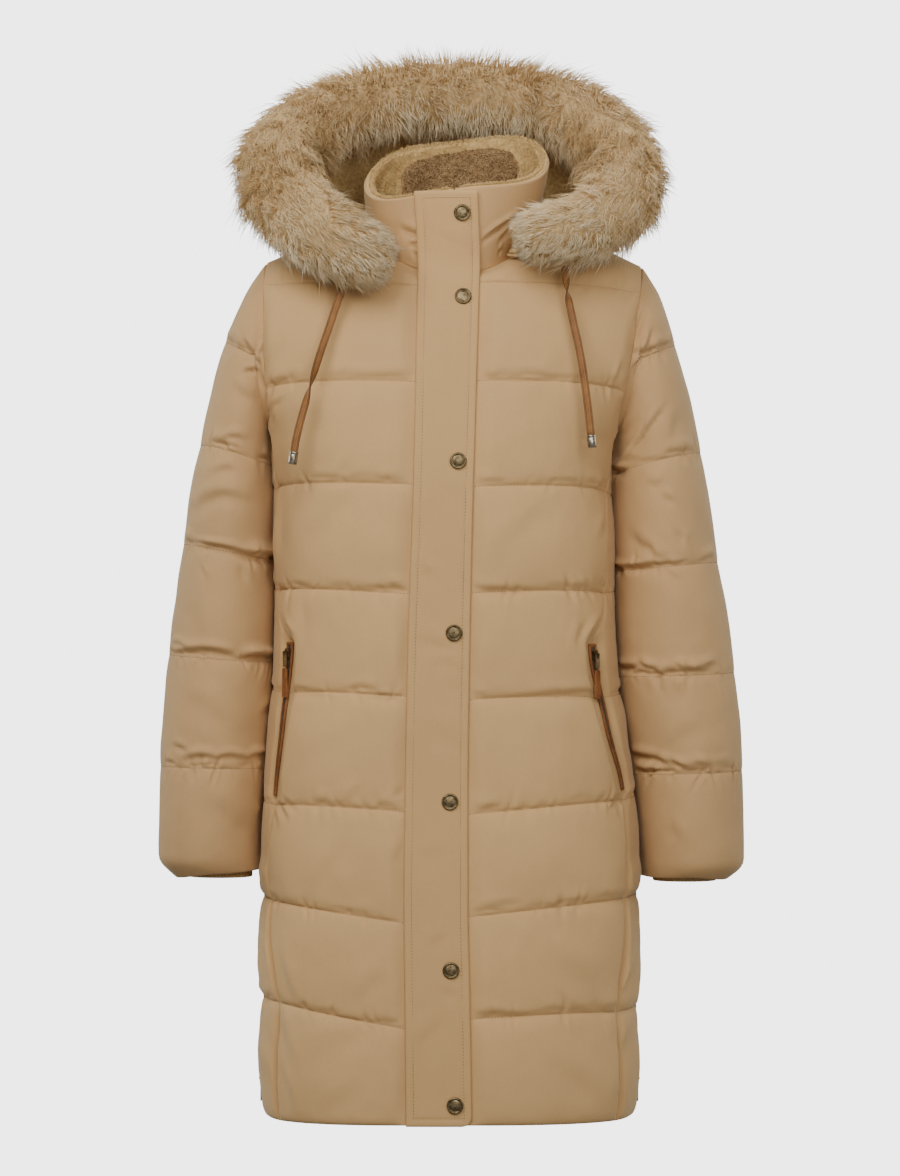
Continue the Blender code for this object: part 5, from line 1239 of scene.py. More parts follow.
def fold_relief(x, z, folds):
    """The folds of a table: a trough with a ridge on one side, along a bent line."""
    found = np.zeros_like(x)
    for x1, z1, x2, z2, bend, width, depth in np.array(folds, float).reshape(-1, 7) / 1000:
        run_x, run_z = x2 - x1, z2 - z1
        length = math.hypot(run_x, run_z)
        along = ((x - x1) * run_x + (z - z1) * run_z) / length**2
        across = ((z - z1) * run_x - (x - x1) * run_z) / length
        t = np.clip(along, 0, 1)
        across = (across - bend * 4 * t * (1 - t)) / width
        beyond = (along - t) * length / width
        taper = np.sin(np.pi * np.clip(t, 0.04, 0.96)) ** 0.6 * np.exp(-(beyond**2))
        sharp = np.where(across > 0, across * 1.35, across * 0.8)
        ridge = 0.75 * np.exp(-((across - 1.5) ** 2))
        found += FOLD_GAIN * depth * taper * (ridge - np.exp(-(sharp**2)))
    return found


def mirrored(folds):
    """The same folds on the coat's other side, each turned so that its ridge stays above it."""
    return [(-x2, z2, -x1, z1, bend, width, depth) for x1, z1, x2, z2, bend, width, depth in folds]


BODY_DROOP, SLEEVE_DROOP = 0.0012, 0.0034
SWELL_AT, SWELL_WIDTH = 0.0110, 0.0060  # above a quilt line
CREASE_AT, CREASE_WIDTH = 0.0036, 0.0024


def droop_relief(points, off, seed, depth):
    """Cloth that sags over each quilt line: an uneven swelling with a sharp crease below it."""
    found = np.zeros_like(points[..., 0])
    for line, d in off.items():
        swell = np.clip(0.35 + 1.3 * noise_at(points, 0.021, seed + line), 0, 1.5)
        wander = 0.0022 * noise_at(points, 0.013, seed + 20 + line)
        crease = np.exp(-(((d - CREASE_AT - wander) / CREASE_WIDTH) ** 2))
        form = np.exp(-(((d - SWELL_AT - wander) / SWELL_WIDTH) ** 2)) - 1.2 * crease
        found += depth * swell * np.where(d > 0, form, 0)
    return found


def line_offsets(points, v, lines):
    """For each quilt line, each point's height above it along the wall."""
    found = {}
    for line in lines:
        row = np.array([np.interp(line, v[:, 0], points[:, j, 2]) for j in range(points.shape[1])])
        found[line] = points[..., 2] - row[None]
    return found


def arc_along(points):
    """Distance along each row of a grid from its first column."""
    steps = np.linalg.norm(np.diff(points, axis=1), axis=-1)
    return np.concatenate([np.zeros((len(points), 1)), np.cumsum(steps, axis=1)], axis=1)


def drawn_in(points, gap=FINE_GAP):
    """The grid with its sewn edges, all but the hem, drawn back by the seam gap."""
    points = points.copy()
    points[:, 0] += unit(points[:, 1] - points[:, 0]) * gap
    points[:, -1] += unit(points[:, -2] - points[:, -1]) * gap
    points[0] += unit(points[1] - points[0]) * gap
    return points


SEEDS = {"front_right": 11, "front_left": 21, "side_right": 31, "side_left": 41, "back": 51,
         "sleeve_right": 61, "sleeve_left": 71}
PUFFED = 0.003  # puff from which a place has its full relief


def quilted(inner, normals, height, node, lines, v, folds=(), hidden_folds=(), puckers=BODY_PUCKERS,
            droop=BODY_DROOP, calm=0.0, fold_calm=0.0):
    """The outer face: cloth, uneven puff, gathers at the lines, and folds in front and behind."""
    seed = SEEDS[node]
    uneven = 0.12 * noise_at(inner, 0.070, seed) + 0.07 * noise_at(inner, 0.026, seed + 1)
    height = height * (1 + uneven * 1.5)
    outer = inner + normals * (CLOTH + height)[..., None]
    share = np.clip(height / PUFFED, 0, 1)
    off = line_offsets(inner, v, lines)
    relief = 0.00035 * noise_at(inner, 0.011, seed + 2) + droop_relief(inner, off, seed + 5, droop)
    gathers = pucker_relief(arc_along(inner), off, lines, seed + 3, puckers)
    relief = relief * share + gathers * np.clip(share + 0.2, 0, 1)
    relief = relief * (1 - calm)
    share = share * (1 - fold_calm)
    ahead = smooth_step(0.5 - 1.6 * normals[..., 1])
    for table, part in ((folds, ahead), (hidden_folds, 1 - ahead)):
        if table:
            relief = relief + fold_relief(outer[..., 0], outer[..., 2], table) * share * part
    relief = np.maximum(relief, -(height + 0.35 * CLOTH))
    return outer + normals * relief[..., None]


def line_paths(outer, normals, v, lines):
    """Where each quilt line is stitched: points just off the cloth and outward directions."""
    rows = [int(np.argmin(np.abs(v[:, 0] - line))) for line in lines]
    return [(outer[i] + normals[i] * STITCH_LIFT, normals[i]) for i in rows]


def add_panel(node, outer, inner, look="shell", closed=False):
    add_piece(node + "_cloth", *fine_wall(outer, inner, WALL_STRIDE, closed), look, "shell", [node])


STITCH_LIFT = 0.0001
WALL_STRIDE = 6  # of the outer face's points, how many go to one on the inner face
FOLD_GAIN = 1.7
# Folds given one by one, in millimetres: X and Z of both ends, the bend, the width and the depth.
# A fold has its ridge on the left of the way from its first end to its second.
FOLDS = {
    "front_right": (
        (-187, -193, -173, -184, 1, 3.1, 1.8), (-188, -196, -181, -206, 0, 2.6, 1.6),
        (-193, -153, -162, -114, 0, 9.2, 0.9), (-154, -349, -86, -269, 3.1, 12.3, 1.3),
        (-119, -271, -105, -249, 0, 5.1, 0.9), (-177, -349, -174, -288, 0, 5.1, 1.2),
        (-66, -373, -43, -382, 0, 4.1, 1.6), (-51, -380, -42, -383, 0, 2.6, 1.6),
        (-153, -436, -150, -392, 0, 7.2, 1.3), (-176, -410, -164, -424, 0, 3.1, 1.8),
        (-160, -487, -123, -491, 1, 4.1, 1), (-92, -491, -47, -494, 1, 4.1, 1.4),
        (-102, -598, -92, -580, 0, 5.1, 1), (-58, -590, -44, -581, 0, 3.1, 1.6),
        (-55, -609, -43, -604, 0, 3.1, 1.8), (-47, -618, -42, -608, 0, 2.6, 1.2),
        (-180, -597, -166, -618, 0, 2.6, 1.4), (-183, -606, -178, -622, 0, 2, 1.2),
        (-172, -596, -158, -608, 0, 3.1, 1), (-55, -655, -43, -638, 0, 5.1, 1),
        (-133, -687, -113, -641, 0, 8.2, 0.9), (-50, -718, -45, -725, 0, 3.1, 1.6),
        (-92, -800, -61, -769, 1, 9.2, 1), (-51, -828, -45, -826, 0, 2.6, 1.6),
        (-177, -756, -164, -803, -1, 6.1, 1.3), (-177, -814, -169, -862, 0, 6.1, 1.3),
        (-176, -869, -167, -906, 0, 5.1, 1.2), (-136, -869, -72, -821, 2, 14.3, 1),
        (-154, -554, -102, -534, 0, 13.3, 0.8), (-123, -913, -92, -887, 0, 10.2, 0.8),
    ),
    "front_left": (
        (171, -165, 179, -146, 0, 3.1, 1.4), (155, -280, 160, -262, 0, 3.1, 1.4),
        (156, -321, 165, -307, 0, 3.6, 1.6), (31, -384, 84, -381, 1, 4.1, 1.2),
        (156, -370, 161, -379, 0, 3.1, 1.4), (143, -434, 160, -410, 1, 4.1, 2),
        (151, -431, 165, -415, 0, 3.1, 1.6), (133, -434, 138, -415, 0, 5.1, 1.2),
        (64, -493, 135, -488, 1, 5.1, 1.1), (128, -520, 149, -549, 0, 9.2, 0.8),
        (165, -607, 175, -594, 0, 3.1, 1.4), (174, -599, 180, -617, 0, 3.1, 1.4),
        (29, -606, 53, -600, 0, 4.1, 1), (110, -793, 124, -808, 0, 5.1, 1),
        (92, -746, 141, -791, 1, 12.3, 0.9), (99, -862, 151, -906, 1, 12.3, 1),
        (51, -349, 113, -288, 2, 13.3, 0.9), (72, -206, 133, -134, 0, 12.3, 0.7),
        (150, -800, 160, -841, 0, 6.1, 0.9), (36, -703, 72, -700, 0, 4.1, 0.9),
        (41, -813, 82, -817, 0, 4.1, 0.9),
    ),
    "side_right": (
        (-183, -505, -187, -545, 0, 6, 1.2), (-184, -660, -188, -700, 1, 6, 1.2),
        (-176, -770, -188, -735, 0, 5, 1.5), (-177, -880, -189, -840, 1, 7, 1.3),
    ),
    "side_left": (
        (180, -799, 194, -768, 0, 4.2, 2), (168, -897, 195, -827, 2.1, 7.3, 1.5),
        (187, -515, 191, -557, 0, 6.2, 1),
    ),
    "back": (
        (-110, -175, -40, -215, 2, 12, 1.1), (60, -150, 20, -235, 0, 11, 0.9),
        (-150, -255, -120, -262, 1, 4, 1.6), (-60, -268, -20, -270, 1, 4, 1.2),
        (35, -267, 70, -269, -1, 4, 1.3), (120, -262, 148, -268, 0, 4, 1.8),
        (-90, -290, -30, -365, 3, 13, 1.2), (40, -300, 95, -362, -2, 12, 1.0),
        (-140, -374, -95, -379, 1, 4, 1.4), (10, -376, 60, -378, 1, 4, 1.1),
        (-30, -400, 30, -470, 2, 14, 1.0), (-150, -410, -125, -470, 0, 8, 1.2),
        (105, -402, 150, -455, 1, 10, 1.2), (-80, -482, -35, -485, 1, 4, 1.2),
        (70, -480, 120, -486, -1, 4, 1.5), (-120, -510, -60, -585, 2, 13, 1.2),
        (60, -505, 100, -580, 0, 11, 0.9), (-20, -600, 30, -603, 1, 4, 1.2),
        (-155, -596, -120, -604, 0, 4, 1.5), (110, -640, 40, -700, 2, 14, 1.1),
        (-60, -625, -100, -690, 0, 12, 0.9), (-30, -712, 25, -714, 1, 4, 1.1),
        (85, -708, 130, -712, 0, 4, 1.4), (-110, -735, -50, -805, 2, 13, 1.1),
        (40, -740, 70, -800, 0, 10, 0.9), (120, -820, 60, -905, 2, 14, 1.1),
        (-40, -835, -85, -910, 0, 13, 1.0), (-150, -830, -140, -880, 0, 7, 1.2),
    ),
    "sleeve_right": (
        (-214, -155, -198, -153, 1, 3.1, 1.8), (-198, -155, -190, -175, 0, 4.1, 1.2),
        (-224, -169, -203, -185, -2.1, 7.2, 1.6), (-236, -226, -213, -225, 3.1, 4.1, 2),
        (-234, -228, -229, -241, 0, 3.1, 1.4), (-244, -261, -222, -256, 2.1, 5.2, 1.5),
        (-263, -296, -211, -289, 8.3, 7.2, 2.4), (-259, -337, -222, -342, 2.1, 4.1, 3),
        (-228, -340, -182, -350, -1, 4.1, 3.6), (-259, -355, -254, -367, 0, 3.1, 1.2),
        (-217, -355, -211, -372, 0, 4.1, 1.4), (-189, -357, -178, -380, 0, 4.1, 2),
        (-273, -444, -228, -447, 2.1, 4.1, 3), (-292, -437, -272, -440, 2.1, 3.1, 1.4),
        (-213, -450, -176, -454, 2.1, 4.1, 3.4), (-288, -542, -275, -547, 1, 3.1, 1.6),
        (-275, -557, -242, -556, 3.1, 4.1, 2.6), (-242, -556, -213, -557, 3.1, 3.6, 2.4),
        (-211, -556, -186, -554, 2.1, 3.6, 2.6), (-195, -511, -183, -496, 0, 4.1, 1.5),
        (-269, -390, -263, -432, 0, 9.3, 1), (-275, -494, -222, -530, 2.1, 12.4, 1.2),
        (-259, -597, -207, -639, 0, 14.5, 1.3), (-201, -616, -193, -610, 0, 3.1, 1.2),
        (-222, -111, -236, -138, 0, 6.2, 1), (-214, -119, -206, -135, 0, 2.8, 1.6),
    ),
    "sleeve_left": (
        (203, -133, 210, -110, 0, 2.8, 1.6), (183, -143, 203, -87, 1, 3.4, 2.2),
        (181, -252, 225, -188, 2.1, 2.9, 2.6), (178, -215, 193, -200, 0, 2.7, 1.8),
        (181, -193, 182, -149, 0, 3.4, 1.4), (233, -220, 237, -199, 0, 6.2, 1),
        (168, -255, 183, -257, 0, 4.1, 3), (205, -271, 222, -268, -3.1, 6.2, 1.2),
        (219, -284, 232, -290, 1, 4.1, 1.8), (186, -318, 203, -341, -2.1, 7.2, 1.6),
        (233, -318, 241, -333, 2.1, 4.1, 1.4), (203, -333, 221, -350, -2.1, 5.2, 2),
        (168, -359, 221, -357, 1, 3.6, 2.8), (172, -352, 179, -365, 0, 3.1, 2),
        (219, -360, 238, -372, 1, 5.2, 1), (171, -459, 197, -459, -2.1, 3.6, 2.6),
        (197, -455, 213, -462, -2.1, 3.6, 2.4), (233, -457, 241, -462, 0, 3.6, 2),
        (261, -460, 276, -458, 0, 4.1, 1.6), (223, -551, 261, -520, 0, 10.4, 1),
        (186, -553, 217, -557, 1, 4.1, 3.2), (213, -556, 227, -563, 0, 4.1, 2.4),
        (228, -558, 244, -565, 0, 3.1, 2.2), (251, -558, 265, -564, 0, 4.1, 1.4),
        (228, -625, 235, -640, 0, 7.2, 1), (248, -390, 259, -432, 0, 10.4, 0.9),
        (217, -484, 248, -494, 3.1, 12.4, 1),
    ),
    "placket": (
        (-31, -360, -19, -366, 0, 6.1, 0.8), (-29, -433, 0, -443, 1, 7.2, 0.9),
        (-16, -452, 5, -460, 0, 6.1, 0.7), (-24, -745, -3, -735, 0, 6.1, 0.8),
        (-13, -789, 8, -796, 0, 7.2, 0.8), (-31, -847, -10, -823, 0, 8.2, 0.8),
        (-10, -14, 9, -32, 0, 8.2, 0.8), (-18, -129, 5, -122, 0, 9.2, 0.5),
        (-20, -523, 2, -539, 0, 9.2, 0.6), (-26, -656, -4, -646, 0, 8.2, 0.6),
    ),
}


FRONT_COLUMNS = (7, 92)  # below the placket and beside it
SIDE_COLUMNS, BACK_COLUMNS = 46, 131
PLACKET_RISE, SEAM_RISE, SIDE_RISE = 0.08, 0.06, 0.12  # shares of a panel's width
RISE_STEEPNESS = 0.6
HOLE_BLEND = 0.020  # height over which a front's edge passes from the seam to the armhole
# Shares of a panel's width: where a zone at its outer edge starts, and over what it sets in. In the
# first the puff is the armhole's, and in the second the wall leans as the armhole's seam does.
FRONT_HOLE, BACK_HOLE = (0.84, 0.15), (0.86, 0.13)
FRONT_LEAN, BACK_LEAN = (0.90, 0.10), (0.92, 0.08)
BACK_SIDE = (0.82, 0.14)  # the part of the back that lies at the side
SHOULDER_LINES = 0.4  # quilt lines over which the armhole's puff grows from the shoulder


def make_front(side):
    node = "front_" + SIDES[side]
    below, beside = FRONT_COLUMNS
    columns = [np.linspace(0, PLACKET_COLUMN, below)[:-1], np.linspace(PLACKET_COLUMN, 1, beside)]
    u, v = np.meshgrid(np.concatenate(columns), fine_rows(0, HEM_LINE))
    surface = partial(front_point, side)
    inner = surface(u, v)
    normals = normals_of(surface, u, v, body_axis)
    share = front_share(u)
    height = BODY_PUFF * fullness(v) * np.where(v < 1, YOKE_PUFF, 1.0)
    height = height * smooth_step(share / PLACKET_RISE) ** RISE_STEEPNESS
    turn_z = quilt_height(side, ARMPIT_LINE, 1.0)
    hole = smooth_step((inner[:, -1:, 2] - turn_z + HOLE_BLEND / 2) / HOLE_BLEND)
    flat = POCKET_FLAT * close_to_pocket(side, inner[..., 2])
    height = height * mix(smooth_step((1 - share - flat) / SEAM_RISE) ** RISE_STEEPNESS, 1.0, hole)
    at_hole = ARMHOLE_PUFF * np.clip(v / SHOULDER_LINES, 0, 1)
    height = mix(height, at_hole, smooth_step((share - FRONT_HOLE[0]) / FRONT_HOLE[1]) * hole)
    height[:, -1] *= mix(1.0, SEAM_DIP, hole[:, 0])
    lean = np.clip((u - FRONT_LEAN[0]) / FRONT_LEAN[1], 0, 1) ** 2
    edge = armhole_out(side, armhole_angle(side, inner[..., -1:, 2]))
    normals = unit(mix(normals, edge, (lean * hole)[..., None]))
    lines = range(1, HEM_LINE)
    outer = quilted(inner, normals, height, node, lines, v, FOLDS[node])
    add_panel(node, drawn_in(outer), drawn_in(inner))
    start = below - 1
    return line_paths(outer[:, start:], normals[:, start:], v, lines)


def side_fullness(v, nearness, at_vent):
    """The puff under the sleeve, which fills the hollows at the quilt lines there."""
    return mix(fullness(v), 0.3 * fullness(v) + 0.7, nearness * (1 - at_vent))


def make_side(side):
    node = "side_" + SIDES[side]
    u, v = np.meshgrid(np.linspace(0, 1, SIDE_COLUMNS), fine_rows(ARMPIT_LINE, HEM_LINE))
    surface = partial(side_point, side)
    inner = surface(u, v)
    normals = normals_of(surface, u, v, body_axis)
    z = inner[..., 2]
    at_pocket, at_vent = close_to_pocket(side, z), beside_vent(z)
    height = BODY_PUFF * mix(UNDER_SLEEVE_SHARE, 1.0, at_vent)
    height = height * side_fullness(v, np.clip(u / 0.4, 0, 1), at_vent)
    height = height * smooth_step((u - SIDE_POCKET_FLAT * at_pocket) / SIDE_RISE) ** RISE_STEEPNESS
    at_seam = smooth_step((1 - u - VENT_FLAT * at_vent) / VENT_FADE)
    height = height * mix(at_seam, 1.0, SIDE_SEAM_PUFF * (1 - at_vent))
    height = height * smooth_step((v - ARMPIT_LINE) / ARMPIT_FADE)
    lines = range(math.ceil(ARMPIT_LINE), HEM_LINE)
    outer = quilted(inner, normals, height, node, lines, v, FOLDS[node], FOLDS[node])
    add_panel(node, drawn_in(outer), drawn_in(inner))
    return line_paths(outer, normals, v, lines)


def make_back():
    u, v = np.meshgrid(np.linspace(-1, 1, BACK_COLUMNS), fine_rows(0, HEM_LINE))
    inner = back_point(u, v)
    normals = normals_of(back_point, u, v, body_axis)
    z = inner[..., 2]
    at_vent = beside_vent(z)
    fade = mix(SLEEVE_SHADOW, BACK_FADE, at_vent)
    at_side = smooth_step((np.abs(u) - BACK_SIDE[0]) / BACK_SIDE[1])
    height = BODY_PUFF * side_fullness(v, at_side, at_vent) * np.where(v < 1, YOKE_PUFF, 1.0)
    pressed = SIDE_SEAM_PUFF * UNDER_SLEEVE_SHARE * (1 - at_vent)
    rise = mix(smooth_step((1 - np.abs(u) - BACK_VENT_FLAT * at_vent) / fade), 1.0, pressed)
    at_hole = ARMHOLE_PUFF * np.clip(v / SHOULDER_LINES, 0, 1)
    for side, edge in ((RIGHT, 0), (LEFT, -1)):
        middle, reach = armhole_heights(side)
        hole = smooth_step((z[:, edge] - middle + reach + 0.004) / 0.016)[:, None]
        rise = np.where(u * side > 0, mix(rise, 1.0, hole), rise)
        height = mix(height, at_hole, smooth_step((u * side - BACK_HOLE[0]) / BACK_HOLE[1]) * hole)
        out = armhole_out(side, -armhole_angle(side, z[:, edge]))
        lean = np.clip((u * side - BACK_LEAN[0]) / BACK_LEAN[1], 0, 1) ** 2
        normals = unit(mix(normals, out[:, None], (lean * hole)[..., None]))
    height[:, [0, -1]] *= SEAM_DIP
    lines = range(1, HEM_LINE)
    outer = quilted(inner, normals, height * rise, "back", lines, v, (), FOLDS["back"])
    add_panel("back", drawn_in(outer), drawn_in(inner))
    return line_paths(outer, normals, v, lines)


SLEEVE_COLUMNS = (112, 62)  # in front and behind
EDGE_ARCH = (0.22, 0.70)  # on its outer edge, the arch's share and what is always there
CAP_BLEND, CAP_LEAN = 0.40, 0.14  # places v up to which the armhole's puff and lean are felt
OUTER_CALM, INNER_CALM = 0.09, (0.93, 0.05)  # parts of its width, from the outer edge, with no folds
HIDDEN_LINE = 0.16  # place v up to which its first line has run into the armhole and has no stitches


def make_sleeve(side):
    node = "sleeve_" + SIDES[side]
    halves = ((0, 0.5), (0.5, 1))
    columns = [np.linspace(*half, count)[:-1] for half, count in zip(halves, SLEEVE_COLUMNS)]
    columns = np.concatenate(columns)
    u, line = np.meshgrid(columns, fine_rows(0, SLEEVE_LINES, SLEEVE_ROWS, SLEEVE_CROWDING))
    first = cap_place(side, columns)[None]
    v = np.where(line < 1, line * first, np.where(line < 2, first + (line - 1) * (2 - first), line))
    surface = partial(sewn_sleeve_point, side)
    inner = surface(u, v)
    centres = inner.mean(axis=1, keepdims=True)
    normals = normals_of(surface, u, v, lambda points: centres, closed=True)
    pressed = (1 - np.cos(u * 2 * math.pi)) / 2
    no_line = smooth_step((0.50 - first) / 0.35) * smooth_step((1.5 - line) / 0.3)
    arch = mix(fullness(line, SLEEVE_SAG), smooth_step(v / 0.6), no_line)
    arch = mix(arch, EDGE_ARCH[0] * arch + EDGE_ARCH[1], smooth_step(1 - pressed * 2.4))
    height = SLEEVE_PUFF * mix(arch, INNER_PUFF, smooth_step(pressed * 2 - 0.9))
    from_shoulder = np.minimum(u, 1 - u) * 2 * math.pi
    at_top = ARMHOLE_PUFF * smooth_step((1 - pressed) * 7)
    at_top = at_top * np.clip(from_shoulder / SHOULDER_RISE, 0, 1)
    height = mix(height, at_top, smooth_step(1 - v / CAP_BLEND))
    height[0] *= SEAM_DIP
    lean = np.clip(1 - v / CAP_LEAN, 0, 1) ** 2
    normals = unit(mix(normals, armhole_out(side, u * 2 * math.pi), lean[..., None]))
    lines = range(1, SLEEVE_LINES)
    at_edge = smooth_step(1 - pressed / OUTER_CALM)
    fold_calm = np.maximum(at_edge, smooth_step((pressed - INNER_CALM[0]) / INNER_CALM[1]))
    calm = np.maximum(fold_calm, no_line)
    behind = mirrored(FOLDS["sleeve_" + SIDES[-side]])
    outer = quilted(inner, normals, height, node, lines, line, FOLDS[node], behind, SLEEVE_PUCKERS,
                    SLEEVE_DROOP, calm, fold_calm)
    for face in (outer, inner):
        face[0] += unit(face[1] - face[0]) * FINE_GAP
    # The sleeves wear the shell cloth painted darker, as painted shade.
    add_panel(node, outer, inner, "sleeve", closed=True)
    half = len(columns) // 2
    cap, *others = [[np.roll(part, half, axis=0) for part in path]
                    for path in line_paths(outer, normals, line, lines)]
    shown = np.roll(first[0] > HIDDEN_LINE, half)
    return [tuple(part[shown] for part in cap)] + [
        tuple(np.concatenate([part, part[:1]]) for part in path) for path in others]


CUFF_RIBS, RIB_STEPS = 44, 4
# Heights of its rings above its end, where the last one turns in
CUFF_DEPTHS = (0.038, 0.028, 0.018, 0.009, 0.0045, 0.0015, 0.0)


def make_cuff(side):
    """Rib-knit funnel inside the sleeve's hem."""
    count = CUFF_RIBS * RIB_STEPS
    u = np.arange(count) / count
    angle = u * 2 * math.pi
    above, below = (sleeve_point(side, u, np.full(count, v)) for v in (SLEEVE_LINES - 1.0, SLEEVE_TURN))
    start = mix(above, below, CUFF_START)
    middle = start.mean(axis=0)
    start = middle + (start - middle) * np.array([0.945, 0.955, 1.0])
    inside = middle + (start - middle) * np.array([0.94, 0.95, 1.0]) + UP * 0.001
    rib = CUFF_RIB * (0.5 + 0.5 * np.cos(angle * CUFF_RIBS))
    outer_rows, inner_rows = [start], [inside]
    away = points_of(side * np.cos(angle), -np.sin(angle), 0.0)
    for depth in CUFF_DEPTHS:
        base = np.array([*CUFF_CENTRE[side], CUFF_END_Z[side] + depth])
        shrink = 0.0008 * (depth == 0)
        outer_rows.append(base + away * (CUFF_RADIUS + rib - shrink)[:, None])
        inner_rows.append(base + away * (CUFF_RADIUS - CUFF_WALL + shrink))
    wall = fine_wall(np.array(outer_rows), np.array(inner_rows), 1, closed=True)
    add_piece(f"cuff_{SIDES[side]}_knit", *wall, "rib", "rib", ["cuff_" + SIDES[side]])


# ---------------------------------------------------------------- collar, hood and fur


# Folds of the collar, as those of the coat, but in thousandths of a radian round the neck
COLLAR_FOLDS = (
    (-530, 19, -440, 22, 1, 3, 2.8), (-500, 12, -320, 4, 0, 4, 1.5),
    (-640, 36, -340, 27, 1, 6, 1.7), (330, 23, 790, 41, 2, 3.2, 2.6),
    (560, 20, 700, 30, 0, 5, 1.3), (590, 3, 620, 15, 0, 3, 1.8),
    (-520, 2, -505, 12, 0, 3, 1.6), (-330, 30, -300, 55, 0, 9, 0.9),
    (1500, 20, 1900, 36, 2, 6, 1.4), (2500, 18, 2900, 30, 0, 7, 1.3),
    (3700, 22, 4050, 30, 0, 6, 1.4), (4600, 18, 4900, 34, 0, 6, 1.3),
)
COLLAR_OPEN, COLLAR_SHIFT = 0.008, 0.03  # half the gap between its ends and its place, in radians
COLLAR_HEIGHT = 0.075  # as its folds are measured
SPOT_RADIUS, SPOT_HEIGHT = 0.09, 0.08  # of the plain collar on which its unevenness lies
FACING_FOOT, FACING_TOP = 0.08, 0.93  # shares of the collar's height
PLUSH_HAIRS, CURLY_HAIRS = 5200, 3600
PLUSH_LONG, PLUSH_WIDTH, PLUSH_SPREAD = (0.0030, 0.0052), (0.0003, 0.0005), 0.30
CURLY_LONG, CURLY_WIDTH, CURLY_SPREAD = (0.0028, 0.0046), (0.0004, 0.0007), 0.45
HOOD_SEAMS = (0.26,)  # share of the way from the hood's middle to its end, on each side
HOOD_SEAM_WIDTH = 0.010
HOOD_COLUMNS, HOOD_ROWS = 200, 70


def band(name, look, slot, node, angles, heights, out_by, in_by, stride=3, true_height=None):
    """A ring of the collar, between two offsets from its inner face."""
    angle, height = np.meshgrid(angles, heights)
    away = from_neck(angle)
    face = collar_point(angle, true_height(angle, height) if true_height else height)
    outer, inner = (face + away * offset(angle, height)[..., None] for offset in (out_by, in_by))
    add_piece(name, *fine_wall(outer, inner, stride), look, slot, [node])


def collar_spot(angle, height):
    """A place on a plain round collar, for its unevenness."""
    round_neck = (np.cos(angle) * SPOT_RADIUS, np.sin(angle) * SPOT_RADIUS)
    return np.stack([*round_neck, height * SPOT_HEIGHT], -1)


def make_collar():
    angles = np.linspace(COLLAR_OPEN, 2 * math.pi - COLLAR_OPEN, 260) - COLLAR_SHIFT

    def shell_out(angle, height):
        edge = 1 - np.clip((height - 0.97) / 0.03, 0, 1) ** 2
        ease = np.clip(height / 0.06, 0, 1)
        turn = np.where(angle > 5.3, angle - 2 * math.pi, angle)
        folds = fold_relief(turn, height * COLLAR_HEIGHT, COLLAR_FOLDS)
        uneven = 0.0009 * noise_at(collar_spot(angle, height), 0.03, 81) * np.sin(np.pi * height)
        return CLOTH * mix(0.4, 1.0, edge) + (uneven + folds) * ease

    heights = np.linspace(COLLAR_FOOT, 1, 42)
    # The collar wears the shell cloth painted darker: painted shade.
    band("collar_cloth", "sleeve", "shell", "collar_shell", angles, heights, shell_out, lambda a,
         h: 0 * h)

    def rim_height(angle, height):
        """The pile's own height: past the rim it stands up most at the wearer's right back."""
        back = smooth_step(0.5 - 0.8 * np.cos(angle))
        reach = 0.012 + 0.025 * back + 0.035 * np.exp(-(((angle - 3.75) / 0.5) ** 2))
        return np.where(height > 1, 1 + (height - 1) * reach, height)

    def lining_out(angle, height):
        back = smooth_step(0.7 - 0.8 * np.cos(angle))
        over = np.interp(height, (1.0, 1.25, 1.5, 2.0), (0.0, 0.0014, 0.0010, -0.0010))
        return -FINE_GAP + over * back - 0.0012 * (1 - back) * (height > 1)

    def lining_in(angle, height):
        spot = collar_spot(angle, height)
        pile = 0.0012 * noise_at(spot, 0.009, 83) + 0.0006 * noise_at(spot, 0.0035, 84)
        full = smooth_step(0.35 - 0.6 * np.cos(angle))
        thick = np.interp(height, (0.0, 0.80, 1.0, 1.5, 2.0), (LINING, 0.0060, 0.0075, 0.0070, 0.0035))
        return -thick - pile - 0.0025 * full * smooth_step((height - 0.80) / 0.20) * (height < 1.9)

    heights = np.concatenate([np.linspace(0.03, 0.98, 18), [1.0, 1.25, 1.5, 1.75, 2.0]])
    band("collar_pile", "plush", "plush", "collar_lining", angles, heights, lining_out, lining_in, 1,
         rim_height)

    def facing_in(angle, height):
        across = (angle - FACING_FROM) / (FACING_TO - FACING_FROM) * 2 - 1
        up = (height - FACING_FOOT) / (FACING_TOP - FACING_FOOT) * 2 - 1
        spot = collar_spot(angle, height)
        outline = np.abs(across) ** 3.2 + np.abs(up) ** 3.2 + 0.10 * noise_at(spot, 0.012, 87)
        crown = np.clip(1 - outline, 0, 1) ** 0.5
        curls = 0.0021 * noise_at(spot, 0.0060, 85) + 0.0009 * noise_at(spot, 0.0028, 86)
        return -LINING + 0.0006 - crown * (0.0085 + curls)

    band("neck_pile", "curly", "curly_plush", "neck_facing", np.linspace(FACING_FROM, FACING_TO, 120),
         np.linspace(FACING_FOOT, FACING_TOP, 64), lambda a, h: -LINING + 0.0022 + 0 * h, facing_in, 1)
    make_collar_hair(rim_height, lining_in, facing_in)


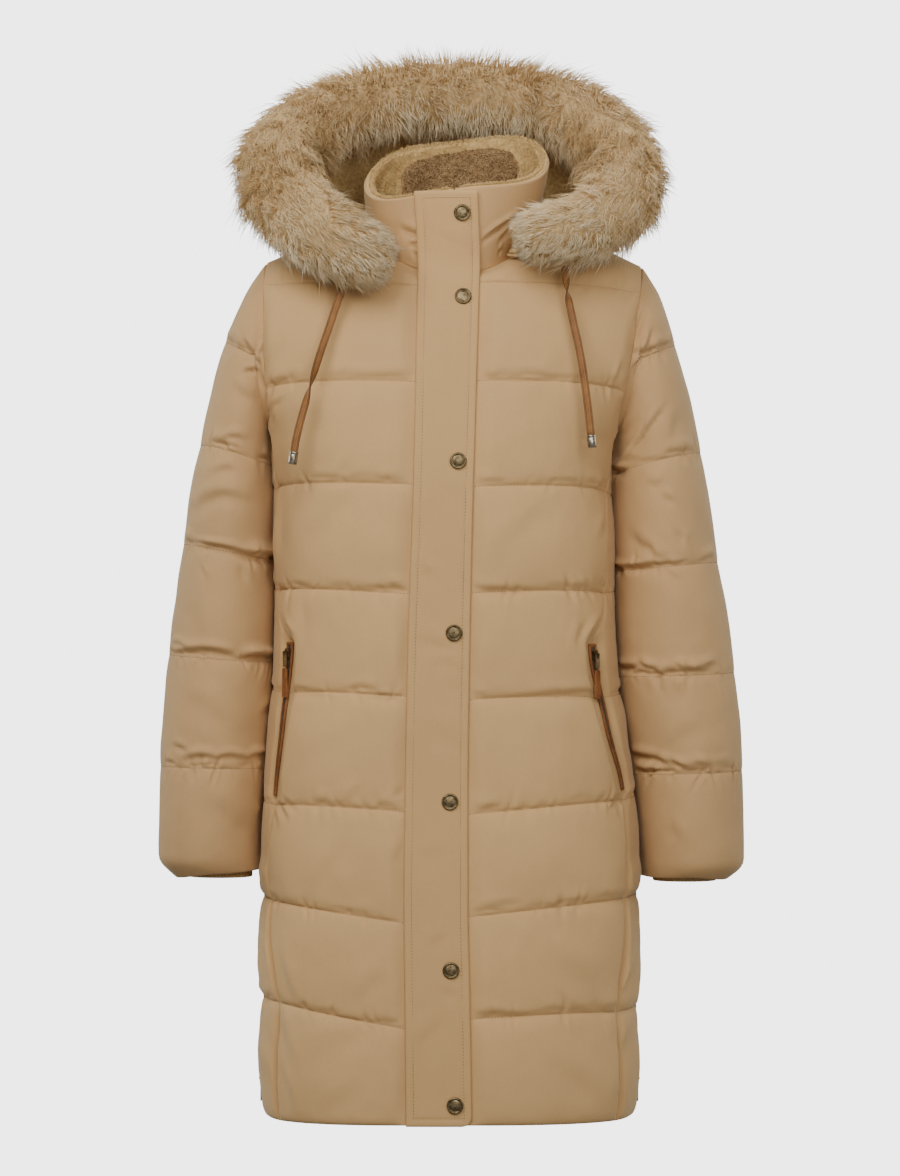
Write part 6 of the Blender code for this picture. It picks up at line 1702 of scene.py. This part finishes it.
def make_collar_hair(rim_height, lining_in, facing_in):
    """Short pile that stands on the collar's inner face and rim, and curls on the facing."""
    draw = np.random.RandomState(17)
    angle = draw.uniform(0.05, 2 * math.pi - 0.08, PLUSH_HAIRS)
    height = draw.uniform(0.45, 2.0, PLUSH_HAIRS)
    height = np.where(height > 1, 1 + np.maximum(height - 1, 0) ** 0.8 * 0.98, height)
    on_facing = (angle > FACING_FROM) & (angle < FACING_TO) & (height < FACING_TOP)
    angle, height = angle[~on_facing], height[~on_facing]
    away = from_neck(angle)
    root = collar_point(angle, rim_height(angle, height))
    root = root + away * (lining_in(angle, height) * 0.9)[:, None]
    rim = smooth_step((height - 0.9) / 0.4)[:, None]
    way = unit(mix(-away, away * 0.25 + UP, rim) + draw.normal(0, PLUSH_SPREAD, root.shape))
    long = draw.uniform(*PLUSH_LONG, len(root))[:, None]
    points = [root + way * long * 0.6, root + way * long - UP * 0.0006]
    shade = draw.normal(0, 0.12, len(root))
    needles("collar_hair", root, points, draw.uniform(*PLUSH_WIDTH, len(root)), "plush_hair",
            "plush", shade)
    angle = draw.uniform(FACING_FROM + 0.02, FACING_TO - 0.02, CURLY_HAIRS)
    height = draw.uniform(0.3, FACING_TOP, CURLY_HAIRS)
    standing = facing_in(angle, height) < -LINING - 0.0020
    angle, height = angle[standing], height[standing]
    away = from_neck(angle)
    root = collar_point(angle, height) + away * (facing_in(angle, height) * 0.96)[:, None]
    way = unit(-away + draw.normal(0, CURLY_SPREAD, root.shape))
    turn = unit(np.cross(way, draw.normal(0, 1, root.shape)))
    long = draw.uniform(*CURLY_LONG, len(root))[:, None]
    points = [root + (way + turn * 0.5) * long * 0.55, root + (way * 0.8 - turn * 0.35) * long]
    width = draw.uniform(*CURLY_WIDTH, len(root))
    shade = draw.normal(0, 0.16, len(root))
    needles("neck_hair", root, points, width, "curly_hair", "curly_plush", shade)


def make_hood():
    u, t = np.meshgrid(np.linspace(*HOOD_ENDS, HOOD_COLUMNS), np.linspace(0.0, 1.0, HOOD_ROWS))
    face = hood_point(u, t)
    normals = normals_of(hood_point, u, t, lambda points: points * 0 + UP * 3.0)
    sag = 0.0011 * noise_at(face, 0.045, 91) * np.sin(np.pi * t) + 0.0004 * noise_at(face, 0.016, 92)
    middle = np.mean(HOOD_ENDS)
    for across in HOOD_SEAMS:
        beside = (np.abs(u - middle) / (HOOD_ENDS[1] - middle) - across - 0.05 * t) / HOOD_SEAM_WIDTH
        sag = sag - 0.0011 * np.exp(-(beside**2)) + 0.0005 * np.exp(-((np.abs(beside) - 2.2) ** 2))
    outer = face + normals * (CLOTH + np.maximum(sag, -0.001))[..., None]
    add_piece("hood_cloth", *fine_wall(outer, face, WALL_STRIDE), "shell", "shell", ["hood_shell"])
    pile = 0.0009 * noise_at(face, 0.006, 93) + 0.0005 * noise_at(face, 0.0027, 94)
    near, far = face - normals * FINE_GAP, face - normals * (HOOD_LINING + pile)[..., None]
    wall = fine_wall(far[6:, ::2], near[6:, ::2], WALL_STRIDE)
    add_piece("hood_pile", *wall, "plush", "plush", ["hood_lining"])


FUR_STEP = 0.02  # over which its direction is taken


def fur_frame(station):
    """Middle, radius and the three directions of the roll: ahead, side and up."""
    middle = fur_middle(station)
    ahead = unit(fur_middle(station + FUR_STEP) - fur_middle(station - FUR_STEP))
    side = unit(np.cross(ahead, UP + 0 * ahead))
    return middle, column(FUR, "radius", station), ahead, side, np.cross(side, ahead)


HAIR_TONES = (0.0, 0.5, 1.0)  # from the root to the tip
HAIR_SIDES = 3
HAIR_TAPER = 0.75  # share of the width it loses on the way to its tip


def needles(name, root, points, width, look, slot, shade):
    """Three-sided tapering hairs through rows of points, joined in one mesh. Their roots are open."""
    count, rings = len(root), len(points)
    spine = np.stack([root, *points], axis=1)
    ahead = unit(spine[:, -1] - spine[:, 0])
    other = np.where(np.abs(ahead[:, 2:]) > 0.8, np.array([[1.0, 0.0, 0.0]]), UP[None])
    wide = unit(np.cross(ahead, other))
    deep = np.cross(ahead, wide)
    corners = []
    for ring in range(rings):
        reach = (width * (1 - HAIR_TAPER * (ring / rings) ** 1.5))[:, None]
        for k in range(HAIR_SIDES):
            turn = 2 * math.pi * k / HAIR_SIDES
            corners.append(spine[:, ring] + (wide * math.cos(turn) + deep * math.sin(turn)) * reach)
    corners.append(spine[:, rings])
    size = len(corners)
    pattern = []
    for ring in range(rings - 1):
        for k in range(HAIR_SIDES):
            a, b = HAIR_SIDES * ring + k, HAIR_SIDES * ring + (k + 1) % HAIR_SIDES
            pattern += [(a, b, b + HAIR_SIDES), (a, b + HAIR_SIDES, a + HAIR_SIDES)]
    last = HAIR_SIDES * (rings - 1)
    pattern += [(last + k, last + (k + 1) % HAIR_SIDES, size - 1) for k in range(HAIR_SIDES)]
    faces = ((np.arange(count) * size)[:, None, None] + np.array(pattern)[None]).reshape(-1, 3)
    marks = np.repeat(np.array(HAIR_TONES[: rings + 1]), [HAIR_SIDES] * rings + [1])
    tone = np.clip(np.tile(marks, (count, 1)) + shade[:, None], 0, 1)
    add_piece(name, np.stack(corners, axis=1).reshape(-1, 3), faces, look, slot, tone=tone.ravel())


HAIRS = 36500
LOCKS = 1500
PELT_RINGS, PELT_SIDES = 110, 36
PELT_SHARE = 0.80  # the pelt's share of the roll's radius
ROOT_SHARE = PELT_SHARE - 0.10  # the hair's roots lie in the pelt
HAIR_SHARE = 0.60  # a hair's mean length, as a share of the radius
HAIR_WIDTH = (0.00030, 0.00056)
LOCK_LONG, HAIR_LONG = (0.80, 1.15), (0.62, 1.12)  # as shares of the mean, by lock and by hair
LOCK_SWAY, HAIR_SWAY = 0.20, 0.13
LOCK_SHADE, HAIR_SHADE = 0.07, 0.08
GATHERED = (0.05, 0.45)  # how far a hair's tip is drawn to its lock's
LONG_HAIRS = (0.06, 0.45)  # share of the hairs that stand out, and how much longer they are
FUR_PARTS = (3.9, 8.1)  # stations where one piece of the fur ends and the next begins
BATCH = 2000  # hairs whose nearest lock is found at once


def fur_flow(station, angle):
    """Direction in which the hair leans: out of the roll, and along it towards its ends."""
    middle, radius, ahead, side, up = fur_frame(station)
    out = side * np.cos(angle)[..., None] + up * np.sin(angle)[..., None]
    to_end = np.clip((station - FUR_STATIONS / 2) / 3.4, -1, 1)
    along = ahead * (to_end * 0.85)[..., None]
    return middle, radius, out, unit(out * 0.62 + along - UP * 0.25)


def fur_shade(station, middle, out):
    """Lighter hair low on the roll's front and on its ends, painted light under the roll's top, and
    darker where it parts inside: the roots' colour with painted shade.
    """
    to_neck = unit(np.array([0.0, -0.02, 0.02]) - middle)
    inside = smooth_step((out * to_neck).sum(axis=-1))
    low_front = smooth_step(0.2 - 0.6 * out[..., 2] - 0.4 * out[..., 1])
    ends = smooth_step((np.abs(station - FUR_STATIONS / 2) - 3.6) / 1.4)
    # Where the hair parts on the roll's inside it is darker: the roots' colour, with painted shade.
    part = np.exp(-(((station - 3.4) / 0.55) ** 2)) + np.exp(-(((station - 8.9) / 0.5) ** 2))
    under = smooth_step(0.1 - out[..., 2]) * smooth_step(0.4 - out[..., 1])
    # Painted light: hair under the top of the roll, in the shade of the collar and the roll, is made
    # lighter.
    light = np.exp(-(((station - 6.3) / 1.5) ** 2)) * under
    return 0.20 * low_front + 0.14 * ends + 0.55 * light - 0.08 - 0.55 * part * inside


def make_fur():
    draw = np.random.RandomState(7)
    first, last = FUR[0].station + 0.05, FUR[-1].station - 0.05
    lock_station = draw.uniform(first, last, LOCKS)
    lock_angle = draw.uniform(0, 2 * math.pi, LOCKS)
    lock_middle, lock_radius, lock_out, lock_lean = fur_flow(lock_station, lock_angle)
    lock_sway = draw.normal(0, LOCK_SWAY, (LOCKS, 3))
    lock_long = draw.uniform(*LOCK_LONG, LOCKS)
    lock_shade = draw.normal(0, LOCK_SHADE, LOCKS)
    station = draw.uniform(first, last, HAIRS)
    angle = draw.uniform(0, 2 * math.pi, HAIRS)
    middle, radius, out, lean = fur_flow(station, angle)
    root = middle + out * (radius * ROOT_SHARE)[:, None]
    lock_root = lock_middle + lock_out * (lock_radius * PELT_SHARE)[:, None]
    owner = np.zeros(HAIRS, int)
    on_pelt = middle + out * (radius * PELT_SHARE)[:, None]
    for k in range(0, HAIRS, BATCH):
        apart = np.linalg.norm(on_pelt[k : k + BATCH, None] - lock_root[None], axis=-1)
        owner[k : k + BATCH] = np.argmin(apart, axis=1)
    way = unit(lean + lock_sway[owner] + draw.normal(0, HAIR_SWAY, (HAIRS, 3)))
    long = radius * HAIR_SHARE * lock_long[owner] * draw.uniform(*HAIR_LONG, HAIRS)
    share, more = LONG_HAIRS
    long = long * (1 + more * (draw.uniform(0, 1, HAIRS) > 1 - share))
    tip = root + way * long[:, None]
    gathered = lock_middle[owner] + lock_out[owner] * (lock_radius[owner] * ROOT_SHARE)[:, None]
    lock_way = unit(lock_lean + lock_sway)[owner]
    gathered = gathered + lock_way * (long * 1.02)[:, None]
    tip = mix(tip, gathered, draw.uniform(*GATHERED, HAIRS)[:, None])
    rising = unit(out + 0.4 * way)
    half_way = root * 0.25 + (root + rising * (long * 0.5)[:, None]) * 0.5 + tip * 0.25
    width = draw.uniform(*HAIR_WIDTH, HAIRS)
    shade = lock_shade[owner] + draw.normal(0, HAIR_SHADE, HAIRS) + fur_shade(station, middle, out)
    bounds = (first, *FUR_PARTS, last + 1)
    for name, start, end in zip(("fur_right", "fur_top", "fur_left"), bounds, bounds[1:]):
        mine = (station >= start) & (station < end)
        needles(name, root[mine], [half_way[mine], tip[mine]], width[mine], "fur", "fur", shade[mine])


def make_fur_ground():
    """The pelt the hair stands on, a lumpy roll well inside it."""
    stations = np.linspace(FUR[0].station, FUR[-1].station, PELT_RINGS)
    middle, radius, _, side, up = fur_frame(stations)
    count = PELT_SIDES
    angle = np.arange(count) / count * 2 * math.pi
    out = np.cos(angle)[:, None] * side[:, None] + np.sin(angle)[:, None] * up[:, None]
    spots = middle[:, None] + out * radius[:, None, None]
    rough = PELT_SHARE * (1 + 0.05 * noise_at(spots, 0.012, 97) + 0.06 * noise_at(spots, 0.035, 98))
    rings = middle[:, None] + out * (radius[:, None] * rough)[..., None]
    last = len(stations) - 1
    faces = [tuple(range(count)), tuple(reversed(range(last * count, (last + 1) * count)))]
    for i in range(last):
        for j in range(count):
            k = (j + 1) % count
            faces.append((i * count + k, i * count + j, (i + 1) * count + j, (i + 1) * count + k))
    add_piece("fur_pelt", rings.reshape(-1, 3), faces, "fur_root", "fur", ["fur_trim"])


# ---------------------------------------------------------------- placket, snaps and zips


def make_placket():
    rows = np.concatenate([np.linspace(0, 0.97, 230), np.linspace(0.972, 1.0, 24)])
    columns = np.concatenate([[0, 0.012, 0.03], np.linspace(0.06, 0.94, 30), [0.97, 0.988, 1.0]])
    u, v = np.meshgrid(columns, rows)
    inner = placket_point(u, v)
    normals = normals_of(placket_point, u, v, lambda points: points + BACKWARD)
    edge = np.minimum(np.minimum(u, 1 - u) * 0.065, np.minimum(v, 1 - v) * 0.95)
    rounding = np.sqrt(np.clip(1 - (1 - np.clip(edge / PLACKET_EDGE, 0, 1)) ** 2, 0, 1))
    sewn = np.exp(-(((edge - PLACKET_GROOVE) / PLACKET_EDGE) ** 2))
    relief = 0.0006 * noise_at(inner, 0.04, 101) + 0.0003 * noise_at(inner, 0.015, 102) - 0.0007 * sewn
    relief = relief + 0.7 * fold_relief(inner[..., 0], inner[..., 2], FOLDS["placket"])
    outer = inner + normals * (PLACKET_CLOTH * mix(0.45, 1.0, rounding) + relief * rounding)[..., None]
    add_piece("placket_cloth", *fine_wall(outer, inner, 5), "placket", "shell", ["placket"])
    v_line = np.linspace(0.008, 0.992, 400)
    z = mix(PLACKET_TOP, PLACKET[0].z, v_line)
    inset = PLACKET_SEWN / (column(PLACKET, "left", z) - column(PLACKET, "right", z))
    seams = [(placket_point(u_line, v_line), 0.0004) for u_line in (inset, 1 - inset)]
    seams.append((placket_point(np.linspace(0.12, 0.88, 40), np.full(40, 0.008)), 0.0002))
    paths = []
    for points, sunk in seams:
        out = np.tile(FORWARD, (len(points), 1))
        paths.append((points + out * (PLACKET_CLOTH - sunk), out))
    stitches("placket_stitching", paths, "dark_thread", "shell", *PLACKET_STITCHES)


def turned(name, profile, segments, matrix, look, node):
    """A round piece from (radius, height) pairs that start and end on the axis."""
    angles = 2 * math.pi * np.arange(segments) / segments
    corners, faces, starts = [], [], []
    for radius, height in profile:
        starts.append(len(corners))
        spots = [(radius * math.cos(a), radius * math.sin(a), height) for a in angles]
        corners += spots if radius else spots[:1]
    starts.append(len(corners))
    for low, high, end in zip(starts, starts[1:], starts[2:]):
        for k in range(segments):
            n = (k + 1) % segments
            here = [low + (k if high - low > 1 else 0), low + (n if high - low > 1 else 0)]
            there = [high + (n if end - high > 1 else 0), high + (k if end - high > 1 else 0)]
            faces.append(tuple(dict.fromkeys(here + there)))
    turn = np.array(matrix)
    corners = np.array(corners) @ turn[:3, :3].T + turn[:3, 3]
    return add_piece(name, corners, turned_out(corners, faces), look, look, [node])


def frame_matrix(origin, x_axis, y_axis, z_axis):
    turn = Matrix([Vector(map(float, axis)) for axis in (x_axis, y_axis, z_axis)]).transposed()
    return Matrix.Translation(Vector(map(float, origin))) @ turn.to_4x4()


# Half the cap's section, from its foot out and over the rim to the middle, as shares of its size
SNAP_PROFILE = (
    (0, 0), (0.96, 0), (1.0, 0.12), (1.0, 0.55), (0.97, 0.82), (0.90, 0.98), (0.84, 1.0), (0.78, 0.94),
    (0.74, 0.72), (0.71, 0.64), (0.66, 0.66), (0.60, 0.78), (0.45, 0.88), (0.25, 0.95), (0, 0.97),
)


def make_snaps():
    profile = [(SNAP_RADIUS * across, SNAP_HEIGHT * up) for across, up in SNAP_PROFILE]
    for number, snap in enumerate(SNAPS, 1):
        point, out = placket_frame(snap.x, snap.z)
        x_axis = unit(np.cross(UP, out))
        matrix = frame_matrix(point + out * 0.0002, x_axis, np.cross(out, x_axis), out)
        turned(f"snap_cap_{number}", profile, 40, matrix, "brass", f"snap_{number}")


def swept(name, rings, look, slot, replaces=(), closed=False, tone=None):
    """A tube through rings of points, capped unless it closes on itself."""
    rings = np.array(rings)
    stations, count = rings.shape[:2]
    corners = rings.reshape(-1, 3)
    faces = []
    for i in range(stations if closed else stations - 1):
        n = (i + 1) % stations
        for j in range(count):
            k = (j + 1) % count
            faces.append((i * count + j, i * count + k, n * count + k, n * count + j))
    if not closed:
        faces += [tuple(reversed(range(count))), tuple(range((stations - 1) * count, stations * count))]
    marks = None if tone is None else np.tile(np.array(tone), stations)
    return add_piece(name, corners, turned_out(corners, faces), look, slot, replaces, tone=marks)


# A welt's section, from its outer edge to the slot: across and up, as shares of its size
WELT_PROFILE = (
    (0.0, 0.0), (0.06, 0.45), (0.25, 0.85), (0.5, 1.0), (0.78, 0.95), (0.96, 0.7),
    (1.0, 0.3), (0.94, 0.0),
)
WELT_STATIONS, TAPE_STATIONS = 60, 50
SLOT_SPAN = (0.02, 0.96)  # where the slot starts on the zip's length, and its share of it
TAPE_SPAN = (0.025, 0.975)
TEETH_SPAN = (0.03, 0.94)
TEETH_PITCH = 0.0021
TOOTH_SHARE = (0.30, 0.62)  # a tooth's place and half width, as shares of the tape's half width
TOOTH_SIZE = (0.0011, 0.00085, 0.0009)  # most half width, height along the zip and depth
BOX_FACES = ((3, 2, 1, 0), (4, 5, 6, 7), (0, 1, 5, 4), (1, 2, 6, 5), (2, 3, 7, 6), (3, 0, 4, 7))


def make_zip(name, side, vent, ends, size):
    """A rolled leather welt round the slot, the tape in it, and its two rows of teeth."""
    base = CLOTH + WELT_LIFT

    def spot(share):
        return seam_spot(side, vent, mix(*ends, share))

    def tape_half(share):
        return mix(size.top_slot, size.low_slot, share) - ZIP_CLEAR

    loops = []
    shares = np.linspace(0.0, 1.0, WELT_STATIONS)
    for share, way in [(share, -1) for share in shares] + [(share, 1) for share in shares[::-1]]:
        point, across, _, out = spot(share)
        far = point + across * (way * mix(size.top_half, size.low_half, share))
        point, across = spot(SLOT_SPAN[0] + SLOT_SPAN[1] * share)[:2]
        near = point + across * (way * mix(size.top_slot, size.low_slot, share))
        loops.append([mix(far, near, a) + out * (base + size.welt * b) for a, b in WELT_PROFILE])
    swept(name + "_welt_roll", loops, "leather", "leather", [name + "_welt"], closed=True)
    rings = []
    for share in np.linspace(*TAPE_SPAN, TAPE_STATIONS):
        point, across, _, out = spot(share)
        half = tape_half(share)
        section = ((-half, 0.0), (half, 0.0), (half, ZIP_TAPE), (-half, ZIP_TAPE))
        rings.append([point + across * a + out * (base + b) for a, b in section])
    swept(name + "_tape", rings, "tape", "zip_tape", [name + "_zip"])
    corners, faces = [], []
    first, span = TEETH_SPAN
    count = int(abs(ends[0] - ends[1]) * span / TEETH_PITCH)
    for k in range(count):
        share = first + span * k / count
        point, across, down, out = spot(share)
        half, way = tape_half(share), -1 if k % 2 else 1
        centre = point + across * (way * half * TOOTH_SHARE[0]) + out * (base + ZIP_TAPE + 0.0001)
        most, tall, deep = TOOTH_SIZE
        wide = min(half * TOOTH_SHARE[1], most)
        faces += [tuple(len(corners) + c for c in face) for face in BOX_FACES]
        for dz in (0, 1):
            shrink = 1 - 0.3 * dz
            for dx, dy in ((-1, -1), (1, -1), (1, 1), (-1, 1)):
                aside, along = dx * wide * shrink, dy * tall * shrink / 2
                corners.append(centre + across * aside + down * along + out * (dz * deep))
    add_piece(name + "_teeth", corners, faces, "brass", "brass", smooth=False)


# ---------------------------------------------------------------- drawcords


# Half the strap's section, from one edge to the other: across, up, and how light it is there, dark at
# its cut edges and with painted shade in its grooves
CORD_SECTION = (
    (1.0, 0.0, 0.1), (0.96, 0.7, 0.25), (0.80, 1.0, 0.9), (0.60, 0.72, 0.15), (0.40, 0.80, 1.0),
    (0.0, 0.82, 0.9), (-0.40, 0.80, 1.0), (-0.60, 0.72, 0.15), (-0.80, 1.0, 0.9), (-0.96, 0.7, 0.25),
    (-1.0, 0.0, 0.1),
)
CORD_STATIONS = 120
CORD_STITCHES = (0.0024, 0.0017, 0.00022)  # pitch, length and radius


def make_drawcord(side):
    """A flat leather strap with a stitched edge and a metal end."""
    name = SIDES[side]
    rows = rows_of("index x y z turn", *((i, *row) for i, row in enumerate(DRAWCORDS[side])))
    place_on = np.linspace(0, len(rows) - 1, CORD_STATIONS)
    path = points_of(*(column(rows, axis, place_on) for axis in "xyz"))
    turn = column(rows, "turn", place_on)[:, None]
    ahead = unit(np.gradient(path, axis=0))
    wide = unit(np.cross(ahead, FORWARD + 0 * ahead))
    deep = np.cross(wide, ahead)
    x_axis = wide * np.cos(turn) + deep * np.sin(turn)
    y_axis = deep * np.cos(turn) - wide * np.sin(turn)
    half, thick = CORD_WIDTH / 2, CORD_THICK
    section = CORD_SECTION + tuple((-a, -b, tone) for a, b, tone in CORD_SECTION[1:-1])
    rings = [[point + x * a * half + y * b * thick / 2 for a, b, tone in section]
             for point, x, y in zip(path, x_axis, y_axis)]
    tones = [tone for a, b, tone in section]
    strap = swept(f"drawcord_{name}_strap", rings, "strap", "leather", ["drawcord_" + name], tone=tones)
    along, full, less, length = ahead[-1], CORD_END_RADIUS, CORD_END_RADIUS * 0.9, CORD_END_LENGTH
    profile = (
        (0, 0), (less * 0.8, 0), (less, 0.0002), (full, 0.0008), (full, 0.0022), (full * 0.95, 0.0026),
        (full * 0.95, 0.0034), (full, 0.0038), (full, length - 0.0010), (less, length - 0.0002),
        (less * 0.8, length), (0, length),
    )
    matrix = frame_matrix(path[-1] + along * 0.0002, wide[-1], np.cross(along, wide[-1]), along)
    end = turned(f"cord_end_{name}_cap", profile, 28, matrix, "nickel", "cord_end_" + name)
    seams = [(path + x_axis * (half * 0.30) + lift * (thick * 0.42), lift)
             for lift in (y_axis, -y_axis)]
    stitches(f"drawcord_{name}_stitching", seams, "leather_thread", "leather", *CORD_STITCHES)


# ---------------------------------------------------------------- the whole coat


# Each sheet: its flat width, length and area, how it is held, what it rests on, and the pieces that
# go with it
SHEETS = (
    ("back_cloth", 0.575, 1.045, 0.490, "hung", (), ()),
    ("front_right_cloth", 0.260, 1.030, 0.192, "hung", (), ()),
    ("front_left_cloth", 0.267, 1.030, 0.198, "hung", (), ()),
    ("side_right_cloth", 0.090, 0.775, 0.0470, "hung", (), ()),
    ("side_left_cloth", 0.092, 0.778, 0.0520, "hung", (), ()),
    ("sleeve_right_cloth", 0.533, 0.668, 0.225, "hung", (), ()),
    ("sleeve_left_cloth", 0.539, 0.666, 0.233, "hung", (), ()),
    ("cuff_right_knit", 0.322, 0.085, 0.0182, "gathered", ("sleeve_right",), ()),
    ("cuff_left_knit", 0.324, 0.083, 0.0178, "gathered", ("sleeve_left",), ()),
    ("collar_cloth", 0.625, 0.091, 0.0450, "hung", (), ()),
    ("collar_pile", 0.614, 0.090, 0.0440, "laid", ("collar_shell",), ("collar_hair",)),
    ("neck_pile", 0.154, 0.073, 0.0098, "laid", ("collar_lining",), ("neck_hair",)),
    ("hood_cloth", 1.032, 0.397, 0.159, "hung", ("collar_shell",), ()),
    ("hood_pile", 1.011, 0.381, 0.151, "laid", ("hood_shell",), ()),
    ("placket_cloth", 0.071, 0.970, 0.0640, "laid", ("front_left", "front_right"),
     ("placket_stitching",)),
)


LOOKS = make_looks()
set_stage()
for side in (RIGHT, LEFT):
    make_drawcord(side)
seams = []
for side in (RIGHT, LEFT):
    seams += make_front(side) + make_side(side) + make_sleeve(side)
    make_cuff(side)
seams += make_back()
stitches("quilt_stitching", seams, "dark_thread", "shell")
make_collar()
make_hood()
make_fur_ground()
make_fur()
make_placket()
make_snaps()
for side in (RIGHT, LEFT):
    make_zip("pocket_" + SIDES[side], side, False, POCKET_ENDS[side], POCKET_ZIP)
    make_zip("vent_" + SIDES[side], side, True, VENT_ENDS, VENT_ZIP)
for name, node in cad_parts.items():
    if node.hide_render:
        continue
    look = "nickel" if name.startswith("pocket") and name.endswith("_pull") else "brass"
    look = "leather" if name.endswith("_tab") else look
    node.data.materials.clear()
    node.data.materials.append(LOOKS[look])

for name, width, length, area, held, under, extras in SHEETS:
    extras = [bpy.data.objects[extra] for extra in extras]
